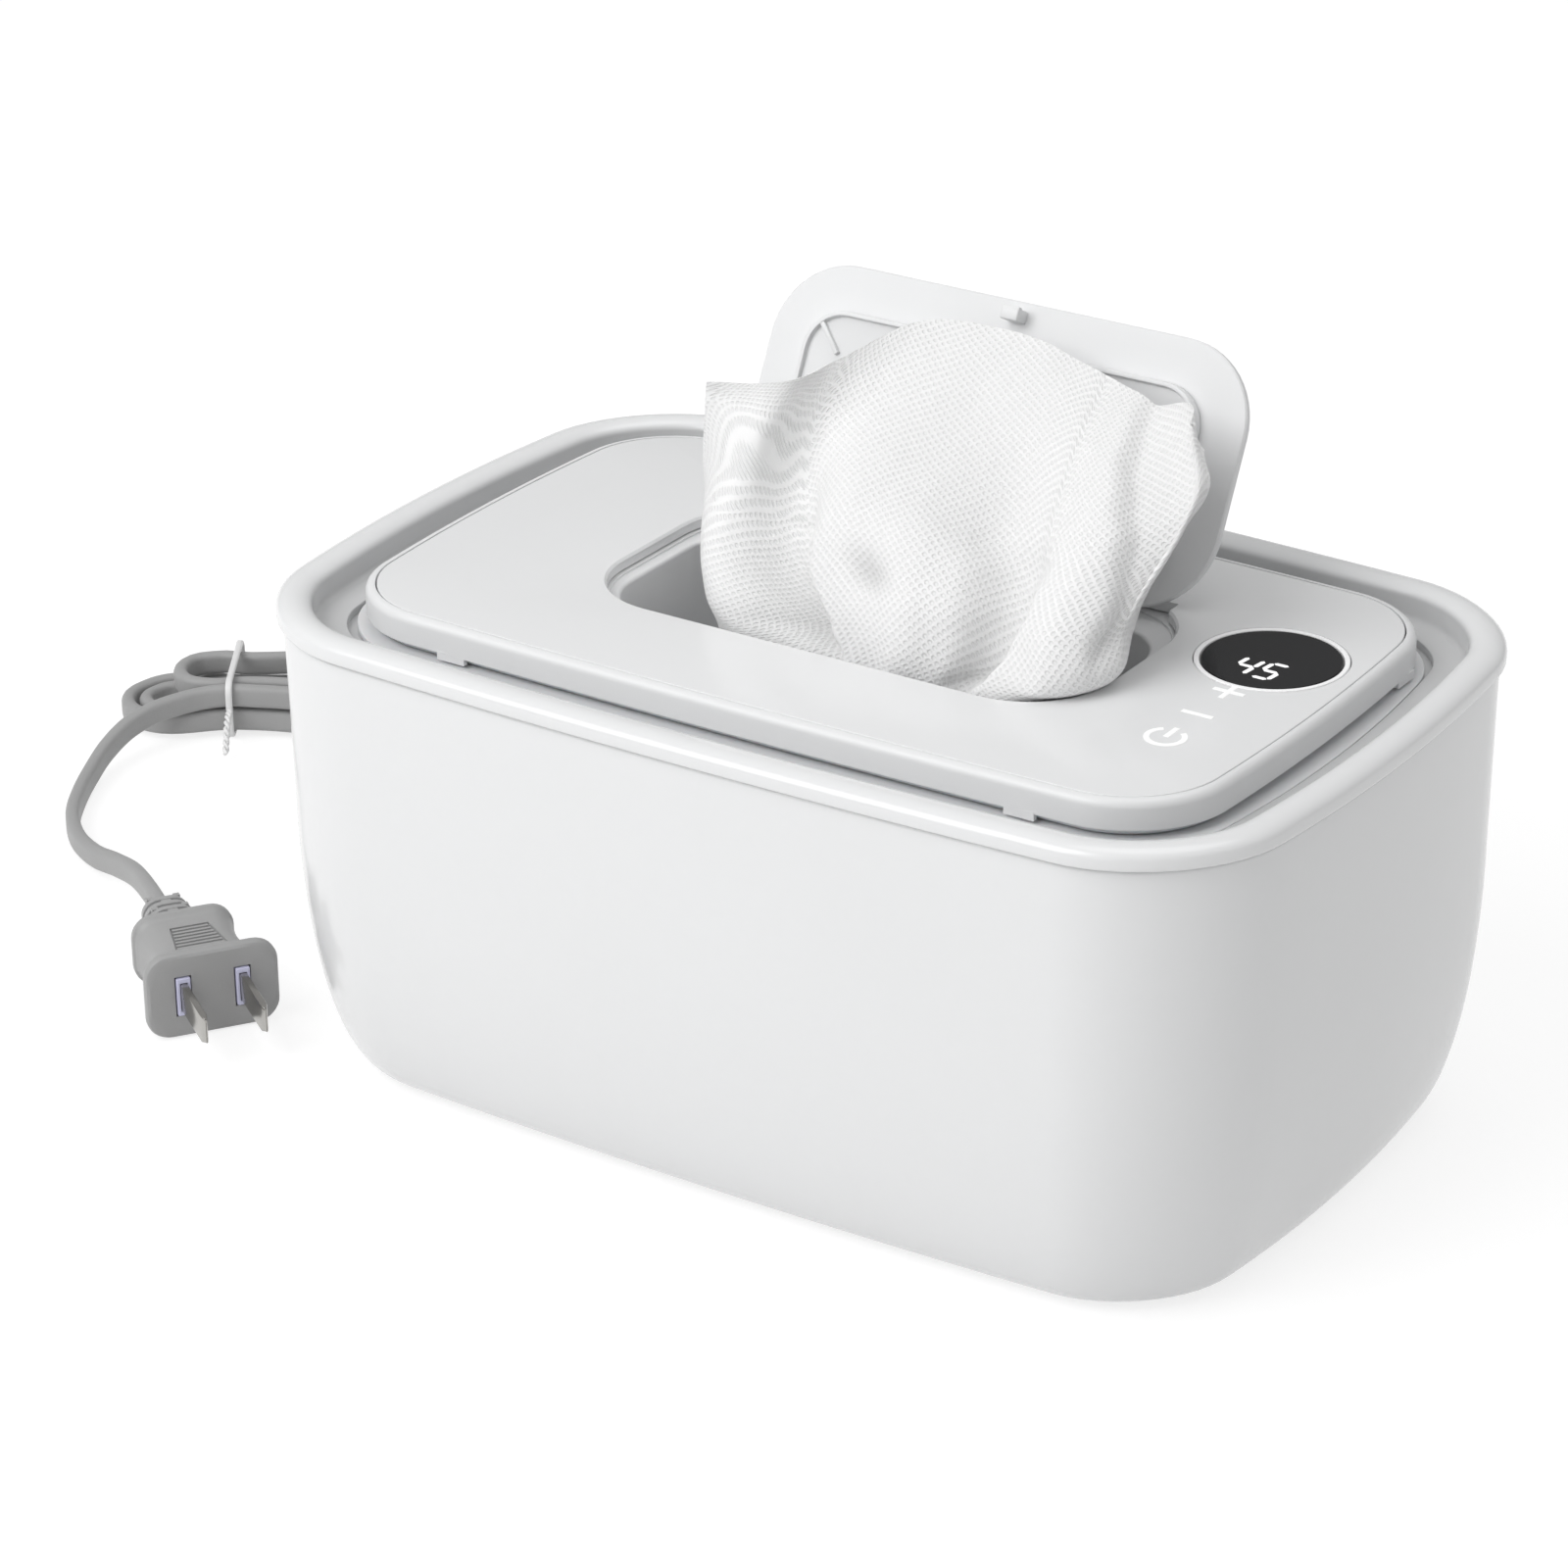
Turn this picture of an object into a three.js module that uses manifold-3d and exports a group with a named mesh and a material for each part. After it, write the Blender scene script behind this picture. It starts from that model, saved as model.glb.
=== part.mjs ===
// A baby wipe warmer: a rounded tub with a hinged lid, a flip lid over the dispensing opening, a wipe
// pulled half out, a heater under the inner tank, and a flat cord tied in a hank. Millimetres, +Z up.
// The origin is on the floor under the middle of the tub, +X runs along its length, -Y is its front.
import * as THREE from "three";
import { mergeVertices } from "three/addons/utils/BufferGeometryUtils.js";
import Module from "manifold-3d";

const wasm = await Module();
wasm.setup();

// General sizes
const gap = 0.3; // between pieces that touch
const overrun = 3; // how far a cutter runs past what it cuts
const smallestRadius = 3; // of any plan corner that an inset has used up
const weldShare = 1e-5; // vertices closer than this share of the body's length are one
const cornerSteps = 6;
const sideSteps = 3;
const roundSteps = 3;
const rodSides = 12;
const discSides = 28;
const smallOutline = { arcs: 3, parts: 1 }; // steps in the outline of a small piece

// Driving sizes of the tub
const body = {
  length: 230,
  width: 148.6,
  height: 101.5, // from the shell's floor to the top of the rim
  cornerRadius: 29,
  endBowShare: 0.057, // how much the ends bow outward in plan
  sideBowShare: 0.047,
  wall: 2.5,
  draft: 0.5,
  curveHeight: 58.3, // the lower wall turns in below this height
  curveInset: 11.95,
  curveSteps: 7,
  cornerShrinkShare: 0.6, // of the inset, taken off the plan corner
  floorLip: 8,
  rebateWidth: 3,
  rebateDepth: 1.2,
};
const foot = { radius: 7, height: 1.5, pocket: 1, chamfer: 0.6, endInset: 42.2, sideInset: 29.72 };
const bezel = {
  bandHeight: 4.2,
  step: 1, // how far the shell's wall stands back from the band
  rimWidth: 7.3,
  rimRise: 2.2,
  moatDepth: 6.2,
  seatInset: 14, // outer edge of the seat for the tank's flange
  seatDrop: 1.7,
  openingInset: 18.5,
  thickness: 2,
  skirtDepth: 5,
  skirtWall: 1.5,
};
const tank = {
  flange: 1.2,
  wallInset: 19.3,
  wall: 1.5,
  draft: 1.5,
  floorHeight: 28.5, // underside of the floor above the shell's floor
  bottomRound: 8,
  cornerRadius: 15,
  postRadius: 4,
  postInset: 2.4, // from the edge of the floor's flat
};
const postInset = tank.wallInset + tank.draft + tank.bottomRound + tank.postInset;
const basePlate = { thickness: 3, standoffRadius: 3, standoffHeight: 4.2 };
const baseScrew = { headRadius: 3, head: 1.3, shankRadius: 1.4, length: 13 };
const screwDomeShare = 0.8; // of the head's radius, for its flat outer face
const smallScrew = { headRadius: 2, head: 1.1, shankRadius: 0.9, length: 4 };

// Heater stack under the tank
const heaterRoom = { posts: 5.8, wall: 12 }; // to the tank's posts and its side walls
const heater = {
  length: body.length - 2 * (postInset + tank.postRadius + heaterRoom.posts),
  width: body.width - 2 * (tank.wallInset + heaterRoom.wall),
  cornerRadius: 8,
  plate: 1,
  film: 0.6,
  pad: 4,
};
const fuse = { radius: 1.5, length: 12, xShare: 0.28, yShare: 0 };
const sensor = { radius: 1.5, length: 8, xShare: -0.3, yShare: 0.18 };
const board = { length: 66, width: 46, thickness: 1.5, holeInset: 4, xShare: -0.12, yShare: 0.12 };
const transformer = { length: 20, width: 17, height: 9.5, xShare: 0.2, yShare: 0.05 };
const relay = { length: 15, width: 10, height: 9, xShare: -0.25, yShare: -0.22 };
const capacitor = { radius: 5, height: 9.8, xShare: 0.02, yShare: -0.25 };

// Lid
const lidInset = { end: 3, side: 3.3 }; // from the outer edge of the seat for the tank's flange
const lid = {
  length: body.length - 2 * (bezel.seatInset + lidInset.end),
  width: body.width - 2 * (bezel.seatInset + lidInset.side),
  cornerRadius: 20,
  endBowShare: 0.03,
  sideBowShare: 0.03,
  proud: 1.5, // above the rim
  skirtHeight: 6.1,
  edgeRound: 1.8,
  frameWidth: 2,
  plate: 2.3,
  shelfWidth: 3,
  floorStep: 1.9, // from the plate's shelf down to the floor over the flange
  plugInset: 7.5,
  plugWall: 2,
  plugDepth: 13.5, // from the lid's top to its underside
  floor: 1.5,
};
const gasket = { outerInset: 1.4, width: 2.2, grooveDepth: 1 };
const restTab = { length: 6.5, depth: 1.2, width: 1.1, xShare: 0.66, yShare: 0.62 };
const knuckleRadius = 2.2;
const lidHinge = {
  y: lid.width / 2 + knuckleRadius,
  belowTop: 3.5,
  radius: knuckleRadius,
  x: 25,
  knuckle: 8,
  ear: 3,
  web: 2.9,
  pinRadius: 1.1,
};

// Dispensing opening and flip lid
const recessInset = { end: 41.8, front: 29.5, back: 27.2 }; // from the lid's edge
const recess = {
  length: lid.length - 2 * recessInset.end,
  front: recessInset.front - lid.width / 2,
  back: lid.width / 2 - recessInset.back,
  cornerRadius: 17.8,
  chamfer: 0.4,
  hingeInset: 7.2, // of the hinge's room in the plate from the recess's ends
  hingeRoom: 0.5, // behind the recess
};
const insert = {
  flangeWidth: 3,
  flange: 2,
  lipWidth: 0.8,
  lipDrop: 0.5,
  ledgeWidth: 3.3,
  backLedge: 8.3,
  cornerRadius: 13,
  wall: 1.8,
  belowFloor: 11, // how far the well runs below the lid's underside
};
const flipLid = {
  sideGap: 0.8,
  frontGap: 0.5,
  thickness: 2.3,
  edgeRound: 0.9,
  hingeInset: 2.8, // of its axis from the recess's back
  hingeBelowTop: 1.4,
  openDegrees: 117,
  barrelRadius: 1.9,
  barrel: 6.4,
  barrelInset: 25.7, // from the recess's ends
  lug: 3,
  pinRadius: 0.8,
};
const liner = { inset: 9.5, height: 2.4, slope: 4.5, cornerRadius: 9, backInset: 8 };
const hook = { width: 4, thickness: 2.6, depth: 3.9, fromEdge: 1.8, barb: 0.3 };
const catchTab = { width: 12.6, reach: 2.7, thickness: 1.2, bridge: 0.8, belowLedge: 0.4 };

// Controls in the lid: insets from its end, front and back, and shares of the board's length from its front
const controlBoard = {
  endInset: 24.4,
  frontInset: 23,
  backInset: 29,
  width: 24,
  thickness: 1.4,
  aboveFloor: 3.5,
  holeInset: 3,
};
const display = { endInset: 20.75, alongShare: 0.8177, radius: 14, ring: 1, ringRise: 0.1, window: 1.5 };
const digits = { length: 18, width: 11, alongShare: 0.7661 };
const touchPad = { endInset: 20.4, radiusShare: 0.0645 };
const padShares = { plus: 0.5339, minus: 0.3387, power: 0.1452 };

// Wipes
const stackInset = { end: 11.7, side: 11 }; // from the tank's walls
const stack = {
  length: body.length - 2 * (tank.wallInset + stackInset.end),
  width: body.width - 2 * (tank.wallInset + stackInset.side),
  belowLid: 21.2,
  cornerRadius: 6,
  edgeRound: 3,
};
const wipe = {
  thickness: 0.7,
  columns: 27,
  rows: 15,
  lengthShare: 0.945, // of the well's length, for the shares of x below
  depthShare: 2.188, // of the well's depth, for the shares of y
  height: 100, // for the shares of height
  hingeShare: 0.27, // of the height, for the flip lid's hinge, from where y is taken as the wipe leans back
  leanStartShare: 0.365,
  leanEndShare: 0.69,
};
// The wipe from the stack up: in each row its height, and from its left edge to its right edge the places
// x, y (and what they rise above the row): edge, lobe, valley, lobe, lobe, valley, lobe, turn, edge
const wipeShares = [
  { height: 0, places: [
    [-0.26, -0.03], [-0.18, -0.08], [-0.08, 0], [0.01, -0.06], [0.12, -0.06],
    [0.21, 0.02], [0.31, -0.06], [0.4, -0.04], [0.45, 0.04],
  ] },
  { height: 0.18, places: [
    [-0.36, 0.01], [-0.22, -0.13], [-0.05, -0.04], [0.06, -0.14], [0.18, -0.14],
    [0.26, -0.05], [0.36, -0.13], [0.44, -0.07], [0.46, 0.04],
  ] },
  { height: 0.305, places: [
    [-0.405, 0.01], [-0.23, -0.195], [0, -0.095], [0.11, -0.21], [0.24, -0.21],
    [0.305, -0.1], [0.42, -0.185], [0.49, -0.07], [0.465, 0.05],
  ] },
  { height: 0.365, places: [
    [-0.415, 0], [-0.26, -0.215], [-0.02, -0.11], [0.1, -0.225], [0.27, -0.225],
    [0.35, -0.11], [0.5, -0.225], [0.575, -0.115], [0.52, 0.04],
  ] },
  { height: 0.46, places: [
    [-0.415, -0.005], [-0.31, -0.19], [-0.14, -0.09], [0.06, -0.19], [0.26, -0.195],
    [0.37, -0.1], [0.5, -0.19], [0.62, -0.08], [0.57, 0.05],
  ] },
  { height: 0.575, places: [
    [-0.415, -0.01], [-0.33, -0.13], [-0.2, -0.03], [-0.01, -0.09], [0.23, -0.09],
    [0.37, -0.04], [0.51, -0.1], [0.65, 0], [0.61, 0.07],
  ] },
  { height: 0.69, places: [
    [-0.41, -0.015], [-0.33, -0.05], [-0.23, 0.06], [-0.08, 0.13], [0.15, 0.15],
    [0.33, 0.12], [0.48, 0.06], [0.655, 0.07], [0.655, 0.12],
  ] },
  { height: 0.76, places: [
    [-0.405, -0.02, -0.03], [-0.29, 0.03, 0], [-0.25, 0.17, 0], [-0.12, 0.35, 0.04], [0.08, 0.39, 0.035],
    [0.28, 0.34, 0.015], [0.43, 0.27, 0.02], [0.565, 0.18, 0.055], [0.62, 0.15, -0.01],
  ] },
];

// Cord: a flat lead that stands on its edge
const cord = { width: 5.4, thickness: 3.2, clearance: 0.15, corner: 1.1 };
const cordExit = {
  xShare: -0.52,
  height: 16.5,
  reliefLength: 26,
  tipRadius: 3.6,
  rootRadius: 4.8,
  flangeRadius: 6.6,
};
const hank = {
  reversal: 1.675, // the turn at which the spiral changes from inward to outward
  endTurn: 3.32,
  stepsPerTurn: 24,
  sides: 6,
  nearRadius: 9, // of the tightest fold at the hidden end
  farRadius: 6.8, // of the tightest fold at the end in view
  pitch: 4.84,
  reach: 104,
  waistAt: 77,
  waistHalf: 3.25,
  waistFlat: 6.3,
  waistSlope: 44,
  layer: 6.3,
  climbAt: 1.685, // the turn at the middle of the climb
  climbTurns: 0.2,
  upperShort: 10.5,
  upperFan: 0.85,
  tieLift: 1.3,
  runShare: 0.38, // of a turn, for each straight run
  smoothTurns: 0.03, // each point is the mean of its neighbours to this distance
  smoothSteps: 4,
  hiddenEnd: [-157.5, 106.4],
  heading: [-0.843, -0.537],
};
const tie = { wire: 1.1, width: 1.6, clearance: 0.5, tail: 11 };
const tailRoute = [
  [-59.8, 94.4, 18], [-60, 103.4, 17.4], [-62.6, 112.6, 14.6], [-69, 119.2, 10.4], [-79, 123, 6.2],
  [-91, 122.6, 3.6], [-104, 117.4, 2.9], [-119.5, 108.6, 2.85], [-135, 98.9, 2.85], [-148, 91.4, 2.85],
  [-160.42, 84.25, 2.85],
];
const tailSteps = 32;
const leadRoute = [
  [-211.12, 58.87, 10.44], [-216.6, 56.1, 10.45], [-221.4, 52.3, 10], [-224.6, 47.6, 9.6], [-227.4, 41, 9],
  [-228.9, 33.6, 7.6], [-228.4, 25.2, 5.4], [-225.8, 16.8, 3.7], [-221.4, 7.4, 2.9], [-215, -2.4, 2.85],
  [-206.6, -10.4, 2.95], [-196.8, -16, 3.8], [-186.6, -20.6, 6.2], [-176.6, -26, 8.6], [-167.4, -32.2, 9.7],
  [-158.9, -38.1, 9.7],
];
const leadSteps = 36;
const plug = {
  faceWidth: 28.5,
  faceHeight: 19,
  face: 3,
  faceCorner: 5,
  gripWidth: 21,
  gripHeight: 14,
  grip: 19,
  rearWidth: 22,
  rearHeight: 16,
  rear: 2.5,
  reliefLength: 15,
  reliefRoot: 11,
  reliefTip: 8.4,
  reliefRibs: 4,
  ribDepth: 0.9,
  slotShare: 0.3, // of a rib's pitch
  centreHeight: 9.7,
  heading: [0.82, -0.572],
};
const blade = { width: 6.3, thickness: 1.5, length: 17, spacing: 12.7, root: 1.5 };
const collar = { width: 3, height: 8.5, proud: 0.6 };

// Materials
function material(color, roughness, metalness = 0) {
  return new THREE.MeshStandardMaterial({ color, roughness, metalness });
}
const whiteGloss = material(0xe9e9ea, 0.28);
const whitePlastic = material(0xe6e6e7, 0.42);
const greyPlastic = material(0xb9bbbd, 0.5);
const innerPlastic = material(0xdadbdc, 0.55);
const blackWindow = material(0x141416, 0.12);
const greenBoard = material(0x2b5a3c, 0.6);
const darkPart = material(0x26272b, 0.55);
const copperFilm = material(0xb0713c, 0.45, 0.6);
const aluminium = material(0xc5c8cc, 0.35, 0.9);
const steel = material(0xbfc1c4, 0.3, 0.9);
const nickel = material(0xc9c6bf, 0.22, 1);
const rubber = material(0x4c4e52, 0.85);
const silicone = material(0xd5d7d9, 0.7);
const foam = material(0xcfccc4, 0.95);
const cordGrey = material(0xa3a3a1, 0.5);
const paleCollar = material(0xcfcfe6, 0.45);
const softWhite = material(0xf4f4f4, 0.95);

// Heights
const shellFloor = foot.height;
const rimTop = shellFloor + body.height;
const bandBottom = rimTop - bezel.bandHeight;
const moatFloor = rimTop - bezel.moatDepth;
const seat = moatFloor - bezel.seatDrop;
const flangeBottom = seat + gap;
const flangeTop = flangeBottom + tank.flange;
const tankUnderside = shellFloor + tank.floorHeight;
const tankFloor = tankUnderside + tank.wall;
const plateTop = shellFloor + basePlate.thickness;
const lidTop = rimTop + lid.proud;
const skirtBottom = lidTop - lid.skirtHeight;
const plateUnderside = lidTop - lid.plate;
const shelf = plateUnderside - gap;
const lidUnderside = lidTop - lid.plugDepth;
const stackTop = lidUnderside - stack.belowLid;
const lidFloor = lidUnderside + lid.floor;
const ledge = shelf - insert.lipDrop;

// A closed mesh as a solid, with its faces turned out
function solid(geometry) {
  const open = geometry.index ? geometry.toNonIndexed() : geometry;
  const bare = new THREE.BufferGeometry().setAttribute("position", open.getAttribute("position"));
  const merged = mergeVertices(bare, weldShare * body.length);
  const corners = new Uint32Array(merged.index.array);
  const vertProperties = merged.attributes.position.array;
  const made = new wasm.Manifold(new wasm.Mesh({ numProp: 3, vertProperties, triVerts: corners }));
  if (made.volume() > 0) return made;
  for (let i = 0; i < corners.length; i += 3) corners.subarray(i, i + 2).reverse();
  return new wasm.Manifold(new wasm.Mesh({ numProp: 3, vertProperties, triVerts: corners }));
}

function geometryOf(made) {
  const { vertProperties, triVerts } = made.getMesh();
  const geometry = new THREE.BufferGeometry();
  geometry.setAttribute("position", new THREE.BufferAttribute(vertProperties, 3));
  geometry.setIndex(new THREE.BufferAttribute(triVerts, 1));
  return geometry;
}

// Adds one named piece to a group
function addPiece(group, name, made, finish) {
  const mesh = new THREE.Mesh(geometryOf(made), finish);
  mesh.name = name;
  group.add(mesh);
}

// A plan outline: a rounded rectangle whose ends and sides bow out, anticlockwise from its +X side
function outline(halfX, halfY, radius, form = {}) {
  const { endBow = 0, sideBow = 0, x = 0, y = 0, arcs = cornerSteps, parts = sideSteps } = form;
  const r = Math.min(radius, halfX, halfY);
  const corners = [[1, 1], [-1, 1], [-1, -1], [1, -1]];
  const points = [];
  const arcPoint = (corner, share) => {
    const [signX, signY] = corners[corner % 4];
    const angle = ((corner + share) * Math.PI) / 2;
    return new THREE.Vector2(
      signX * (halfX - r) + r * Math.cos(angle),
      signY * (halfY - r) + r * Math.sin(angle),
    );
  };
  for (let corner = 0; corner < 4; corner++) {
    for (let step = 0; step <= arcs; step++) points.push(arcPoint(corner, step / arcs));
    for (let step = 1; step < parts; step++)
      points.push(arcPoint(corner, 1).lerp(arcPoint(corner + 1, 0), step / parts));
  }
  return points.map((p) => new THREE.Vector2(
    x + p.x * (1 - endBow * (p.y / halfY) ** 2),
    y + p.y * (1 - sideBow * (p.x / halfX) ** 2),
  ));
}

const atHeight = (points, z) => points.map((p) => new THREE.Vector3(p.x, p.y, z));

// A body skinned over rings of equal length: closed round on itself, or capped at its first and last ring
function skin(rings, closed = false) {
  const count = rings[0].length;
  const positions = rings.flat().flatMap((p) => [p.x, p.y, p.z]);
  const faces = [];
  const spans = closed ? rings.length : rings.length - 1;
  for (let i = 0; i < spans; i++)
    for (let j = 0; j < count; j++) {
      const low = i * count;
      const high = ((i + 1) % rings.length) * count;
      const next = (j + 1) % count;
      faces.push(low + j, low + next, high + next, low + j, high + next, high + j);
    }
  if (!closed) {
    const flat = capPlane(rings[0]);
    const last = (rings.length - 1) * count;
    for (const [a, b, c] of THREE.ShapeUtils.triangulateShape(flat, [])) {
      faces.push(c, b, a);
      faces.push(last + a, last + b, last + c);
    }
  }
  const geometry = new THREE.BufferGeometry();
  geometry.setAttribute("position", new THREE.Float32BufferAttribute(positions, 3));
  geometry.setIndex(faces);
  return solid(geometry);
}

// A ring's points in its own plane, anticlockwise
function capPlane(ring) {
  const across = ring[Math.floor(ring.length / 3)].clone().sub(ring[0]).normalize();
  const other = ring[Math.floor((2 * ring.length) / 3)].clone().sub(ring[0]);
  const normal = across.clone().cross(other).normalize();
  const along = normal.clone().cross(across);
  return ring.map((p) => {
    const offset = p.clone().sub(ring[0]);
    return new THREE.Vector2(offset.dot(across), offset.dot(along));
  });
}

function block(x0, x1, y0, y1, z0, z1) {
  const box = new THREE.BoxGeometry(x1 - x0, y1 - y0, z1 - z0);
  return solid(box.translate((x0 + x1) / 2, (y0 + y1) / 2, (z0 + z1) / 2));
}

// A block of a length, width and height that stands on a height, centred on a place
function standing({ length, width }, x, y, z, height) {
  return block(x - length / 2, x + length / 2, y - width / 2, y + width / 2, z, z + height);
}

function rod(radius, length, sides = rodSides) {
  return new THREE.CylinderGeometry(radius, radius, length, sides);
}
const uprightRod = (radius, x, y, z0, z1, sides) =>
  solid(rod(radius, z1 - z0, sides).rotateX(Math.PI / 2).translate(x, y, (z0 + z1) / 2));
const crossRod = (radius, x0, x1, y, z) =>
  solid(rod(radius, x1 - x0).rotateZ(Math.PI / 2).translate((x0 + x1) / 2, y, z));
const endRod = (radius, x, y0, y1, z) => solid(rod(radius, y1 - y0).translate(x, (y0 + y1) / 2, z));

// A turned piece about +Z through a place, from radius and height pairs that start and end on the axis
function turned(profile, x, y, z, sides = rodSides) {
  const points = profile.map(([radius, height]) => new THREE.Vector2(radius, height));
  return solid(new THREE.LatheGeometry(points, sides).rotateX(Math.PI / 2).translate(x, y, z));
}

// A screw with its head down (turn 1) or up (turn -1), the head's outer face at a height
function screw({ headRadius, head, shankRadius, length }, x, y, z, turn) {
  const profile = [
    [0, 0], [headRadius * screwDomeShare, 0], [headRadius, head / 2], [headRadius, head],
    [shankRadius, head], [shankRadius, length - shankRadius], [0, length],
  ];
  return turned(profile.map(([radius, height]) => [radius, turn * height]), x, y, z);
}

// The tub's outline at an inset from the band
function bodyOutline(inset, radiusLoss = inset) {
  return outline(
    body.length / 2 - inset,
    body.width / 2 - inset,
    Math.max(body.cornerRadius - radiusLoss, smallestRadius),
    { endBow: body.endBowShare, sideBow: body.sideBowShare },
  );
}
const bodyRing = (inset, z, radiusLoss) => atHeight(bodyOutline(inset, radiusLoss), z);

// The shell's wall from its floor up: the elliptical turn-in, for the outside or for the wall's inside
function wallRings(offset) {
  const rings = [];
  for (let step = 0; step <= body.curveSteps; step++) {
    const angle = (Math.PI / 2) * (1 - step / body.curveSteps);
    const turnIn = body.curveInset * (1 - Math.cos(angle));
    const inset = bezel.step + body.draft + turnIn + offset;
    const height = offset + (body.curveHeight - offset) * (1 - Math.sin(angle));
    rings.push(bodyRing(inset, shellFloor + height, body.cornerShrinkShare * turnIn + offset));
  }
  return rings;
}
const floorInset = bezel.step + body.draft + body.curveInset;
const openingRing = (inset, z) => bodyRing(floorInset + inset, z, body.curveInset + inset);

function outerShell() {
  const top = bandBottom - gap;
  const rings = [
    openingRing(body.floorLip, shellFloor + body.rebateDepth),
    openingRing(body.floorLip - body.rebateWidth, shellFloor + body.rebateDepth),
    openingRing(body.floorLip - body.rebateWidth, shellFloor),
    ...wallRings(0),
    bodyRing(bezel.step, top - gap, 0),
    bodyRing(bezel.step + gap, top, gap),
    bodyRing(bezel.step + body.wall, top, body.wall),
    ...wallRings(body.wall).reverse(),
    openingRing(body.floorLip, shellFloor + body.wall),
  ];
  const hole = endRod(cordExit.rootRadius + 2 * gap, exitX, 0, body.width / 2 + overrun, exitZ);
  return skin(rings, true).subtract(hole);
}

// Where the cord leaves the back wall
const exitX = (cordExit.xShare * body.length) / 2;
const exitZ = shellFloor + cordExit.height;
const exitWallY = wallY(cordExit.height, 0);

// The back wall's place beside the cord at a height above its floor: its outside, or its inside for an offset
function wallY(height, offset) {
  const rise = 1 - (height - offset) / (body.curveHeight - offset);
  const turnIn = body.curveInset * (1 - Math.sqrt(1 - rise ** 2));
  const inset = bezel.step + body.draft + turnIn + offset;
  return (body.width / 2 - inset) * (1 - body.sideBowShare * cordExit.xShare ** 2);
}

function cordRelief() {
  const innerFace = wallY(cordExit.height - cordExit.flangeRadius, body.wall) - 3 * gap - bezel.thickness;
  const flangeFace = wallY(cordExit.height + cordExit.flangeRadius, 0) + 2 * gap;
  const tip = exitWallY + cordExit.reliefLength;
  const rib = (tip - flangeFace - bezel.thickness) / (2 * plug.reliefRibs);
  const profile = [[0, innerFace], [cordExit.flangeRadius, innerFace]];
  profile.push([cordExit.flangeRadius, innerFace + bezel.thickness]);
  profile.push([cordExit.rootRadius, innerFace + bezel.thickness]);
  profile.push([cordExit.rootRadius, flangeFace], [cordExit.flangeRadius, flangeFace]);
  profile.push([cordExit.flangeRadius, flangeFace + bezel.thickness]);
  for (let ring = 0; ring < plug.reliefRibs; ring++) {
    const share = ring / plug.reliefRibs;
    const radius = cordExit.rootRadius + (cordExit.tipRadius - cordExit.rootRadius) * share;
    const start = flangeFace + bezel.thickness + 2 * ring * rib;
    profile.push([radius - plug.ribDepth / 2, start], [radius - plug.ribDepth / 2, start + rib / 2]);
    const end = start + 2 * rib - (ring + 1 < plug.reliefRibs ? 0 : gap);
    profile.push([radius, start + rib / 2], [radius, end]);
  }
  profile.push([0, tip - gap]);
  const points = profile.map(([radius, along]) => new THREE.Vector2(radius, along));
  return solid(new THREE.LatheGeometry(points, rodSides).translate(exitX, 0, exitZ));
}

function basePlateSolid() {
  const outer = body.floorLip - body.rebateWidth + gap;
  const rings = [
    openingRing(outer, shellFloor),
    openingRing(outer, shellFloor + body.rebateDepth - gap),
    openingRing(body.floorLip + gap, shellFloor + body.rebateDepth - gap),
    openingRing(body.floorLip + gap, plateTop),
  ];
  let made = skin(rings);
  for (const [x, y] of footPlaces)
    made = made.subtract(uprightRod(foot.radius + gap, x, y, -overrun, shellFloor + foot.pocket));
  for (const [x, y] of postPlaces) {
    const counterbore = shellFloor + gap / 2 + baseScrew.head + gap;
    made = made.subtract(uprightRod(baseScrew.headRadius + gap, x, y, -overrun, counterbore));
    made = made.subtract(uprightRod(baseScrew.shankRadius + gap, x, y, 0, plateTop + overrun));
  }
  for (const [x, y] of boardHoles) {
    const top = plateTop + basePlate.standoffHeight;
    made = made.add(uprightRod(basePlate.standoffRadius, x, y, shellFloor + body.rebateDepth, top));
    made = made.subtract(uprightRod(smallScrew.shankRadius + gap, x, y, plateTop, top + overrun));
  }
  return made;
}
const fourCorners = (halfX, halfY) =>
  [[1, 1], [-1, 1], [-1, -1], [1, -1]].map(([a, b]) => [a * halfX, b * halfY]);
const footPlaces = fourCorners(body.length / 2 - foot.endInset, body.width / 2 - foot.sideInset);
const postPlaces = fourCorners(body.length / 2 - postInset, body.width / 2 - postInset);

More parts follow.
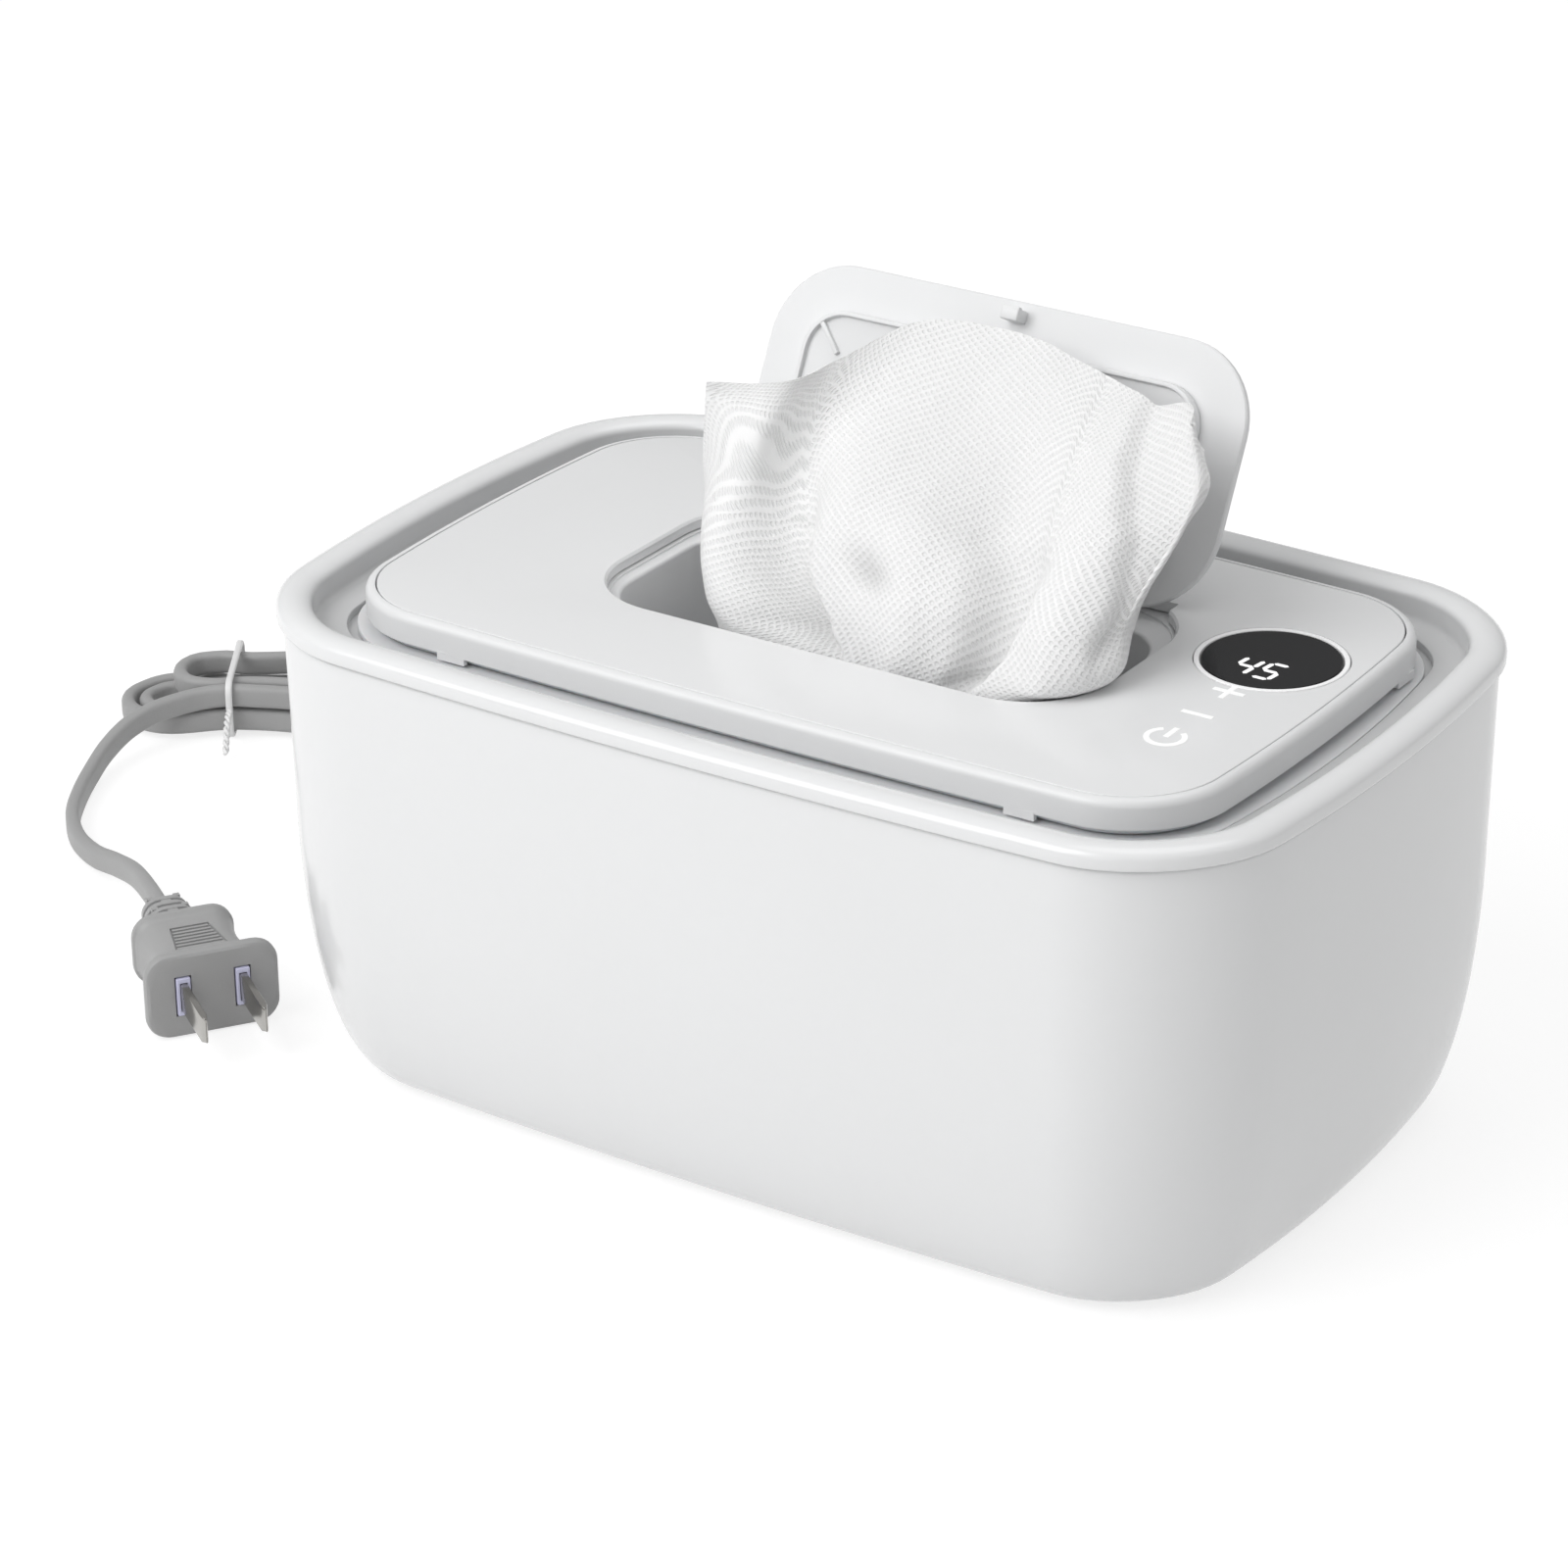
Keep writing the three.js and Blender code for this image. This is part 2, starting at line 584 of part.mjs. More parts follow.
function tankSolid() {
  const sharper = body.cornerRadius - tank.cornerRadius - tank.wallInset;
  const tankRing = (inset, z) => bodyRing(inset, z, sharper + inset);
  const shift = (z) => (tank.draft * (flangeBottom - z)) / (flangeBottom - tankUnderside);
  const outside = [];
  const inside = [];
  for (let step = 0; step <= roundSteps; step++) {
    const angle = (Math.PI / 2) * (step / roundSteps);
    const turnIn = 1 - Math.sin(angle);
    const outerZ = tankUnderside + tank.bottomRound * (1 - Math.cos(angle));
    const innerRound = tank.bottomRound - tank.wall;
    const innerZ = tankFloor + innerRound * (1 - Math.cos(angle));
    outside.push(tankRing(tank.wallInset + shift(outerZ) + tank.bottomRound * turnIn, outerZ));
    inside.push(tankRing(tank.wallInset + shift(innerZ) + tank.wall + innerRound * turnIn, innerZ));
  }
  const rings = [
    ...outside,
    tankRing(tank.wallInset, flangeBottom),
    tankRing(bezel.seatInset + gap, flangeBottom),
    tankRing(bezel.seatInset + gap, flangeTop),
    tankRing(tank.wallInset + tank.wall, flangeTop),
    ...inside.reverse(),
  ];
  let made = skin(rings);
  for (const [x, y] of postPlaces) {
    made = made.add(uprightRod(tank.postRadius, x, y, plateTop + gap, tankUnderside + tank.wall / 2));
    const bore = shellFloor + baseScrew.length + 2 * gap;
    made = made.subtract(uprightRod(baseScrew.shankRadius + gap, x, y, 0, bore));
  }
  return made;
}

function bezelSolid() {
  const rim = [];
  const halfRim = bezel.rimWidth / 2;
  for (let step = 0; step <= 2 * roundSteps; step++) {
    const angle = Math.PI * (1 - step / (2 * roundSteps));
    rim.push(bodyRing(halfRim * (1 + Math.cos(angle)), rimTop - bezel.rimRise * (1 - Math.sin(angle))));
  }
  const skirtOut = bezel.step + body.wall + 2 * gap;
  const skirtIn = skirtOut + bezel.skirtWall;
  const seatInset = bezel.seatInset - bezel.thickness;
  const rings = [
    bodyRing(0, bandBottom),
    ...rim,
    bodyRing(bezel.rimWidth + gap, moatFloor),
    bodyRing(bezel.seatInset, moatFloor),
    bodyRing(bezel.seatInset, seat),
    bodyRing(bezel.openingInset, seat),
    bodyRing(bezel.openingInset, seat - bezel.thickness),
    bodyRing(seatInset, seat - bezel.thickness),
    bodyRing(seatInset, moatFloor - bezel.thickness),
    bodyRing(skirtIn, moatFloor - bezel.thickness),
    bodyRing(skirtIn, bandBottom - bezel.skirtDepth, skirtIn - bezel.step),
    bodyRing(skirtOut, bandBottom - bezel.skirtDepth, skirtOut - bezel.step),
    bodyRing(skirtOut, bandBottom, skirtOut - bezel.step),
  ];
  let made = skin(rings, true);
  for (const [x0, x1] of earSpans) {
    const y = lidHinge.y;
    const web = block(x0, x1, seatEdgeY, seatEdgeY + lidHinge.web, moatFloor - gap, lidHingeZ);
    made = made.add(web).add(crossRod(lidHinge.radius, x0, x1, y, lidHingeZ));
    made = made.subtract(crossRod(lidHinge.pinRadius + gap, x0 - gap, x1 + gap, y, lidHingeZ));
  }
  const [cableX, cableY] = hingeCableRoute[hingeCableRoute.length - 1];
  const below = seat - bezel.thickness - overrun;
  return made.subtract(uprightRod(cable.radius + gap, cableX, cableY, below, moatFloor + gap));
}

// The lid's hinge: a knuckle on the lid between two ears on the bezel, at each side
const lidHingeZ = lidTop - lidHinge.belowTop;
const seatEdgeY = body.width / 2 - bezel.seatInset + gap;
const sides = { left: -1, right: 1 };
const knuckleSpans = Object.values(sides).map((side) => {
  const middle = side * lidHinge.x;
  return [middle - lidHinge.knuckle / 2, middle + lidHinge.knuckle / 2];
});
const earSpans = knuckleSpans.flatMap(([x0, x1]) => [
  [x0 - gap - lidHinge.ear, x0 - gap],
  [x1 + gap, x1 + gap + lidHinge.ear],
]);

// The lid's outline at an inset from its skirt
function lidOutline(inset) {
  return outline(
    lid.length / 2 - inset,
    lid.width / 2 - inset,
    Math.max(lid.cornerRadius - inset, smallestRadius),
    { endBow: lid.endBowShare, sideBow: lid.sideBowShare },
  );
}
const lidRing = (inset, z) => atHeight(lidOutline(inset), z);

// The recess in the lid's top, and the open core of the well under it
const recessMiddle = (recess.front + recess.back) / 2;
const recessHalfX = recess.length / 2;
const recessHalfY = (recess.back - recess.front) / 2;
const recessRing = (inset, z) => atHeight(
  outline(recessHalfX - inset, recessHalfY - inset, recess.cornerRadius - inset, { y: recessMiddle }), z,
);
const coreFront = recess.front + insert.ledgeWidth;
const coreBack = recess.back - insert.backLedge;
const coreRing = (inset, z) => atHeight(
  outline(
    recessHalfX - insert.ledgeWidth - inset,
    (coreBack - coreFront) / 2 - inset,
    insert.cornerRadius - inset,
    { y: (coreFront + coreBack) / 2 },
  ), z,
);

function lidFrame() {
  const round = [];
  for (let step = 0; step <= roundSteps; step++) {
    const angle = (Math.PI / 2) * (step / roundSteps);
    const drop = lid.edgeRound * (1 - Math.sin(angle));
    round.push(lidRing(lid.edgeRound * (1 - Math.cos(angle)), lidTop - drop));
  }
  const shelfInset = lid.frameWidth + lid.shelfWidth;
  const step = shelf - lid.floorStep;
  const wallInset = lid.plugInset + lid.plugWall;
  const grooveIn = gasket.outerInset + gasket.width + gap;
  const grooveOut = gasket.outerInset - gap;
  const holeInset = -insert.wall - gap;
  const rings = [
    lidRing(0, skirtBottom),
    ...round,
    lidRing(lid.frameWidth, lidTop),
    lidRing(lid.frameWidth, shelf),
    lidRing(shelfInset, shelf),
    lidRing(shelfInset, step),
    lidRing(wallInset, step),
    lidRing(wallInset, lidFloor),
    coreRing(holeInset, lidFloor),
    coreRing(holeInset, lidUnderside),
    lidRing(lid.plugInset, lidUnderside),
    lidRing(lid.plugInset, skirtBottom),
    lidRing(grooveIn, skirtBottom),
    lidRing(grooveIn, skirtBottom + gasket.grooveDepth),
    lidRing(grooveOut, skirtBottom + gasket.grooveDepth),
    lidRing(grooveOut, skirtBottom),
  ];
  let made = skin(rings, true);
  for (const [x, y] of tabPlaces()) {
    const across = Math.abs(y) > Math.abs(x) / 2;
    const halfX = (across ? restTab.length : restTab.width) / 2;
    const halfY = (across ? restTab.width : restTab.length) / 2;
    const top = skirtBottom + gasket.grooveDepth / 2;
    made = made.add(block(x - halfX, x + halfX, y - halfY, y + halfY, skirtBottom - restTab.depth, top));
  }
  const clear = lidHinge.radius + gap;
  for (const [x0, x1] of earSpans)
    made = made.subtract(crossRod(clear, x0 - 2 * gap, x1 + 2 * gap, lidHinge.y, lidHingeZ));
  for (const [x0, x1] of knuckleSpans) {
    const web = block(
      x0, x1, lid.width / 2 - restTab.width, lidHinge.y,
      lidHingeZ - lidHinge.radius, lidHingeZ + lidHinge.radius,
    );
    made = made.add(web).add(crossRod(lidHinge.radius, x0, x1, lidHinge.y, lidHingeZ));
    made = made.subtract(crossRod(lidHinge.pinRadius + gap, x0 - gap, x1 + gap, lidHinge.y, lidHingeZ));
  }
  for (const [x, y] of controlHoles) {
    made = made.add(uprightRod(smallScrew.headRadius, x, y, lidUnderside + gap, controlBoardZ - gap));
    made = made.subtract(uprightRod(smallScrew.shankRadius + gap, x, y, lidFloor, controlBoardZ));
  }
  const bore = endRod(cable.radius + gap, lidHinge.x, 0, lidHinge.y - lidHinge.pinRadius, lidHingeZ);
  return made.subtract(bore);
}

// Six low tabs under the skirt that the lid rests on
function tabPlaces() {
  const alongX = (restTab.xShare * lid.length) / 2;
  const alongY = (restTab.yShare * lid.width) / 2;
  const bowY = 1 - lid.sideBowShare * restTab.xShare ** 2;
  const bowX = 1 - lid.endBowShare * restTab.yShare ** 2;
  const edgeY = (lid.width / 2) * bowY - restTab.width / 2;
  const edgeX = (lid.length / 2) * bowX - restTab.width / 2;
  return [...fourCorners(alongX, edgeY), [edgeX, alongY], [-edgeX, alongY]];
}

function topPlate() {
  const inset = lid.frameWidth + gap;
  const rings = [
    lidRing(inset, plateUnderside),
    lidRing(inset, lidTop),
    recessRing(-recess.chamfer, lidTop),
    recessRing(0, lidTop - recess.chamfer),
    recessRing(0, plateUnderside),
  ];
  const radius = display.radius + display.ring + gap;
  const below = plateUnderside - overrun;
  const hole = uprightRod(radius, displayX, displayY, below, lidTop + overrun, discSides);
  const half = recessHalfX - recess.hingeInset;
  const roomBack = recess.back + recess.hingeRoom;
  const hingeRoom = block(-half, half, recessMiddle, roomBack, plateUnderside - gap, lidTop + gap);
  return skin(rings, true).subtract(hole).subtract(hingeRoom);
}

function dispensingInsert() {
  const bottom = lidUnderside - insert.belowFloor;
  const rings = [
    recessRing(-insert.flangeWidth, shelf - insert.flange),
    recessRing(-insert.flangeWidth, shelf),
    recessRing(insert.lipWidth, shelf),
    recessRing(insert.lipWidth, ledge),
    coreRing(0, ledge),
    coreRing(0, bottom),
    coreRing(-insert.wall, bottom),
    coreRing(-insert.wall, shelf - insert.flange),
  ];
  let made = skin(rings, true);
  const channel = flipLid.barrelRadius + gap;
  made = made.subtract(crossRod(channel, -lugReach - gap, lugReach + gap, flipHingeY, flipHingeZ));
  for (const [x0, x1] of lugSpans) {
    const y = flipHingeY;
    const r = flipLid.barrelRadius;
    const web = block(x0, x1, y - r, y + r, shelf - insert.flange, flipHingeZ);
    made = made.add(web).add(crossRod(r, x0, x1, y, flipHingeZ));
    made = made.subtract(crossRod(flipLid.pinRadius + gap, x0 - gap, x1 + gap, y, flipHingeZ));
  }
  const tabTop = ledge - catchTab.belowLedge;
  const tabFront = coreFront - gap;
  const half = catchTab.width / 2;
  const tabBack = coreFront + catchTab.reach;
  made = made.add(block(-half, half, tabFront, tabBack, tabTop - catchTab.thickness, tabTop));
  const slot = hook.width / 2 + 2 * gap;
  const slotFront = hookFront - hook.barb - 2 * gap;
  const slotBack = tabBack - catchTab.bridge;
  const slotBottom = ledge - hook.depth - 2 * gap;
  return made.subtract(block(-slot, slot, slotFront, slotBack, slotBottom, shelf + overrun));
}

// The flip lid's hinge: a barrel on the flip lid between two lugs on the insert, at each side
const flipHingeZ = lidTop - flipLid.hingeBelowTop;
const flipHingeY = recess.back - flipLid.hingeInset;
const barrelX = recessHalfX - flipLid.barrelInset;
const barrelSpans = Object.values(sides).map((side) => {
  const middle = side * barrelX;
  return [middle - flipLid.barrel / 2, middle + flipLid.barrel / 2];
});
const lugSpans = barrelSpans.flatMap(([x0, x1]) => [
  [x0 - gap - flipLid.lug, x0 - gap],
  [x1 + gap, x1 + gap + flipLid.lug],
]);
const lugReach = barrelX + flipLid.barrel / 2 + gap + flipLid.lug;
const flipFront = recess.front + flipLid.frontGap;
const hookFront = flipFront + hook.fromEdge;

// The flip lid and its liner are drawn closed, about their hinge axis
const flipMiddle = (flipFront + flipHingeY) / 2 - flipHingeY;
const flipHalfX = recessHalfX - flipLid.sideGap;
const flipHalfY = (flipHingeY - flipFront) / 2;
const flipTop = flipLid.hingeBelowTop;
const flipUnderside = flipTop - flipLid.thickness;

function flipLidSolid() {
  const corner = recess.cornerRadius - flipLid.sideGap;
  const flipRing = (inset, z) =>
    atHeight(outline(flipHalfX - inset, flipHalfY - inset, corner - inset, { y: flipMiddle }), z);
  const rings = [flipRing(gap, flipUnderside), flipRing(0, flipUnderside + gap)];
  for (let step = 0; step <= roundSteps; step++) {
    const angle = (Math.PI / 2) * (step / roundSteps);
    const drop = flipLid.edgeRound * (1 - Math.sin(angle));
    rings.push(flipRing(flipLid.edgeRound * (1 - Math.cos(angle)), flipTop - drop));
  }
  let made = skin(rings);
  const clear = flipLid.barrelRadius + gap;
  for (const [x0, x1] of lugSpans)
    made = made.subtract(crossRod(clear, x0 - 2 * gap, x1 + 2 * gap, 0, 0));
  for (const [x0, x1] of barrelSpans) {
    made = made.add(crossRod(flipLid.barrelRadius, x0, x1, 0, 0));
    made = made.subtract(crossRod(flipLid.pinRadius + gap, x0 - gap, x1 + gap, 0, 0));
  }
  const front = hookFront - flipHingeY;
  const bottom = flipUnderside - hook.depth;
  const half = hook.width / 2;
  made = made.add(block(-half, half, front, front + hook.thickness, bottom, flipUnderside + gap));
  return made.add(block(-half, half, front - hook.barb, front + gap, bottom, bottom + hook.thickness / 2));
}

function flipLiner() {
  const halfX = flipHalfX - liner.inset;
  const front = flipMiddle - flipHalfY + liner.inset;
  const back = flipMiddle + flipHalfY - liner.backInset;
  const linerRing = (inset, z) => atHeight(
    outline(halfX - inset, (back - front) / 2 - inset, Math.max(liner.cornerRadius - inset, smallestRadius), {
      y: (front + back) / 2,
    }), z,
  );
  const top = flipUnderside - gap;
  return skin([
    linerRing(liner.slope, top - liner.height),
    linerRing(0, top - liner.height / 3),
    linerRing(0, top),
  ]);
}

// Places of the boards' screws
const boardX = board.xShare * body.length;
const boardY = board.yShare * body.width;
const boardZ = plateTop + basePlate.standoffHeight + gap;
const holeX = board.length / 2 - board.holeInset;
const holeY = board.width / 2 - board.holeInset;
const boardHoles = [[boardX - holeX, boardY - holeY], [boardX + holeX, boardY + holeY]];
const controlBoardZ = lidFloor + controlBoard.aboveFloor;
const controlMiddle = lid.length / 2 - controlBoard.endInset;
const controlFront = controlBoard.frontInset - lid.width / 2;
const controlLength = lid.width / 2 - controlBoard.backInset - controlFront;
const controlAt = (share) => controlFront + share * controlLength;
const controlHoleX = controlMiddle - controlBoard.width / 2 + controlBoard.holeInset;
const controlBackHoleY = controlAt(1) - controlBoard.holeInset;
const displayX = lid.length / 2 - display.endInset;
const displayY = controlAt(display.alongShare);
const controlHoles = [
  [controlHoleX, controlFront + controlBoard.holeInset],
  [controlHoleX, controlBackHoleY],
];

function drilledBoard({ length, width, thickness }, x, y, z, holes) {
  let made = standing({ length, width }, x, y, z, thickness);
  for (const [holePlaceX, holePlaceY] of holes)
    made = made.subtract(
      uprightRod(smallScrew.shankRadius + gap, holePlaceX, holePlaceY, z - gap, z + thickness + gap),
    );
  return made;
}

// Heater stack, glued up under the tank
const heaterPlateZ = tankUnderside - gap - heater.plate;
const heaterFilmZ = heaterPlateZ - gap - heater.film;
const heaterPadZ = heaterFilmZ - gap - heater.pad;
function heaterSheet(z, thickness, inset) {
  const halfX = heater.length / 2 - inset;
  const sheet = outline(halfX, heater.width / 2 - inset, heater.cornerRadius, smallOutline);
  return skin([atHeight(sheet, z), atHeight(sheet, z + thickness)]);
}
const sensorPlace = ({ xShare, yShare }) => [xShare * heater.length, yShare * heater.width];
function heaterPad() {
  let made = heaterSheet(heaterPadZ, heater.pad, heater.plate);
  for (const part of [fuse, sensor]) {
    const [x, y] = sensorPlace(part);
    const halfX = part.length / 2 + heater.plate;
    const halfY = part.radius + heater.plate;
    made = made.subtract(
      block(x - halfX, x + halfX, y - halfY, y + halfY, heaterPadZ - overrun, heaterPadZ + heater.pad + gap),
    );
  }
  return made;
}
function sensorRod(part) {
  const [x, y] = sensorPlace(part);
  return crossRod(part.radius, x - part.length / 2, x + part.length / 2, y, heaterFilmZ - gap - part.radius);
}

// Cables that the product holds all the way
const cable = { radius: 0.9, sides: 3, steps: 14, mainsBendShare: 0.2337 };
const cableTop = boardZ + board.thickness + cable.radius + gap;
const cableBackY = lidHinge.y + lidHinge.radius + cable.radius + gap;
const hingeCableRoute = [
  [boardX + holeX, boardY - holeY / 2, cableTop],
  [boardX + board.length / 2 + board.holeInset, boardY - holeY / 2, cableTop + cable.radius],
  [lidHinge.x / 2, cableBackY - 2 * body.floorLip, cableTop + board.holeInset],
  [lidHinge.x, cableBackY - cable.radius, tankUnderside],
  [lidHinge.x, cableBackY, tankUnderside + body.curveInset],
  [lidHinge.x, cableBackY, (tankUnderside + moatFloor) / 2],
  [lidHinge.x, cableBackY, moatFloor - overrun],
  [lidHinge.x, cableBackY, lidHingeZ - cable.radius],
];
const lidWellY = lid.width / 2 - lid.plugInset - lid.plugWall;
const onControlCable = controlBoardZ + controlBoard.thickness + cable.radius + gap;
const lidCableRoute = [
  [controlHoleX, controlBackHoleY - 2 * controlBoard.holeInset, onControlCable],
  [controlMiddle - controlBoard.width / 2 - cable.radius, controlBackHoleY, onControlCable],
  [lidHinge.x + lidHinge.knuckle, lidWellY - lidHinge.knuckle, (onControlCable + lidHingeZ) / 2],
  [lidHinge.x, lidWellY - 2 * cable.radius, lidHingeZ],
  [lidHinge.x, lidWellY + 2 * cable.radius, lidHingeZ],
  [lidHinge.x, lidHinge.y - lidHinge.pinRadius - cable.radius, lidHingeZ],
];
const mainsStart = wallY(cordExit.height - cordExit.flangeRadius, body.wall) - bezel.thickness - 5 * gap;
const mainsEnd = boardY + board.width / 2 - board.holeInset;
const mainsRoute = [
  [exitX, mainsStart, exitZ],
  [exitX, mainsStart + cable.mainsBendShare * (mainsEnd - mainsStart), exitZ - cable.radius],
  [exitX, mainsEnd, cableTop + cable.radius],
];
const curveThrough = (points) =>
  new THREE.CatmullRomCurve3(points.map((p) => new THREE.Vector3(...p)), false, "centripetal");
function roundCable(route, radius = cable.radius) {
  const shape = new THREE.Shape().absarc(0, 0, radius, 0, 2 * Math.PI, false);
  const extrudePath = curveThrough(route);
  return solid(new THREE.ExtrudeGeometry(shape, {
    steps: cable.steps, curveSegments: cable.sides, bevelEnabled: false, extrudePath,
  }));
}

// The flat cord's free stretches, on edge: the section's first axis is upright
function flatCord(route, steps) {
  const halfTall = cord.width / 2;
  const halfThick = cord.thickness / 2;
  const shape = new THREE.Shape([
    [-halfTall, -halfThick + cord.corner], [-halfTall + cord.corner, -halfThick],
    [halfTall - cord.corner, -halfThick], [halfTall, -halfThick + cord.corner],
    [halfTall, halfThick - cord.corner], [halfTall - cord.corner, halfThick],
    [-halfTall + cord.corner, halfThick], [-halfTall, halfThick - cord.corner],
  ].map(([x, y]) => new THREE.Vector2(x, y)));
  const extrudePath = curveThrough(route);
  return solid(new THREE.ExtrudeGeometry(shape, { steps, bevelEnabled: false, extrudePath }));
}

// The hank: runs and folds that spiral in on the floor, climb along a run and spiral out again on top,
// drawn together at the waist by the tie. A point at a turn count, in millimetres.
const smooth = (share) => {
  const t = Math.min(Math.max(share, 0), 1);
  return t * t * (3 - 2 * t);
};
const ease = (share) => (1 - Math.cos(Math.PI * Math.min(Math.max(share, 0), 1))) / 2;
const foldTurns = 0.5 - hank.runShare;
const outerSpiral = hank.pitch * (hank.reversal - hank.runShare - foldTurns / 2);
function hankSample(turn) {
  const phase = turn % 1;
  const spiral = hank.pitch * Math.abs(hank.reversal - turn);
  const climb = smooth((turn - hank.climbAt) / hank.climbTurns + 1 / 2);
  const nearFold = hank.nearRadius + outerSpiral;
  const farFold = hank.reach - hank.farRadius - outerSpiral - hank.upperShort * climb;
  const half = phase % 0.5;
  const back = phase >= 0.5;
  const [from, to] = back ? [farFold, nearFold] : [nearFold, farFold];
  const side = back ? 1 : -1;
  let along = from + ((to - from) * half) / hank.runShare;
  let across = side;
  let endRadius = along > hank.waistAt ? hank.farRadius : hank.nearRadius;
  const off = Math.abs(along - hank.waistAt) - hank.waistFlat / 2;
  const slope = along > hank.waistAt ? farFold - hank.waistAt - hank.waistFlat / 2 : hank.waistSlope;
  let opened = ease(off / slope);
  if (half < hank.runShare) {
    across *= spiral + hank.waistHalf + (endRadius - hank.waistHalf) * opened;
  } else {
    const angle = (Math.PI * (half - hank.runShare)) / foldTurns;
    endRadius = back ? hank.nearRadius : hank.farRadius;
    opened = 1;
    along = to - side * (endRadius + spiral) * Math.sin(angle);
    across *= (endRadius + spiral) * Math.cos(angle);
  }
  if (endRadius === hank.farRadius) across += hank.upperFan * climb * opened;
  const lift = hank.tieLift * (1 - ease(off / hank.waistSlope));
  const [headX, headY] = hank.heading;
  return new THREE.Vector3(
    hank.hiddenEnd[0] + headX * along + headY * across,
    hank.hiddenEnd[1] + headY * along - headX * across,
    cord.width / 2 + cord.clearance + hank.layer * climb + lift,
  );
}

// The route's corners are rounded by averaging, which fades out towards its two ends
function hankPoint(turn) {
  const reach = Math.min(hank.smoothTurns, turn, hank.endTurn - turn);
  const sum = new THREE.Vector3();
  for (let step = -hank.smoothSteps; step <= hank.smoothSteps; step++) {
    sum.add(hankSample(turn + (reach * step) / hank.smoothSteps));
  }
  return sum.divideScalar(2 * hank.smoothSteps + 1);
}

function hankSolid() {
  const count = Math.round(hank.endTurn * hank.stepsPerTurn);
  const path = Array.from({ length: count + 1 }, (_, i) => hankPoint((hank.endTurn * i) / count));
  const up = new THREE.Vector3(0, 0, 1);
  const rings = path.map((point, i) => {
    const before = path[Math.max(i - 1, 0)];
    const after = path[Math.min(i + 1, count)];
    const forward = after.clone().sub(before).normalize();
    const side = up.clone().cross(forward).normalize();
    const upright = forward.clone().cross(side);
    return Array.from({ length: hank.sides }, (_, corner) => {
      const angle = (2 * Math.PI * (corner + 1 / 2)) / hank.sides;
      const round = 1 / Math.cos(Math.PI / hank.sides);
      const sideways = Math.cos(angle) * round * (cord.thickness / 2);
      const tall = Math.sin(angle) * (cord.width / 2);
      return point.clone().addScaledVector(side, sideways).addScaledVector(upright, tall);
    });
  });
  const length = path.slice(1).reduce((sum, point, i) => sum + point.distanceTo(path[i]), 0);
  console.log(`hank: ${length.toFixed(0)} mm of cord, least gap to itself ${hankGap(path).toFixed(2)} mm`);
  return skin(rings);
}

// The least gap between stretches of the hank that are not neighbours along it
function hankGap(path) {
  const apart = Math.round(hank.stepsPerTurn / 2);
  let least = Infinity;
  path.forEach((p, i) => path.slice(i + apart).forEach((q) => {
    const level = Math.hypot(p.x - q.x, p.y - q.y) - cord.thickness;
    const upright = Math.abs(p.z - q.z) - cord.width;
    least = Math.min(least, Math.max(level, upright));
  }));
  return least;
}

// The wire tie round the waist, with its two ends twisted into a tail
function twistTie() {
  const widest = Math.max(hank.reversal, hank.endTurn - hank.reversal);
  const wing = hank.waistHalf + hank.pitch * widest + cord.thickness / 2 + tie.clearance;
  const low = tie.wire / 2 + cord.clearance / 2;
  const high = cord.clearance + hank.tieLift + cord.width + hank.layer + tie.clearance + tie.wire / 2;
  const [headX, headY] = hank.heading;
  const loop = (inset) => outline(wing - inset, (high - low) / 2 - inset, 2 * tie.wire - inset, smallOutline);
  const ringAt = (along, inset) => loop(inset).map((p) =>
    new THREE.Vector3(
      hank.hiddenEnd[0] + headX * along + headY * p.x,
      hank.hiddenEnd[1] + headY * along - headX * p.x,
      (high + low) / 2 + p.y,
    ));
  const near = hank.waistAt - tie.width / 2;
  const far = hank.waistAt + tie.width / 2;
  const half = tie.wire / 2;
  const made = skin([ringAt(near, -half), ringAt(near, half), ringAt(far, half), ringAt(far, -half)], true);
  const tailPoint = (out, z) => [
    hank.hiddenEnd[0] + headX * hank.waistAt - headY * (wing + out),
    hank.hiddenEnd[1] + headY * hank.waistAt + headX * (wing + out),
    z,
  ];
  const middle = (high + low) / 2;
  const bend = tailPoint(tie.tail / 3, middle);
  const tail = roundCable([tailPoint(0, middle), bend, tailPoint(tie.tail, low + tie.wire)], half);
  return made.add(tail);
}

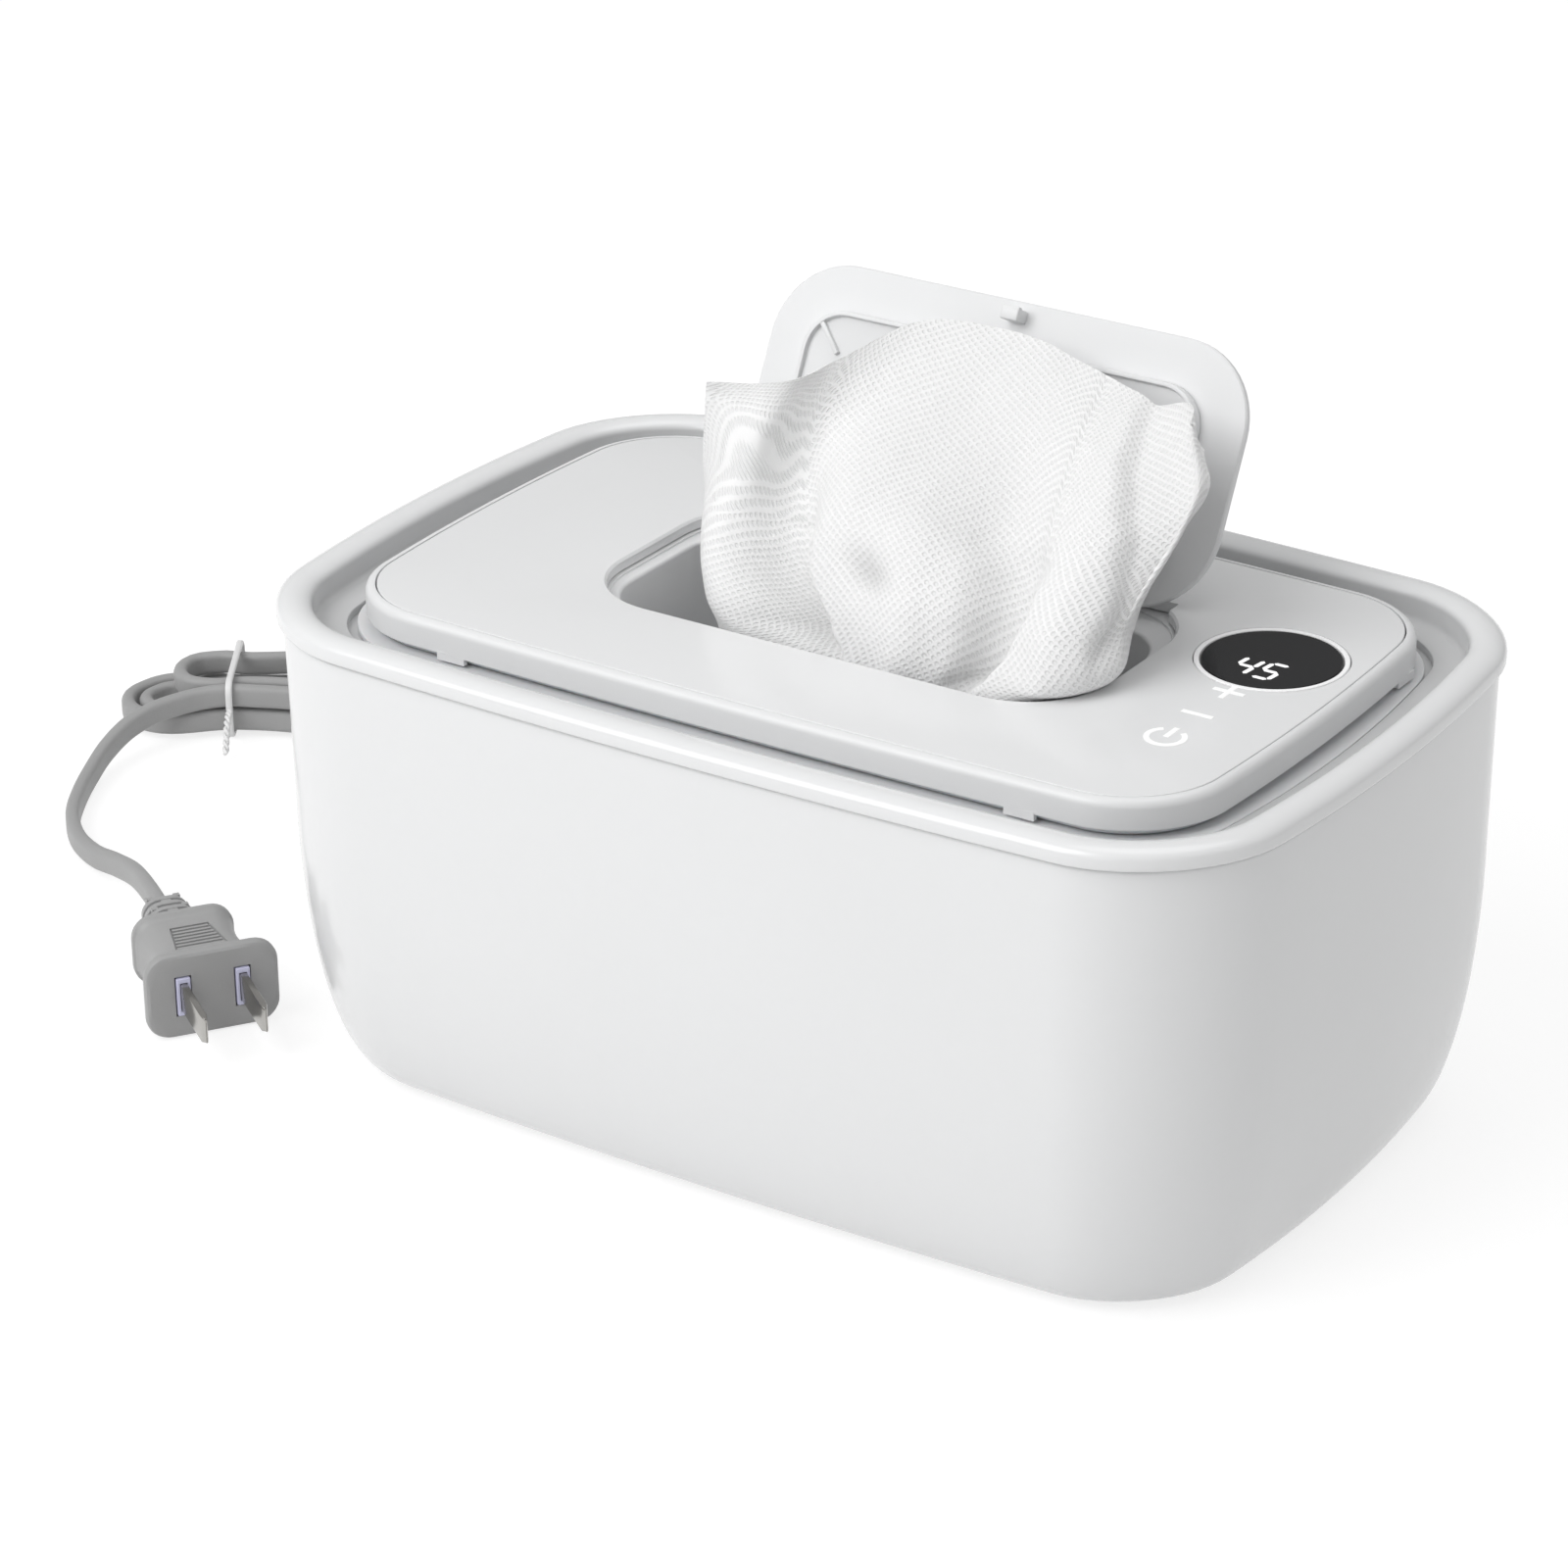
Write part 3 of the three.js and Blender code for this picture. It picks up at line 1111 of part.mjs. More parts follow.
// The plug is drawn along +X from its cord end, then turned to its heading
const plugLength = plug.reliefLength + plug.rear + plug.grip + plug.face;
function lyingOutline(width, height, radius, along) {
  const form = outline(width / 2, height / 2, radius, smallOutline);
  return form.map((p) => new THREE.Vector3(along, p.x, p.y));
}
function plugBody() {
  const corner = plug.faceCorner;
  const rearStart = plug.reliefLength;
  const gripStart = rearStart + plug.rear;
  const faceStart = gripStart + plug.grip;
  const edge = plug.ribDepth;
  const sections = [
    [rearStart, plug.rearWidth - edge, plug.rearHeight - edge],
    [rearStart + edge / 2, plug.rearWidth, plug.rearHeight],
    [gripStart, plug.rearWidth, plug.rearHeight],
    [gripStart + edge, plug.gripWidth - 2 * edge, plug.gripHeight],
    [faceStart - 3 * edge, plug.gripWidth + edge, plug.gripHeight],
    [faceStart, plug.faceWidth - edge, plug.faceHeight - edge],
    [faceStart + edge / 2, plug.faceWidth, plug.faceHeight],
    [plugLength - edge / 2, plug.faceWidth, plug.faceHeight],
    [plugLength, plug.faceWidth - edge, plug.faceHeight - edge],
  ];
  let made = skin(sections.map(([along, width, height]) => lyingOutline(width, height, corner, along)));
  for (const side of Object.values(sides)) {
    const y = (side * blade.spacing) / 2;
    const halfWidth = collar.width / 2 + gap;
    const halfHeight = collar.height / 2 + gap;
    const start = plugLength - blade.root - gap;
    const pocketEnd = plugLength + overrun;
    made = made.subtract(block(start, pocketEnd, y - halfWidth, y + halfWidth, -halfHeight, halfHeight));
  }
  return made;
}
function plugRelief() {
  const rings = [];
  const pitch = (plug.reliefLength - 2 * gap) / plug.reliefRibs;
  for (let rib = 0; rib < plug.reliefRibs; rib++) {
    const start = gap + rib * pitch;
    const steps = [[0, plug.ribDepth], [plug.slotShare, plug.ribDepth], [plug.slotShare, 0], [1, 0]];
    for (const [share, depth] of steps) {
      const along = start + share * pitch;
      const size = plug.reliefTip + ((plug.reliefRoot - plug.reliefTip) * along) / plug.reliefLength;
      rings.push(lyingOutline(size + plug.ribDepth - 2 * depth, size - 2 * depth, size / 3, along));
    }
  }
  return skin(rings);
}
function bladeSolid(side) {
  const y = (side * blade.spacing) / 2;
  const half = blade.thickness / 2;
  const start = plugLength - blade.root + gap;
  const tip = plugLength + blade.length;
  const sections = [[start, 0], [tip - blade.thickness, 0], [tip, blade.thickness / 4]];
  return skin(sections.map(([along, inset]) =>
    fourCorners(half - inset, blade.width / 2 - inset).map(([a, b]) => new THREE.Vector3(along, y + a, b))));
}
function collarSolid(side) {
  const y = (side * blade.spacing) / 2;
  const x0 = plugLength - blade.root;
  const x1 = plugLength + collar.proud;
  const [outerY, outerZ] = [collar.width / 2, collar.height / 2];
  const [slotY, slotZ] = [blade.thickness / 2 + gap, blade.width / 2 + gap];
  const made = block(x0, x1, y - outerY, y + outerY, -outerZ, outerZ);
  return made.subtract(block(x0 - gap, x1 + gap, y - slotY, y + slotY, -slotZ, slotZ));
}

function wipeStack() {
  const halfX = stack.length / 2;
  const halfY = stack.width / 2;
  const ring = (inset, z) =>
    atHeight(outline(halfX - inset, halfY - inset, stack.cornerRadius, smallOutline), z);
  const bottom = tankFloor + gap;
  return skin([
    ring(stack.edgeRound, bottom), ring(0, bottom + stack.edgeRound),
    ring(0, stackTop - stack.edgeRound), ring(stack.edgeRound, stackTop),
  ]);
}

// The pulled wipe: a sheet gathered in the opening that fans out above it in soft folds
function wipeGrid() {
  const length = 2 * wipe.lengthShare * (recessHalfX - insert.ledgeWidth);
  const depth = wipe.depthShare * (coreBack - coreFront);
  const place = (height, [x, y, rise = 0]) => {
    const leaning = flipHingeY + wipe.height * (y - wipe.hingeShare);
    const lean = THREE.MathUtils.smoothstep(height, wipe.leanStartShare, wipe.leanEndShare);
    const z = stackTop + gap + wipe.height * (height + rise);
    return new THREE.Vector3(length * x, THREE.MathUtils.lerp(depth * y, leaning, lean), z);
  };
  const levels = wipeShares.map(({ height, places }) =>
    new THREE.CatmullRomCurve3(places.map((shares) => place(height, shares))));
  const columns = Array.from({ length: wipe.columns + 1 }, (_, column) =>
    new THREE.CatmullRomCurve3(levels.map((level) => level.getPoint(column / wipe.columns))));
  return Array.from({ length: wipe.rows + 1 }, (_, row) =>
    columns.map((line) => line.getPoint(row / wipe.rows)));
}

function wipeSheet() {
  const grid = wipeGrid();
  const [lastRow, lastColumn] = [wipe.rows, wipe.columns];
  const sheetSide = (side) => grid.map((line, row) => line.map((point, column) => {
    const before = line[Math.max(column - 1, 0)];
    const sideways = line[Math.min(column + 1, lastColumn)].clone().sub(before);
    const below = grid[Math.max(row - 1, 0)][column];
    const upward = grid[Math.min(row + 1, lastRow)][column].clone().sub(below);
    if (row === 0) upward.set(0, 0, wipe.thickness);
    const normal = upward.cross(sideways).normalize();
    return point.clone().addScaledVector(normal, (side * wipe.thickness) / 2);
  }));
  const front = sheetSide(-1);
  const back = sheetSide(1);
  return skin(front.map((line, row) => [...line, ...back[row].reverse()]));
}

// The whole product
const warmer = new THREE.Group();
const tub = new THREE.Group();
const lidGroup = new THREE.Group();
const flipGroup = new THREE.Group();
const plugGroup = new THREE.Group();
flipGroup.position.set(0, flipHingeY, flipHingeZ);
flipGroup.rotation.x = -THREE.MathUtils.degToRad(flipLid.openDegrees);
const [plugTipX, plugTipY] = leadRoute[leadRoute.length - 1];
plugGroup.position.set(plugTipX, plugTipY, plug.centreHeight);
plugGroup.rotation.z = Math.atan2(plug.heading[1], plug.heading[0]);
warmer.add(tub, lidGroup);
lidGroup.add(flipGroup);
tub.add(plugGroup);

addPiece(tub, "outer_shell", outerShell(), whiteGloss);
addPiece(tub, "top_bezel", bezelSolid(), whiteGloss);
addPiece(tub, "inner_tank", tankSolid(), innerPlastic);
addPiece(tub, "base_plate", basePlateSolid(), greyPlastic);
footPlaces.forEach(([x, y], i) => {
  const top = shellFloor + foot.pocket - gap;
  const profile = [[0, 0], [foot.radius - foot.chamfer, 0], [foot.radius, foot.chamfer]];
  profile.push([foot.radius, top], [0, top]);
  addPiece(tub, `rubber_foot_${i + 1}`, turned(profile, x, y, 0), rubber);
});
postPlaces.forEach(([x, y], i) =>
  addPiece(tub, `base_screw_${i + 1}`, screw(baseScrew, x, y, shellFloor + gap / 2, 1), steel));
addPiece(tub, "heater_plate", heaterSheet(heaterPlateZ, heater.plate, 0), aluminium);
addPiece(tub, "heater_film", heaterSheet(heaterFilmZ, heater.film, 2 * heater.plate), copperFilm);
addPiece(tub, "insulation_pad", heaterPad(), foam);
addPiece(tub, "thermal_fuse", sensorRod(fuse), silicone);
addPiece(tub, "temperature_sensor", sensorRod(sensor), darkPart);
addPiece(tub, "power_board", drilledBoard(board, boardX, boardY, boardZ, boardHoles), greenBoard);
boardHoles.forEach(([x, y], i) => {
  const head = boardZ + board.thickness + gap + smallScrew.head;
  addPiece(tub, `power_board_screw_${i + 1}`, screw(smallScrew, x, y, head, -1), steel);
});
const onBoard = boardZ + board.thickness + gap;
const boardPlace = ({ xShare, yShare }) => [boardX + xShare * board.length, boardY + yShare * board.width];
const onPowerBoard = (part) => standing(part, ...boardPlace(part), onBoard, part.height);
addPiece(tub, "transformer", onPowerBoard(transformer), darkPart);
addPiece(tub, "power_relay", onPowerBoard(relay), darkPart);
const capacitorTop = onBoard + capacitor.height;
const capacitorRod = uprightRod(capacitor.radius, ...boardPlace(capacitor), onBoard, capacitorTop);
addPiece(tub, "capacitor", capacitorRod, darkPart);
addPiece(tub, "mains_leads", roundCable(mainsRoute, 2 * cable.radius), cordGrey);
addPiece(tub, "hinge_cable", roundCable(hingeCableRoute), cordGrey);
addPiece(tub, "cord_relief", cordRelief(), cordGrey);
addPiece(tub, "cord_tail", flatCord(tailRoute, tailSteps), cordGrey);
addPiece(tub, "cord_hank", hankSolid(), cordGrey);
addPiece(tub, "cord_lead", flatCord(leadRoute, leadSteps), cordGrey);
addPiece(tub, "twist_tie", twistTie(), softWhite);
addPiece(plugGroup, "plug_relief", plugRelief(), cordGrey);
addPiece(plugGroup, "plug_body", plugBody(), cordGrey);
addPiece(tub, "wipe_stack", wipeStack(), softWhite);

addPiece(lidGroup, "lid_frame", lidFrame(), whitePlastic);
addPiece(lidGroup, "lid_top_plate", topPlate(), whiteGloss);
addPiece(lidGroup, "dispensing_insert", dispensingInsert(), whitePlastic);
const gasketInner = gasket.outerInset + gasket.width;
const gasketBottom = flangeTop + gap;
const gasketTop = skirtBottom + gasket.grooveDepth - gap;
addPiece(lidGroup, "lid_gasket", skin([
  lidRing(gasket.outerInset, gasketBottom), lidRing(gasket.outerInset, gasketTop),
  lidRing(gasketInner, gasketTop), lidRing(gasketInner, gasketBottom),
], true), silicone);
const displayDisc = (radius, z0, z1) => uprightRod(radius, displayX, displayY, z0, z1, discSides);
const displayRing = displayDisc(display.radius + display.ring, plateUnderside, lidTop + display.ringRise)
  .subtract(displayDisc(display.radius, plateUnderside - overrun, lidTop + overrun));
addPiece(lidGroup, "display_ring", displayRing, whiteGloss);
const windowBottom = lidTop - display.window;
addPiece(lidGroup, "display_window", displayDisc(display.radius - gap, windowBottom, lidTop), blackWindow);
const onControl = controlBoardZ + controlBoard.thickness + gap;
const digitHeight = windowBottom - gap - onControl;
const digitsY = controlAt(digits.alongShare);
addPiece(lidGroup, "digit_display", standing(digits, displayX, digitsY, onControl, digitHeight), darkPart);
const turnedBoard = { ...controlBoard, length: controlBoard.width, width: controlLength };
const controlSolid = drilledBoard(turnedBoard, controlMiddle, controlAt(1 / 2), controlBoardZ, controlHoles);
addPiece(lidGroup, "control_board", controlSolid, greenBoard);
controlHoles.forEach(([x, y], i) => {
  const head = onControl + smallScrew.head;
  addPiece(lidGroup, `control_board_screw_${i + 1}`, screw(smallScrew, x, y, head, -1), steel);
});
for (const [name, share] of Object.entries(padShares)) {
  const radius = touchPad.radiusShare * controlLength;
  const padX = lid.length / 2 - touchPad.endInset;
  const pad = uprightRod(radius, padX, controlAt(share), onControl, plateUnderside - gap);
  addPiece(lidGroup, `touch_pad_${name}`, pad, foam);
}
addPiece(lidGroup, "lid_cable", roundCable(lidCableRoute), cordGrey);
addPiece(lidGroup, "wipe_sheet", wipeSheet(), softWhite);
Object.entries(sides).forEach(([name, side], i) => {
  const pin = (radius, [start, end], reach, y, z) => crossRod(radius, start - reach, end + reach, y, z);
  const lidPin = pin(lidHinge.pinRadius, knuckleSpans[i], gap + lidHinge.ear, lidHinge.y, lidHingeZ);
  const flipPin = pin(flipLid.pinRadius, barrelSpans[i], gap + flipLid.lug, flipHingeY, flipHingeZ);
  addPiece(tub, `lid_hinge_pin_${name}`, lidPin, steel);
  addPiece(lidGroup, `flip_hinge_pin_${name}`, flipPin, steel);
  addPiece(plugGroup, `plug_blade_${name}`, bladeSolid(side), nickel);
  addPiece(plugGroup, `blade_collar_${name}`, collarSolid(side), paleCollar);
});
addPiece(flipGroup, "flip_lid", flipLidSolid(), whiteGloss);
addPiece(flipGroup, "flip_lid_liner", flipLiner(), whitePlastic);

export default warmer;
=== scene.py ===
import math

import bmesh
import bpy
from mathutils import Matrix, Vector, noise


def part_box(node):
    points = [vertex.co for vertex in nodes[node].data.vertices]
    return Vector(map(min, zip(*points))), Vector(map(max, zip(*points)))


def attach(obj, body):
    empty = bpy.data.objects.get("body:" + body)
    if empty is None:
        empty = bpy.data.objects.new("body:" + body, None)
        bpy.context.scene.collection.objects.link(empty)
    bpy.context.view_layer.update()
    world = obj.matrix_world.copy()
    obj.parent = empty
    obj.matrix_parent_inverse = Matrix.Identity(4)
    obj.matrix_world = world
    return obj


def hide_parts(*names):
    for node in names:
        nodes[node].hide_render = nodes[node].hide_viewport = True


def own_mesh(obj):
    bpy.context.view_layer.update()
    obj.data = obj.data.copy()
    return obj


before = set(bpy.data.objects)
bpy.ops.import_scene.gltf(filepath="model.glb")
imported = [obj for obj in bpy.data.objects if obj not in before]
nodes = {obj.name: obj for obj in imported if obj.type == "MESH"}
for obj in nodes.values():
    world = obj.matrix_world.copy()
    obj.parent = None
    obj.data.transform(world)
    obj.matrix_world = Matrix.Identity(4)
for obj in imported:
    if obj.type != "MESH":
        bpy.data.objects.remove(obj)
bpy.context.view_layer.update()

# The baby wipe warmer, in millimetres here and in metres in Blender, in the frame of the CAD model.
mm = 0.001
scene = bpy.context.scene


# Camera
camera = {
    "place": (504.93, -791.39, 509.4),
    "azimuth": 32.54,
    "elevation": 25.64,
    "lens": 119.35,
    "sensor": 36.0,
    "shift": (-0.0647, 0.018),
}


def makeCamera():
    data = bpy.data.cameras.new("camera")
    data.lens = camera["lens"]
    data.sensor_width = camera["sensor"]
    data.shift_x, data.shift_y = camera["shift"]
    data.clip_start = 0.01
    data.clip_end = 20
    made = bpy.data.objects.new("camera", data)
    azimuth = math.radians(camera["azimuth"])
    elevation = math.radians(camera["elevation"])
    back = Vector((
        math.sin(azimuth) * math.cos(elevation),
        -math.cos(azimuth) * math.cos(elevation),
        math.sin(elevation),
    ))
    right = Vector((math.cos(azimuth), math.sin(azimuth), 0))
    up = back.cross(right)
    turn = Matrix((right, up, back)).transposed().to_4x4()
    made.matrix_world = Matrix.Translation(Vector(camera["place"]) * mm) @ turn
    scene.collection.objects.link(made)
    scene.camera = made


makeCamera()
print("camera placed")


# Shape helpers
cornerSigns = [(1, 1), (-1, 1), (-1, -1), (1, -1)]
play = 0.3  # room round pins and between knuckles
def link(name, mesh):
    made = bpy.data.objects.new(name, mesh)
    scene.collection.objects.link(made)
    return made


def shadeByAngle(mesh, degrees):
    mesh.polygons.foreach_set("use_smooth", [True] * len(mesh.polygons))
    mesh.set_sharp_from_angle(angle=math.radians(degrees))
    mesh.update()


def meshPiece(name, points, faces, degrees=32):  # points in millimetres
    mesh = bpy.data.meshes.new(name)
    mesh.from_pydata([Vector(p) * mm for p in points], [], faces)
    work = bmesh.new()
    work.from_mesh(mesh)
    bmesh.ops.remove_doubles(work, verts=work.verts, dist=1e-7)
    bmesh.ops.recalc_face_normals(work, faces=work.faces)
    work.to_mesh(mesh)
    work.free()
    shadeByAngle(mesh, degrees)
    return link(name, mesh)


def skin(name, rings, closed=False, degrees=32):  # rings of equal length, closed on itself or capped
    count = len(rings[0])
    points = [p for ring in rings for p in ring]
    faces = []
    for i in range(len(rings) if closed else len(rings) - 1):
        low = i * count
        high = (i + 1) % len(rings) * count
        for j in range(count):
            after = (j + 1) % count
            faces.append((low + j, low + after, high + after, high + j))
    if not closed:
        last = (len(rings) - 1) * count
        faces.append(tuple(reversed(range(count))))
        faces.append(tuple(range(last, last + count)))
    return meshPiece(name, points, faces, degrees)


def baked(made, degrees=32):  # the piece with its modifiers applied
    graph = bpy.context.evaluated_depsgraph_get()
    mesh = bpy.data.meshes.new_from_object(made.evaluated_get(graph))
    made.modifiers.clear()
    made.data = mesh
    shadeByAngle(mesh, degrees)
    return made


def combine(made, others, operation="DIFFERENCE", degrees=32):
    for other in others:
        step = made.modifiers.new("combine", "BOOLEAN")
        step.operation = operation
        step.solver = "EXACT"
        step.object = other
    baked(made, degrees)
    for other in others:
        bpy.data.objects.remove(other)
    return made


def box(x0, x1, y0, y1, z0, z1, name="block"):
    points = [(x, y, z) for x in (x0, x1) for y in (y0, y1) for z in (z0, z1)]
    faces = [(0, 1, 3, 2), (4, 6, 7, 5), (0, 4, 5, 1), (2, 3, 7, 6), (0, 2, 6, 4), (1, 5, 7, 3)]
    return meshPiece(name, points, faces)


def softBox(name, x0, x1, y0, y1, z0, z1, edge, steps=3):  # a block with rounded edges
    made = box(x0, x1, y0, y1, z0, z1, name)
    bevel = made.modifiers.new("edge", "BEVEL")
    bevel.width = edge * mm
    bevel.segments = steps
    return baked(made, 60)


def across(direction):  # two directions across a line
    forward = Vector(direction).normalized()
    side = forward.cross(Vector((0, 0, 1)) if abs(forward.z) < 0.9 else Vector((1, 0, 0))).normalized()
    return side, side.cross(forward)


def circle(sides):  # points round a circle of radius one
    return [(math.cos(a), math.sin(a)) for a in (2 * math.pi * k / sides for k in range(sides))]


def ringAbout(middle, side, other, radius, sides):
    return [middle + (side * c + other * s) * radius for c, s in circle(sides)]


def turnedPiece(name, start, direction, profile, sides=40, degrees=32):
    # profile of (radius, distance along the direction), its end faces closed
    side, other = across(direction)
    forward = Vector(direction).normalized()
    rings = [
        ringAbout(Vector(start) + forward * along, side, other, radius, sides) for radius, along in profile
    ]
    return skin(name, rings, False, degrees)


def rod(start, end, radius, sides=32):
    line = Vector(end) - Vector(start)
    return turnedPiece("rod", start, line, [(radius, 0), (radius, line.length)], sides)


def rodX(x0, x1, y, z, radius):
    return rod((x0, y, z), (x1, y, z), radius)


def rods(places, low, high, radius):  # an upright rod at each place
    return [rod((x, y, low), (x, y, high), radius) for x, y in places]


def pinPiece(name, start, end, radius, edge=0.25):
    line = Vector(end) - Vector(start)
    profile = [(radius - edge, 0), (radius, edge), (radius, line.length - edge), (radius - edge, line.length)]
    return turnedPiece(name, start, line, profile)


def knuckleSpans(middleX, width, lug):  # spans along a hinge: the knuckles, and the lugs beside them
    knuckles, lugs = [], []
    for side in (-1, 1):
        start = side * middleX - width / 2
        end = start + width
        knuckles.append((start, end))
        lugs += [(start - play - lug, start - play), (end + play, end + play + lug)]
    return knuckles, lugs


def fourPlaces(x, y):
    return [(signX * x, signY * y) for signX, signY in cornerSigns]


def outlinePoints(halfX, halfY, radius, endBow=0.0, sideBow=0.0, y=0.0, arcs=14, parts=12):
    # a rectangle with round corners whose ends and sides may bow out
    radius = max(min(radius, halfX, halfY), 0.3)  # never a sharp corner

    def arcPoint(corner, share):
        signX, signY = cornerSigns[corner % 4]
        angle = (corner + share) * math.pi / 2
        return Vector((
            signX * (halfX - radius) + radius * math.cos(angle),
            signY * (halfY - radius) + radius * math.sin(angle),
        ))

    points = []
    for corner in range(4):
        points += [arcPoint(corner, step / arcs) for step in range(arcs + 1)]
        start, end = arcPoint(corner, 1), arcPoint(corner + 1, 0)
        points += [start.lerp(end, step / parts) for step in range(1, parts)]
    return [(
        p.x * (1 - endBow * (p.y / halfY) ** 2),
        y + p.y * (1 - sideBow * (p.x / halfX) ** 2),
    ) for p in points]


# Driving sizes, as in the CAD model
tub = {
    "length": 230, "width": 148.6, "floor": 1.5, "rimTop": 103, "cornerRadius": 29,
    "endBow": 0.057, "sideBow": 0.047, "wall": 2.5, "draft": 0.5,
    "curveHeight": 58.3, "curveInset": 11.95, "cornerShrink": 0.6,
}
lid = {
    "length": 196, "width": 114, "cornerRadius": 20, "endBow": 0.03, "sideBow": 0.03,
    "top": 104.5, "skirtBottom": 98.4, "underside": 91, "floor": 92.5, "shelf": 101.9, "seam": 2,
}
recess = {"halfX": 56.2, "front": -27.5, "back": 29.8, "cornerRadius": 17.8}
core = {"halfX": 52.9, "front": -24.2, "back": 21.5, "cornerRadius": 13}
flip = {
    "hinge": (0, 27, 103.1), "open": 117, "halfX": 55.4, "front": -54, "cornerRadius": 17,
    "top": 1.4, "thickness": 2.3, "round": 0.9, "edge": 0.3, "underInset": 9, "topInset": 6,
}
lidHinge = {"y": 59.2, "z": 101.0, "x": 25, "knuckle": 8, "ear": 3, "radius": 2.2, "pin": 1.1}
lidKnuckles, lidEars = knuckleSpans(lidHinge["x"], lidHinge["knuckle"], lidHinge["ear"])


# A plan gives its outline for an inset and a loss of corner radius
def planOf(halfX, halfY, cornerRadius, endBow=0.0, sideBow=0.0, y=0.0):
    def plan(inset, loss):
        return outlinePoints(halfX - inset, halfY - inset, max(cornerRadius - loss, 3), endBow, sideBow, y)

    return plan


def spanPlan(halfX, front, back, cornerRadius):
    return planOf(halfX, (back - front) / 2, cornerRadius, y=(back + front) / 2)


bodyPlan = planOf(tub["length"] / 2, tub["width"] / 2, tub["cornerRadius"], tub["endBow"], tub["sideBow"])
lidPlan = planOf(lid["length"] / 2, lid["width"] / 2, lid["cornerRadius"], lid["endBow"], lid["sideBow"])
recessPlan = spanPlan(**recess)
corePlan = spanPlan(**core)
flipPlan = spanPlan(flip["halfX"], flip["front"], 0, flip["cornerRadius"])
planOrder = [bodyPlan, lidPlan, recessPlan, corePlan]  # from the outside in


def roundedRings(profile, closed=True, steps=4, planStep=6, most=0.45):
    # profile of (plan, inset, height, fillet, loss), where the last two may be left out;
    # a fillet takes up at most that share of the legs beside it
    def whole(plan, inset, z, fillet=0, loss=None):
        return plan, inset, z, fillet, inset if loss is None else loss

    entries = [whole(*entry) for entry in profile]
    rings = []

    def place(plan, inset, z, loss):
        rings.append([(x, y, z) for x, y in plan(inset, loss)])

    def leg(entry, other):
        plan, inset, z, _, loss = entry
        if other[0] is plan:
            return Vector((other[1] - inset, other[2] - z, other[4] - loss))
        sign = 1 if planOrder.index(other[0]) > planOrder.index(plan) else -1
        return Vector((sign * planStep, 0, sign * planStep))

    for i, entry in enumerate(entries):
        plan, inset, z, fillet, loss = entry
        if not fillet or (not closed and i in (0, len(entries) - 1)):
            place(plan, inset, z, loss)
            continue
        legs = [leg(entry, entries[i - 1]), leg(entry, entries[(i + 1) % len(entries)])]
        flat = [Vector((v.x, v.y)) for v in legs]
        angle = flat[0].angle(flat[1])
        reach = min(fillet / math.tan(angle / 2), most * flat[0].length, most * flat[1].length)
        corner = Vector((inset, z, loss))
        start = corner + legs[0] * (reach / flat[0].length)
        end = corner + legs[1] * (reach / flat[1].length)
        for step in range(steps + 1):
            t = step / steps
            p = start * (1 - t) ** 2 + corner * (2 * t * (1 - t)) + end * t ** 2
            place(plan, p.x, p.y, p.z)
    return rings


def quarterRound(plan, top, radius, steps=10):  # the rows of a rounded top edge
    rows = []
    for step in range(steps + 1):
        angle = math.pi / 2 * step / steps
        rows.append((plan, radius * (1 - math.cos(angle)), top - radius * (1 - math.sin(angle))))
    return rows


def shares(steps):
    return [i / steps for i in range(steps + 1)]


def splinePoints(points, places):  # a centripetal spline through the points, as in the CAD model
    made = []
    tiny = 1e-4
    last = len(points) - 1
    for share in places:
        at = min(max(share, 0), 1) * last
        i = min(int(at), last - 1)
        t = at - i
        p1, p2 = points[i], points[i + 1]
        p0 = points[i - 1] if i > 0 else p1 * 2 - p2
        p3 = points[i + 2] if i + 2 <= last else p2 * 2 - p1
        d0, d1, d2 = [(b - a).length ** 0.5 for a, b in ((p0, p1), (p1, p2), (p2, p3))]
        d1 = d1 if d1 > tiny else 1.0
        d0 = d0 if d0 > tiny else d1
        d2 = d2 if d2 > tiny else d1
        t1 = ((p1 - p0) / d0 - (p2 - p0) / (d0 + d1) + (p2 - p1) / d1) * d1
        t2 = ((p2 - p1) / d1 - (p3 - p1) / (d1 + d2) + (p3 - p2) / d2) * d1
        square = p2 * 3 - p1 * 3 - t1 * 2 - t2
        cube = p1 * 2 - p2 * 2 + t1 + t2
        made.append(p1 + t1 * t + square * t ** 2 + cube * t ** 3)
    return made


def evenPath(points, spacing):  # the points again at an even spacing along their line
    lengths = [0.0]
    for a, b in zip(points, points[1:]):
        lengths.append(lengths[-1] + (b - a).length)
    count = max(round(lengths[-1] / spacing), 2)
    made = []
    i = 0
    for step in range(count + 1):
        at = lengths[-1] * step / count
        while i < len(points) - 2 and lengths[i + 1] < at:
            i += 1
        span = max(lengths[i + 1] - lengths[i], 1e-9)
        made.append(points[i].lerp(points[i + 1], (at - lengths[i]) / span))
    return made, lengths[-1]


def headings(path):  # the direction of travel at each point
    last = len(path) - 1
    return [(path[min(i + 1, last)] - path[max(i - 1, 0)]).normalized() for i in range(len(path))]


def sweep(name, path, section, degrees=50):  # section of (sideways, upright) points
    rings = []
    for point, forward in zip(path, headings(path)):
        side = Vector((0, 0, 1)).cross(forward).normalized()
        up = forward.cross(side)
        rings.append([point + side * a + up * b for a, b in section])
    return skin(name, rings, False, degrees)


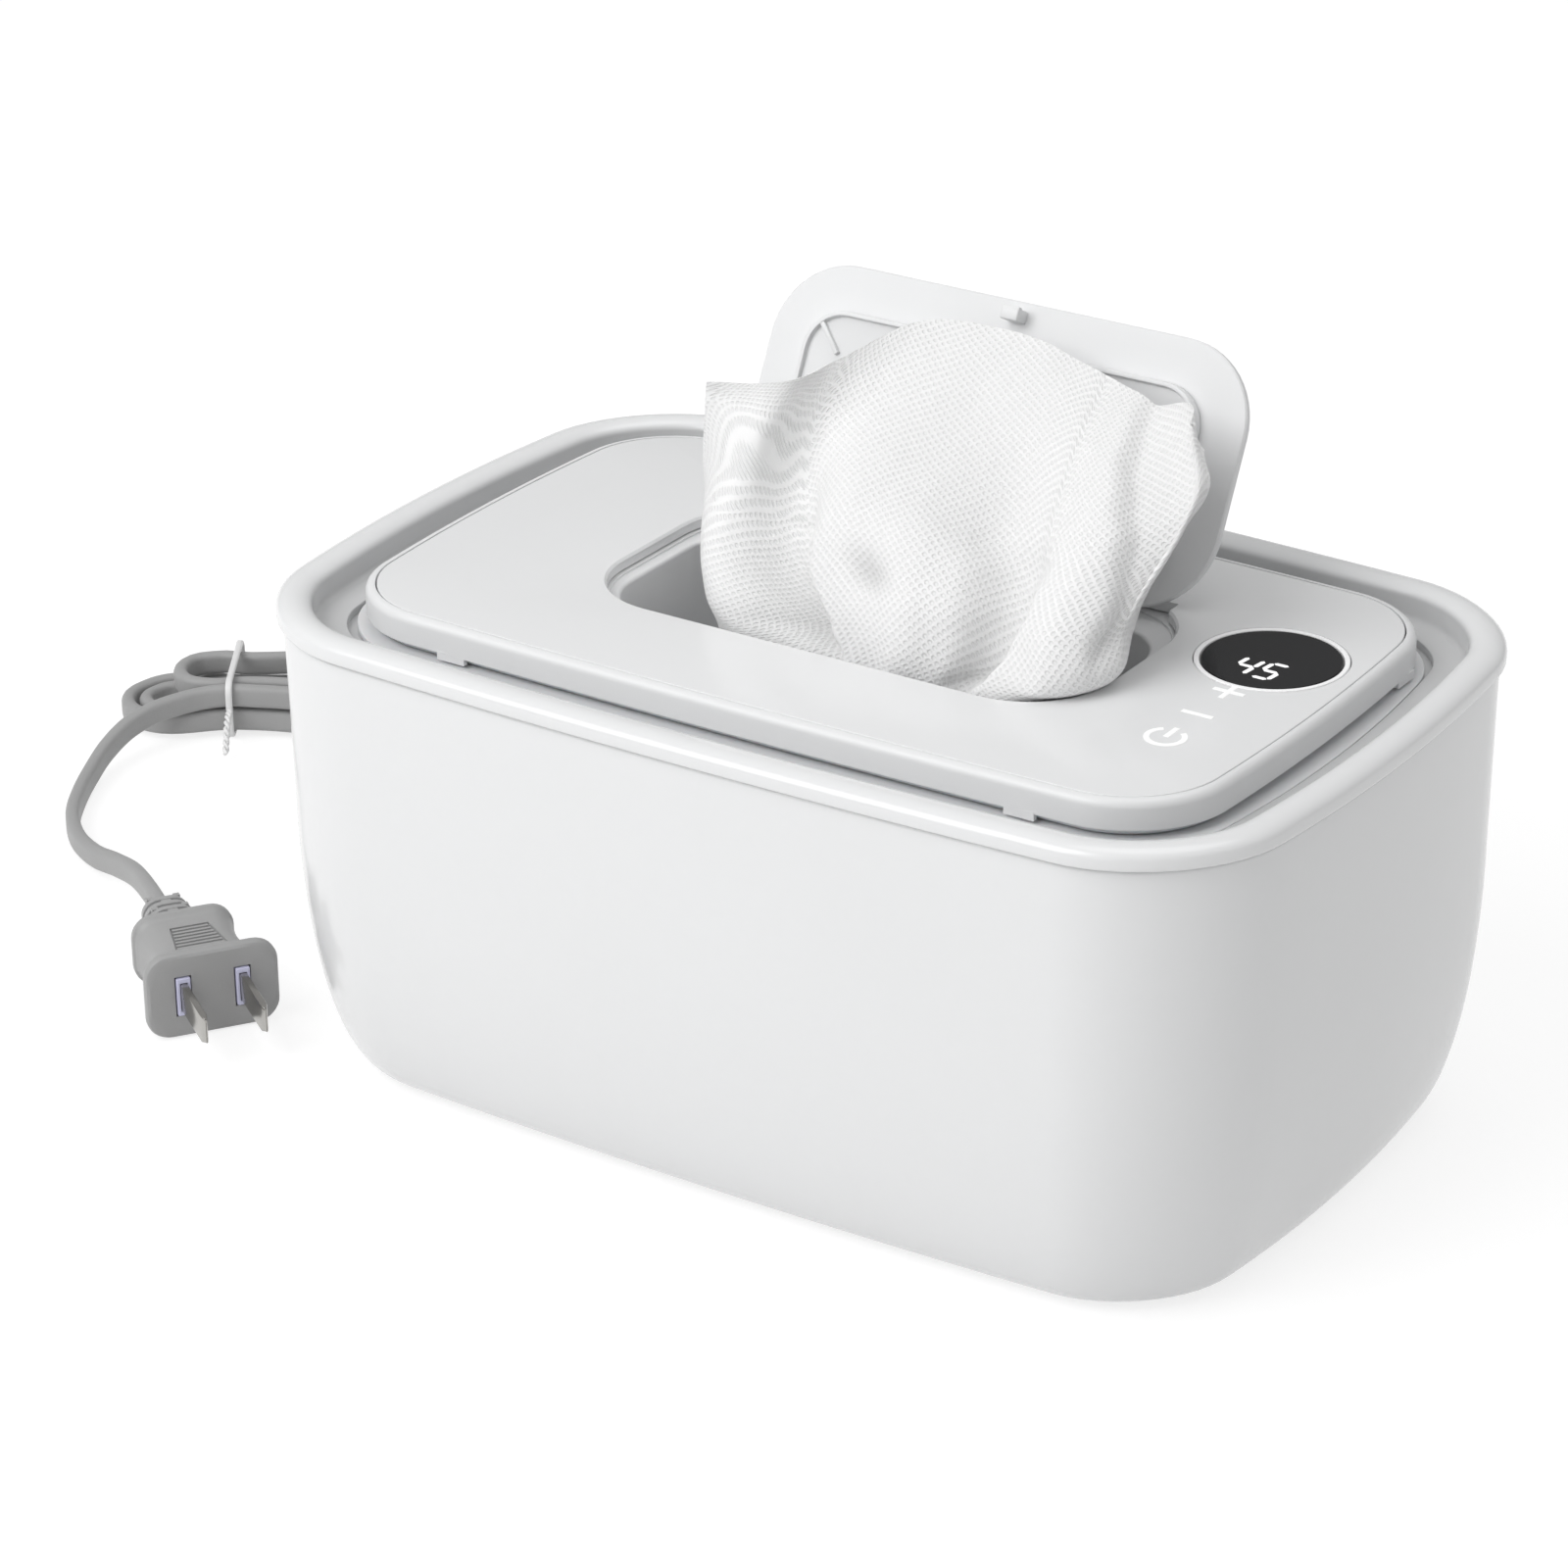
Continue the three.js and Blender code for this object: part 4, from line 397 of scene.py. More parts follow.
# Cord
cord = {
    "width": 5.4, "thickness": 3.2, "clearance": 0.15, "edge": 1.35, "spacing": 1.2,
    "tail": [
        (-59.8, 94.4, 18), (-60, 103.4, 17.4), (-62.6, 112.6, 14.6), (-69, 119.2, 10.4), (-79, 123, 6.2),
        (-91, 122.6, 3.6), (-104, 117.4, 2.9), (-119.5, 108.6, 2.85), (-135, 98.9, 2.85), (-148, 91.4, 2.85),
    ],
    "lead": [
        (-216.6, 56.1, 10.45), (-221.4, 52.3, 10), (-224.6, 47.6, 9.6), (-227.4, 41, 9),
        (-228.9, 33.6, 7.6), (-228.4, 25.2, 5.4), (-225.8, 16.8, 3.7), (-221.4, 7.4, 2.9), (-215, -2.4, 2.85),
        (-206.6, -10.4, 2.95), (-196.8, -16, 3.8), (-186.6, -20.6, 6.2), (-176.6, -26, 8.6),
        (-167.4, -32.2, 9.7), (-158.9, -38.1, 9.7),
    ],
}
hank = {
    "reversal": 1.675, "endTurn": 3.32, "stepsPerTurn": 96, "nearRadius": 9, "farRadius": 6.8, "pitch": 4.84,
    "reach": 104, "waistAt": 77, "waistHalf": 3.25, "waistFlat": 6.3, "waistSlope": 44, "layer": 6.3,
    "climbAt": 1.685, "climbTurns": 0.2, "upperShort": 10.5, "upperFan": 0.85, "tieLift": 1.3,
    "runShare": 0.38, "smoothTurns": 0.03, "smoothSteps": 4,
    "hiddenEnd": (-157.5, 106.4), "heading": (-0.843, -0.537),
}


def smooth(share):
    t = min(max(share, 0), 1)
    return t * t * (3 - 2 * t)


def ease(share):
    return (1 - math.cos(math.pi * min(max(share, 0), 1))) / 2


def hankPlace(along, sideways, z):
    headX, headY = hank["heading"]
    x, y = hank["hiddenEnd"]
    return Vector((x + headX * along + headY * sideways, y + headY * along - headX * sideways, z))


def hankSample(turn):  # runs and folds that spiral in below, climb, and spiral out on top
    h = hank
    foldTurns = 0.5 - h["runShare"]
    outerSpiral = h["pitch"] * (h["reversal"] - h["runShare"] - foldTurns / 2)
    spiral = h["pitch"] * abs(h["reversal"] - turn)
    climb = smooth((turn - h["climbAt"]) / h["climbTurns"] + 0.5)
    nearFold = h["nearRadius"] + outerSpiral
    farFold = h["reach"] - h["farRadius"] - outerSpiral - h["upperShort"] * climb
    phase = turn % 1
    half = phase % 0.5
    back = phase >= 0.5
    start, end = (farFold, nearFold) if back else (nearFold, farFold)
    side = 1 if back else -1
    along = start + (end - start) * half / h["runShare"]
    endRadius = h["farRadius"] if along > h["waistAt"] else h["nearRadius"]
    off = abs(along - h["waistAt"]) - h["waistFlat"] / 2
    farSlope = farFold - h["waistAt"] - h["waistFlat"] / 2
    opened = ease(off / (farSlope if along > h["waistAt"] else h["waistSlope"]))
    if half < h["runShare"]:
        sideways = side * (spiral + h["waistHalf"] + (endRadius - h["waistHalf"]) * opened)
    else:
        angle = math.pi * (half - h["runShare"]) / foldTurns
        endRadius = h["nearRadius"] if back else h["farRadius"]
        opened = 1
        along = end - side * (endRadius + spiral) * math.sin(angle)
        sideways = side * (endRadius + spiral) * math.cos(angle)
    if endRadius == h["farRadius"]:
        sideways += h["upperFan"] * climb * opened
    lift = h["tieLift"] * (1 - ease(off / h["waistSlope"]))
    return hankPlace(along, sideways, cord["width"] / 2 + cord["clearance"] + h["layer"] * climb + lift)


def hankPoint(turn):  # corners rounded by averaging, which fades out towards the two ends
    steps = hank["smoothSteps"]
    reach = min(hank["smoothTurns"], turn, hank["endTurn"] - turn)
    samples = [hankSample(turn + reach * step / steps) for step in range(-steps, steps + 1)]
    return sum(samples, Vector()) / len(samples)


def stadium(halfThick, halfTall, edge, steps=4):
    points = []
    for corner, (signX, signY) in enumerate(cornerSigns):
        for step in range(steps + 1):
            angle = math.radians(90 * corner + 90 * step / steps)
            points.append((
                signX * (halfThick - edge) + edge * math.cos(angle),
                signY * (halfTall - edge) + edge * math.sin(angle),
            ))
    return points


def makeCord():
    count = round(hank["endTurn"] * hank["stepsPerTurn"])
    turns = [hankPoint(hank["endTurn"] * i / count) for i in range(count + 1)]
    tail = [Vector(p) for p in cord["tail"]]
    lead = [Vector(p) for p in cord["lead"]]
    # three points of the hank, four steps apart, lead the tail and the lead smoothly into it
    tailShare = len(tail) / (len(tail) + 2)
    start = splinePoints(tail + turns[0:9:4], [share * tailShare for share in shares(240)])
    leadShares = [(2 + share * len(lead)) / (len(lead) + 2) for share in shares(300)]
    end = splinePoints(turns[-9::4] + lead, leadShares)
    path, length = evenPath(start + turns[1:-1] + end, cord["spacing"])
    made = sweep("power_cord", path, stadium(cord["thickness"] / 2, cord["width"] / 2, cord["edge"]))
    return made, path, length


powerCord, cordPath, cordLength = makeCord()
print("cord laid:", round(cordLength), "mm")


# Tub
shell = {
    "floorLip": 8, "rebate": 3, "rebateDepth": 1.2, "step": 1, "top": 98.5, "edge": 0.4, "curveSteps": 28,
    "cordHole": {"x": -59.8, "z": 18.0, "radius": 5.4, "from": 40, "to": 90},
}
floorInset = shell["step"] + tub["draft"] + tub["curveInset"]


def floorRow(inset, z, fillet=0.0):
    return (bodyPlan, floorInset + inset, z, fillet, tub["curveInset"] + inset)


def wallRows(offset):
    rows = []
    for step in range(shell["curveSteps"] + 1):
        angle = math.pi / 2 * (1 - step / shell["curveSteps"])
        turnIn = tub["curveInset"] * (1 - math.cos(angle))
        inset = shell["step"] + tub["draft"] + turnIn + offset
        height = offset + (tub["curveHeight"] - offset) * (1 - math.sin(angle))
        rows.append((bodyPlan, inset, tub["floor"] + height, 0, tub["cornerShrink"] * turnIn + offset))
    return rows


def makeShell():
    top, edge = shell["top"], shell["edge"]
    rebateTop = tub["floor"] + shell["rebateDepth"]
    rebateInset = shell["floorLip"] - shell["rebate"]
    rows = [
        floorRow(shell["floorLip"], rebateTop),
        floorRow(rebateInset, rebateTop),
        floorRow(rebateInset, tub["floor"], edge),
        *wallRows(0),
        (bodyPlan, shell["step"], top, 2 * edge, 0),
        (bodyPlan, shell["step"] + tub["wall"], top, edge, tub["wall"]),
        *reversed(wallRows(tub["wall"])),
        floorRow(shell["floorLip"], tub["floor"] + tub["wall"]),
    ]
    made = skin("tub_shell", roundedRings(rows), True)
    hole = shell["cordHole"]
    cutter = rod((hole["x"], hole["from"], hole["z"]), (hole["x"], hole["to"], hole["z"]), hole["radius"])
    return combine(made, [cutter])


bezel = {
    "bandBottom": 98.8, "rimWidth": 7.3, "rimRise": 2.2, "rimSteps": 18, "moatFloor": 96.8, "seatInset": 14,
    "seat": 95.1, "openingInset": 18.5, "thickness": 2, "skirtOut": 4.1, "skirtIn": 5.6, "skirtBottom": 93.8,
    "bandEdge": 0.6, "moatRound": 1.2, "edge": 0.3, "webBack": 63.5, "seatEdge": 60.6,
    "cableBore": {"place": (25, 62.6), "bottom": 90, "radius": 1.2},
    # where the painted shade on the inner wall and the moat floor starts, how softly it fades in, and how far
    # a face must turn inward to take it
    "paintedShadeBelow": 0.7, "paintedShadeSoft": 1.4, "paintedShadeTurn": 0.1,
}


def makeBezel():
    b = bezel
    half = b["rimWidth"] / 2
    rim = []
    for step in range(b["rimSteps"] + 1):
        angle = math.pi * (1 - step / b["rimSteps"])
        rise = b["rimRise"] * (1 - math.sin(angle))
        rim.append((bodyPlan, half * (1 + math.cos(angle)), tub["rimTop"] - rise))
    edge, under = b["edge"], b["moatFloor"] - b["thickness"]
    rows = [
        (bodyPlan, 0, b["bandBottom"], b["bandEdge"]),
        *rim,
        (bodyPlan, b["rimWidth"] + edge, b["moatFloor"], b["moatRound"]),
        (bodyPlan, b["seatInset"], b["moatFloor"], edge),
        (bodyPlan, b["seatInset"], b["seat"]),
        (bodyPlan, b["openingInset"], b["seat"], edge),
        (bodyPlan, b["openingInset"], b["seat"] - b["thickness"], edge),
        (bodyPlan, b["seatInset"] - b["thickness"], b["seat"] - b["thickness"], edge),
        (bodyPlan, b["seatInset"] - b["thickness"], under),
        (bodyPlan, b["skirtIn"], under),
        (bodyPlan, b["skirtIn"], b["skirtBottom"], edge, b["skirtIn"] - shell["step"]),
        (bodyPlan, b["skirtOut"], b["skirtBottom"], edge, b["skirtOut"] - shell["step"]),
        (bodyPlan, b["skirtOut"], b["bandBottom"], 0, b["skirtOut"] - shell["step"]),
    ]
    made = skin("tub_bezel", roundedRings(rows), True)
    y, z = lidHinge["y"], lidHinge["z"]
    ears, bores = [], []
    for x0, x1 in lidEars:
        ears.append(box(x0, x1, b["seatEdge"], b["webBack"], b["moatFloor"] - edge, z))
        ears.append(rodX(x0, x1, y, z, lidHinge["radius"]))
        bores.append(rodX(x0 - play, x1 + play, y, z, lidHinge["pin"] + play))
    combine(made, ears, "UNION")
    bore = b["cableBore"]
    bores += rods([bore["place"]], bore["bottom"], b["moatFloor"] + 1, bore["radius"])
    combine(made, bores)
    # the inner wall and the floor behind the rim get painted shade, a greyer tone for the shade in the moat,
    # as in the photo
    paintedShade = []
    for vertex in made.data.vertices:
        place = vertex.co / mm
        inward = vertex.normal.dot(Vector((place.x, place.y, 0)).normalized()) < b["paintedShadeTurn"]
        low = place.z < b["moatFloor"] + b["paintedShadeSoft"]
        share = smooth((tub["rimTop"] - b["paintedShadeBelow"] - place.z) / b["paintedShadeSoft"])
        paintedShade.append(share if inward or low else 0.0)
    made.data.attributes.new("paintedShade", "FLOAT", "POINT").data.foreach_set("value", paintedShade)
    return made


tank = {
    "wallInset": 19.3, "wall": 1.5, "draft": 1.5, "underside": 30.0, "floor": 31.5, "bottomRound": 8,
    "flangeInset": 14.3, "flangeBottom": 95.4, "flangeTop": 96.6, "edge": 0.3, "mouthEdge": 0.8,
    "sharper": -5.3, "roundSteps": 10,
    "post": (4.8, 30.75, 4), "bore": (0, 15.1, 1.7),  # low end, high end and radius
}
postPlaces = fourPlaces(83.8, 43.1)
footPlaces = fourPlaces(72.8, 44.58)

def makeTank():
    t = tank

    def row(inset, z, fillet=0.0):
        return (bodyPlan, inset, z, fillet, inset + t["sharper"])

    def shift(z):
        return t["draft"] * (t["flangeBottom"] - z) / (t["flangeBottom"] - t["underside"])

    outside, inside = [], []
    innerRound = t["bottomRound"] - t["wall"]
    for step in range(t["roundSteps"] + 1):
        angle = math.pi / 2 * step / t["roundSteps"]
        turnIn = 1 - math.sin(angle)
        outerZ = t["underside"] + t["bottomRound"] * (1 - math.cos(angle))
        innerZ = t["floor"] + innerRound * (1 - math.cos(angle))
        outside.append(row(t["wallInset"] + shift(outerZ) + t["bottomRound"] * turnIn, outerZ))
        inside.append(row(t["wallInset"] + shift(innerZ) + t["wall"] + innerRound * turnIn, innerZ))
    rows = [
        *outside,
        row(t["wallInset"], t["flangeBottom"]),
        row(t["flangeInset"], t["flangeBottom"], t["edge"]),
        row(t["flangeInset"], t["flangeTop"], t["edge"]),
        row(t["wallInset"] + t["wall"], t["flangeTop"], t["mouthEdge"]),
        *reversed(inside),
    ]
    made = skin("wipe_tank", roundedRings(rows, False))
    combine(made, rods(postPlaces, *t["post"]), "UNION")
    return combine(made, rods(postPlaces, *t["bore"]))


base = {
    "inset": 5.3, "edge": 0.3, "ledgeInset": 8.3, "ledge": 2.4, "top": 4.5,
    # the low end, the high end and the radius of each
    "footPocket": (-3, 2.5, 7.3), "counterbore": (-3, 3.25, 3.3), "screwHole": (0, 8, 1.7),
    "standoff": (3, 8.7, 3), "standoffBore": (4.5, 12, 1.2),
}
boardX, boardY = -0.12 * tub["length"], 0.12 * tub["width"]
standoffPlaces = [(boardX - 29, boardY - 19), (boardX + 29, boardY + 19)]  # two corners of the power board


def makeBasePlate():
    b = base
    rows = [
        floorRow(b["inset"] + b["edge"], tub["floor"]),
        floorRow(b["inset"], tub["floor"] + b["edge"]),
        floorRow(b["inset"], b["ledge"]),
        floorRow(b["ledgeInset"], b["ledge"]),
        floorRow(b["ledgeInset"], b["top"]),
    ]
    made = skin("base_cover", roundedRings(rows, False))
    combine(made, rods(standoffPlaces, *b["standoff"]), "UNION")
    return combine(made, [
        *rods(footPlaces, *b["footPocket"]), *rods(postPlaces, *b["counterbore"]),
        *rods(postPlaces, *b["screwHole"]), *rods(standoffPlaces, *b["standoffBore"]),
    ])


footProfile = [
    (4.6, 0.35), (4.9, 0.05), (5.2, 0), (6.2, 0), (6.7, 0.15), (6.95, 0.5), (7, 0.9), (7, 2.2),
]
screw = {
    "crown": 0.62, "shoulder": 0.86, "shoulderAt": 0.14,
    "neck": 0.15, "thread": 0.6, "root": 0.84, "tip": 0.15,
    "slotLong": 0.55, "slotWide": 0.13, "slotDeep": 0.55,
}
coverScrew = {"headRadius": 3, "head": 1.3, "shank": 1.4, "length": 13}
boardScrew = {"headRadius": 2, "head": 1.1, "shank": 0.9, "length": 4}


def makeFoot(index, x, y):
    return turnedPiece(f"tub_foot_{index + 1}", (x, y, 0), (0, 0, 1), footProfile, 48)


def makeScrew(name, x, y, z, turn, headRadius, head, shank, length):
    # the head's outer face is at z, and the shank runs along turn
    s = screw
    profile = [
        (headRadius * s["crown"], 0), (headRadius * s["shoulder"], head * s["shoulderAt"]),
        (headRadius, head * 0.5), (headRadius, head), (shank, head),
    ]
    for i in range(int((length - head - shank) / s["thread"])):
        at = head + s["neck"] + i * s["thread"]
        profile += [(shank, at), (shank * s["root"], at + s["thread"] / 2)]
    profile += [(shank, length - shank), (s["tip"], length)]
    made = turnedPiece(name, (x, y, z), (0, 0, turn), profile, 28, 40)
    arm, slot = headRadius * s["slotLong"], headRadius * s["slotWide"]
    low, high = sorted((z - turn * 0.5, z + turn * (head * s["slotDeep"])))
    return combine(made, [
        box(x - arm, x + arm, y - slot, y + slot, low, high),
        box(x - slot, x + slot, y - arm, y + arm, low, high),
    ])


tubShell = makeShell()
tubBezel = makeBezel()
wipeTank = makeTank()
baseCover = makeBasePlate()
feet = [makeFoot(i, x, y) for i, (x, y) in enumerate(footPlaces)]
baseScrews = [
    makeScrew(f"cover_screw_{i + 1}", x, y, 1.65, 1, **coverScrew) for i, (x, y) in enumerate(postPlaces)
]
print("tub built")


# Lid
frameSizes = {
    "round": 1.8, "foot": 0.4, "seamEdge": 0.15, "floorEdge": 0.6, "plugEdge": 0.8,
    "shelfInset": 5, "step": 100.0, "wallInset": 9.5, "plugInset": 7.5,
    "grooveIn": 3.9, "grooveOut": 1.1, "grooveTop": 99.4, "holeInset": -2.1,
    "tab": {"length": 6.5, "depth": 1.2, "width": 1.1, "top": 98.9, "xShare": 0.66, "yShare": 0.62},
    "webFront": 55.9, "cableBore": {"x": 25, "radius": 1.2, "short": 1.1},
    "bosses": [(64.6, -31), (64.6, 25)], "boss": (91.3, 95.7, 2), "bossBore": (92.5, 96, 1.2),
}


def tabPlaces():
    tab = frameSizes["tab"]
    alongX, alongY = tab["xShare"] * lid["length"] / 2, tab["yShare"] * lid["width"] / 2
    edgeY = lid["width"] / 2 * (1 - lid["sideBow"] * tab["xShare"] ** 2) - tab["width"] / 2
    edgeX = lid["length"] / 2 * (1 - lid["endBow"] * tab["yShare"] ** 2) - tab["width"] / 2
    return fourPlaces(alongX, edgeY) + [(edgeX, alongY), (-edgeX, alongY)]


def makeLidFrame():
    f = frameSizes
    rows = [
        (lidPlan, 0, lid["skirtBottom"], f["foot"]),
        *quarterRound(lidPlan, lid["top"], f["round"]),
        (lidPlan, lid["seam"], lid["top"], f["seamEdge"]),
        (lidPlan, lid["seam"], lid["shelf"]),
        (lidPlan, f["shelfInset"], lid["shelf"]),
        (lidPlan, f["shelfInset"], f["step"]),
        (lidPlan, f["wallInset"], f["step"]),
        (lidPlan, f["wallInset"], lid["floor"], f["floorEdge"]),
        (corePlan, f["holeInset"], lid["floor"]),
        (corePlan, f["holeInset"], lid["underside"]),
        (lidPlan, f["plugInset"], lid["underside"], f["plugEdge"]),
        (lidPlan, f["plugInset"], lid["skirtBottom"]),
        (lidPlan, f["grooveIn"], lid["skirtBottom"]),
        (lidPlan, f["grooveIn"], f["grooveTop"]),
        (lidPlan, f["grooveOut"], f["grooveTop"]),
        (lidPlan, f["grooveOut"], lid["skirtBottom"]),
    ]
    made = skin("lid_shell", roundedRings(rows), True)
    y, z, radius = lidHinge["y"], lidHinge["z"], lidHinge["radius"]
    combine(made, [rodX(x0 - 2 * play, x1 + 2 * play, y, z, radius + play) for x0, x1 in lidEars])
    added, bores = [], []
    tab = f["tab"]
    for tabX, tabY in tabPlaces():
        long = abs(tabY) > abs(tabX) / 2
        halfX = (tab["length"] if long else tab["width"]) / 2
        halfY = (tab["width"] if long else tab["length"]) / 2
        bottom = lid["skirtBottom"] - tab["depth"]
        added.append(box(tabX - halfX, tabX + halfX, tabY - halfY, tabY + halfY, bottom, tab["top"]))
    for x0, x1 in lidKnuckles:
        added.append(box(x0, x1, f["webFront"], y, z - radius, z + radius))
        added.append(rodX(x0, x1, y, z, radius))
        bores.append(rodX(x0 - play, x1 + play, y, z, lidHinge["pin"] + play))
    added += rods(f["bosses"], *f["boss"])
    bores += rods(f["bosses"], *f["bossBore"])
    combine(made, added, "UNION")
    cable = f["cableBore"]
    bores.append(rod((cable["x"], 0, z), (cable["x"], y - cable["short"], z), cable["radius"]))
    return combine(made, bores)


plate = {
    "inset": 2.3, "bottom": 102.2, "chamfer": 0.5, "edge": 0.25, "chamferEdge": 0.15,
    "hingeSpan": 49, "hingeFront": 1.15, "hingeBack": 30.3,
}
display = {
    "x": 77.25, "y": 16.7, "radius": 14, "ring": 1, "hole": 15.3, "rise": 0.1,
    "bottom": 102.2, "window": 103.0, "sides": 96, "edge": 0.12, "lip": 0.15, "gap": 0.3,
}


def makeTopPlate():
    p, edge = plate, plate["chamferEdge"]
    rows = [
        (lidPlan, p["inset"], p["bottom"]),
        (lidPlan, p["inset"], lid["top"], p["edge"]),
        (recessPlan, -p["chamfer"], lid["top"], edge),
        (recessPlan, 0, lid["top"] - p["chamfer"], edge),
        (recessPlan, 0, p["bottom"]),
    ]
    made = skin("lid_plate", roundedRings(rows), True)
    x, y, span = display["x"], display["y"], p["hingeSpan"]
    hole = rod((x, y, 99), (x, y, 107), display["hole"], display["sides"])
    opening = box(-span, span, p["hingeFront"], p["hingeBack"], p["bottom"] - 1, lid["top"] + 1)
    return combine(made, [hole, opening])


insert = {
    "flange": -3, "flangeBottom": 99.9, "lip": 0.8, "lipEdge": 0.2, "ledge": 101.4, "ledgeEdge": 0.9,
    "bottom": 80, "bottomEdge": 0.5, "wall": -1.8,
    "barrelX": 30.5, "barrel": 6.4, "lug": 3, "radius": 1.9, "pin": 0.8,
    "tab": (-6.3, 6.3, -24.5, -21.5, 99.8, 101.0), "tabEdge": 0.3,
    "slot": (-2.6, 2.6, -26.1, -22.3, 96.9, 106),
}
flipBarrels, flipLugs = knuckleSpans(insert["barrelX"], insert["barrel"], insert["lug"])


def makeInsert():
    n = insert
    rows = [
        (recessPlan, n["flange"], n["flangeBottom"]),
        (recessPlan, n["flange"], lid["shelf"]),
        (recessPlan, n["lip"], lid["shelf"], n["lipEdge"]),
        (recessPlan, n["lip"], n["ledge"], n["lipEdge"]),
        (corePlan, 0, n["ledge"], n["ledgeEdge"]),
        (corePlan, 0, n["bottom"], n["bottomEdge"]),
        (corePlan, n["wall"], n["bottom"], n["bottomEdge"]),
        (corePlan, n["wall"], n["flangeBottom"]),
    ]
    made = skin("dispensing_well", roundedRings(rows), True)
    _, y, z = flip["hinge"]
    reach = flipLugs[-1][1] + play
    combine(made, [rodX(-reach, reach, y, z, n["radius"] + play)])
    added, bores = [], []
    for x0, x1 in flipLugs:
        added.append(box(x0, x1, y - n["radius"], y + n["radius"], n["flangeBottom"], z))
        added.append(rodX(x0, x1, y, z, n["radius"]))
        bores.append(rodX(x0 - play, x1 + play, y, z, n["pin"] + play))
    combine(made, [*added, softBox("tab", *n["tab"], n["tabEdge"])], "UNION")
    return combine(made, [*bores, box(*n["slot"])])


lidShell = makeLidFrame()
lidPlate = makeTopPlate()
dispensingWell = makeInsert()
print("lid built")


# Flip lid, drawn closed about its hinge axis and then turned open
liner = {
    "inset": 9.5, "back": 8, "height": 2.4, "gap": 0.3, "bead": 1.0, "beadHeight": 1.1,
    "corner": 9, "cornerCut": 0.293, "floorInset": 12, "floorEdge": 0.25, "beadEdge": 0.2, "outerEdge": 0.35,
    "draft": 0.1, "slope": 0.15,
    "rib": {"width": 1.0, "reach": 8, "angle": 48, "away": 0.4, "bottom": 0.15, "top": 0.6, "edge": 0.2},
}
hook = {
    "width": 4, "front": -52.2, "thickness": 2.6, "bottom": -4.8, "edge": 0.35,
    "barb": 0.3, "barbBack": 0.6, "barbHeight": 1.3, "barbEdge": 0.25,
}


def openFlip(made):
    turn = Matrix.Rotation(math.radians(-flip["open"]), 4, "X")
    made.data.transform(Matrix.Translation(Vector(flip["hinge"]) * mm) @ turn)
    return made


def makeFlipLid():
    under = flip["top"] - flip["thickness"]
    rows = [
        (flipPlan, flip["underInset"], under),
        (flipPlan, flip["edge"], under),
        (flipPlan, 0, under + flip["edge"]),
        *quarterRound(flipPlan, flip["top"], flip["round"]),
        (flipPlan, flip["topInset"], flip["top"]),
    ]
    made = skin("flip_cover", roundedRings(rows, False))
    radius = insert["radius"]
    combine(made, [rodX(x0 - 2 * play, x1 + 2 * play, 0, 0, radius + play) for x0, x1 in flipLugs])
    added = [rodX(x0, x1, 0, 0, radius) for x0, x1 in flipBarrels]
    half, front, low = hook["width"] / 2, hook["front"], hook["bottom"]
    back, high = front + hook["thickness"], under + flip["edge"]
    added.append(softBox("hook", -half, half, front, back, low, high, hook["edge"]))
    back, high = front + hook["barbBack"], low + hook["barbHeight"]
    added.append(softBox("barb", -half, half, front - hook["barb"], back, low, high, hook["barbEdge"]))
    combine(made, added, "UNION")
    return openFlip(combine(made, [
        rodX(x0 - play, x1 + play, 0, 0, insert["pin"] + play) for x0, x1 in flipBarrels
    ]))


linerPlan = spanPlan(
    flip["halfX"] - liner["inset"], flip["front"] + liner["inset"], -liner["back"], liner["corner"],
)


def makeLiner():
    rib = liner["rib"]
    top = flip["top"] - flip["thickness"] - liner["gap"]
    bottom = top - liner["height"]
    floor = bottom + liner["beadHeight"]
    rows = [
        (linerPlan, liner["floorInset"], floor),
        (linerPlan, liner["bead"] + liner["slope"], floor, liner["floorEdge"]),
        (linerPlan, liner["bead"], bottom, liner["beadEdge"]),
        (linerPlan, liner["draft"], bottom, liner["outerEdge"]),
        (linerPlan, 0, top),
    ]
    made = skin("flip_panel", roundedRings(rows, False))
    ribs = []
    half = rib["width"] / 2
    cut = liner["corner"] * liner["cornerCut"]  # how far the rounded corner stands inside the square one
    for side in (-1, 1):  # a short brace from each front corner towards the middle
        low, high = bottom + rib["bottom"], top - rib["top"]
        brace = softBox("rib", 0, rib["reach"], -half, half, low, high, rib["edge"])
        angle = math.radians(rib["angle"] if side < 0 else 180 - rib["angle"])
        x = side * (flip["halfX"] - liner["inset"] - cut - rib["away"])
        y = flip["front"] + liner["inset"] + cut + rib["away"]
        turn = Matrix.Rotation(angle, 4, "Z")
        brace.data.transform(Matrix.Translation(Vector((x, y, 0)) * mm) @ turn)
        ribs.append(brace)
    return openFlip(combine(made, ribs, "UNION"))


flipCover = makeFlipLid()
flipPanel = makeLiner()
print("flip lid built")


# Display, digits and touch marks
digits = {
    "x": 77.1, "y": 11.5, "width": 3.4, "height": 7.3, "pitch": 5.3,
    "slant": 0.12, "stroke": 1.0, "gap": 0.12, "bottom": 104.49, "top": 104.545,
    "segments": {
        "4": ["upperLeft", "middle", "upperRight", "lowerRight"],
        "5": ["top", "upperLeft", "middle", "lowerRight", "bottom"],
    },
    "ends": {  # in half widths and half heights
        "top": ((-1, 1), (1, 1)), "middle": ((-1, 0), (1, 0)), "bottom": ((-1, -1), (1, -1)),
        "upperLeft": ((-1, 0), (-1, 1)), "upperRight": ((1, 0), (1, 1)), "lowerRight": ((1, -1), (1, 0)),
    },
}
marks = {
    "x": 77.6, "plus": -0.9, "minus": -13, "power": -25, "length": 6.6, "stroke": 1.15, "radius": 3.6,
    "bottom": 104.35, "top": 104.56, "ringStart": 125, "ringSweep": 290, "ringSteps": 40, "stem": 1.25,
}


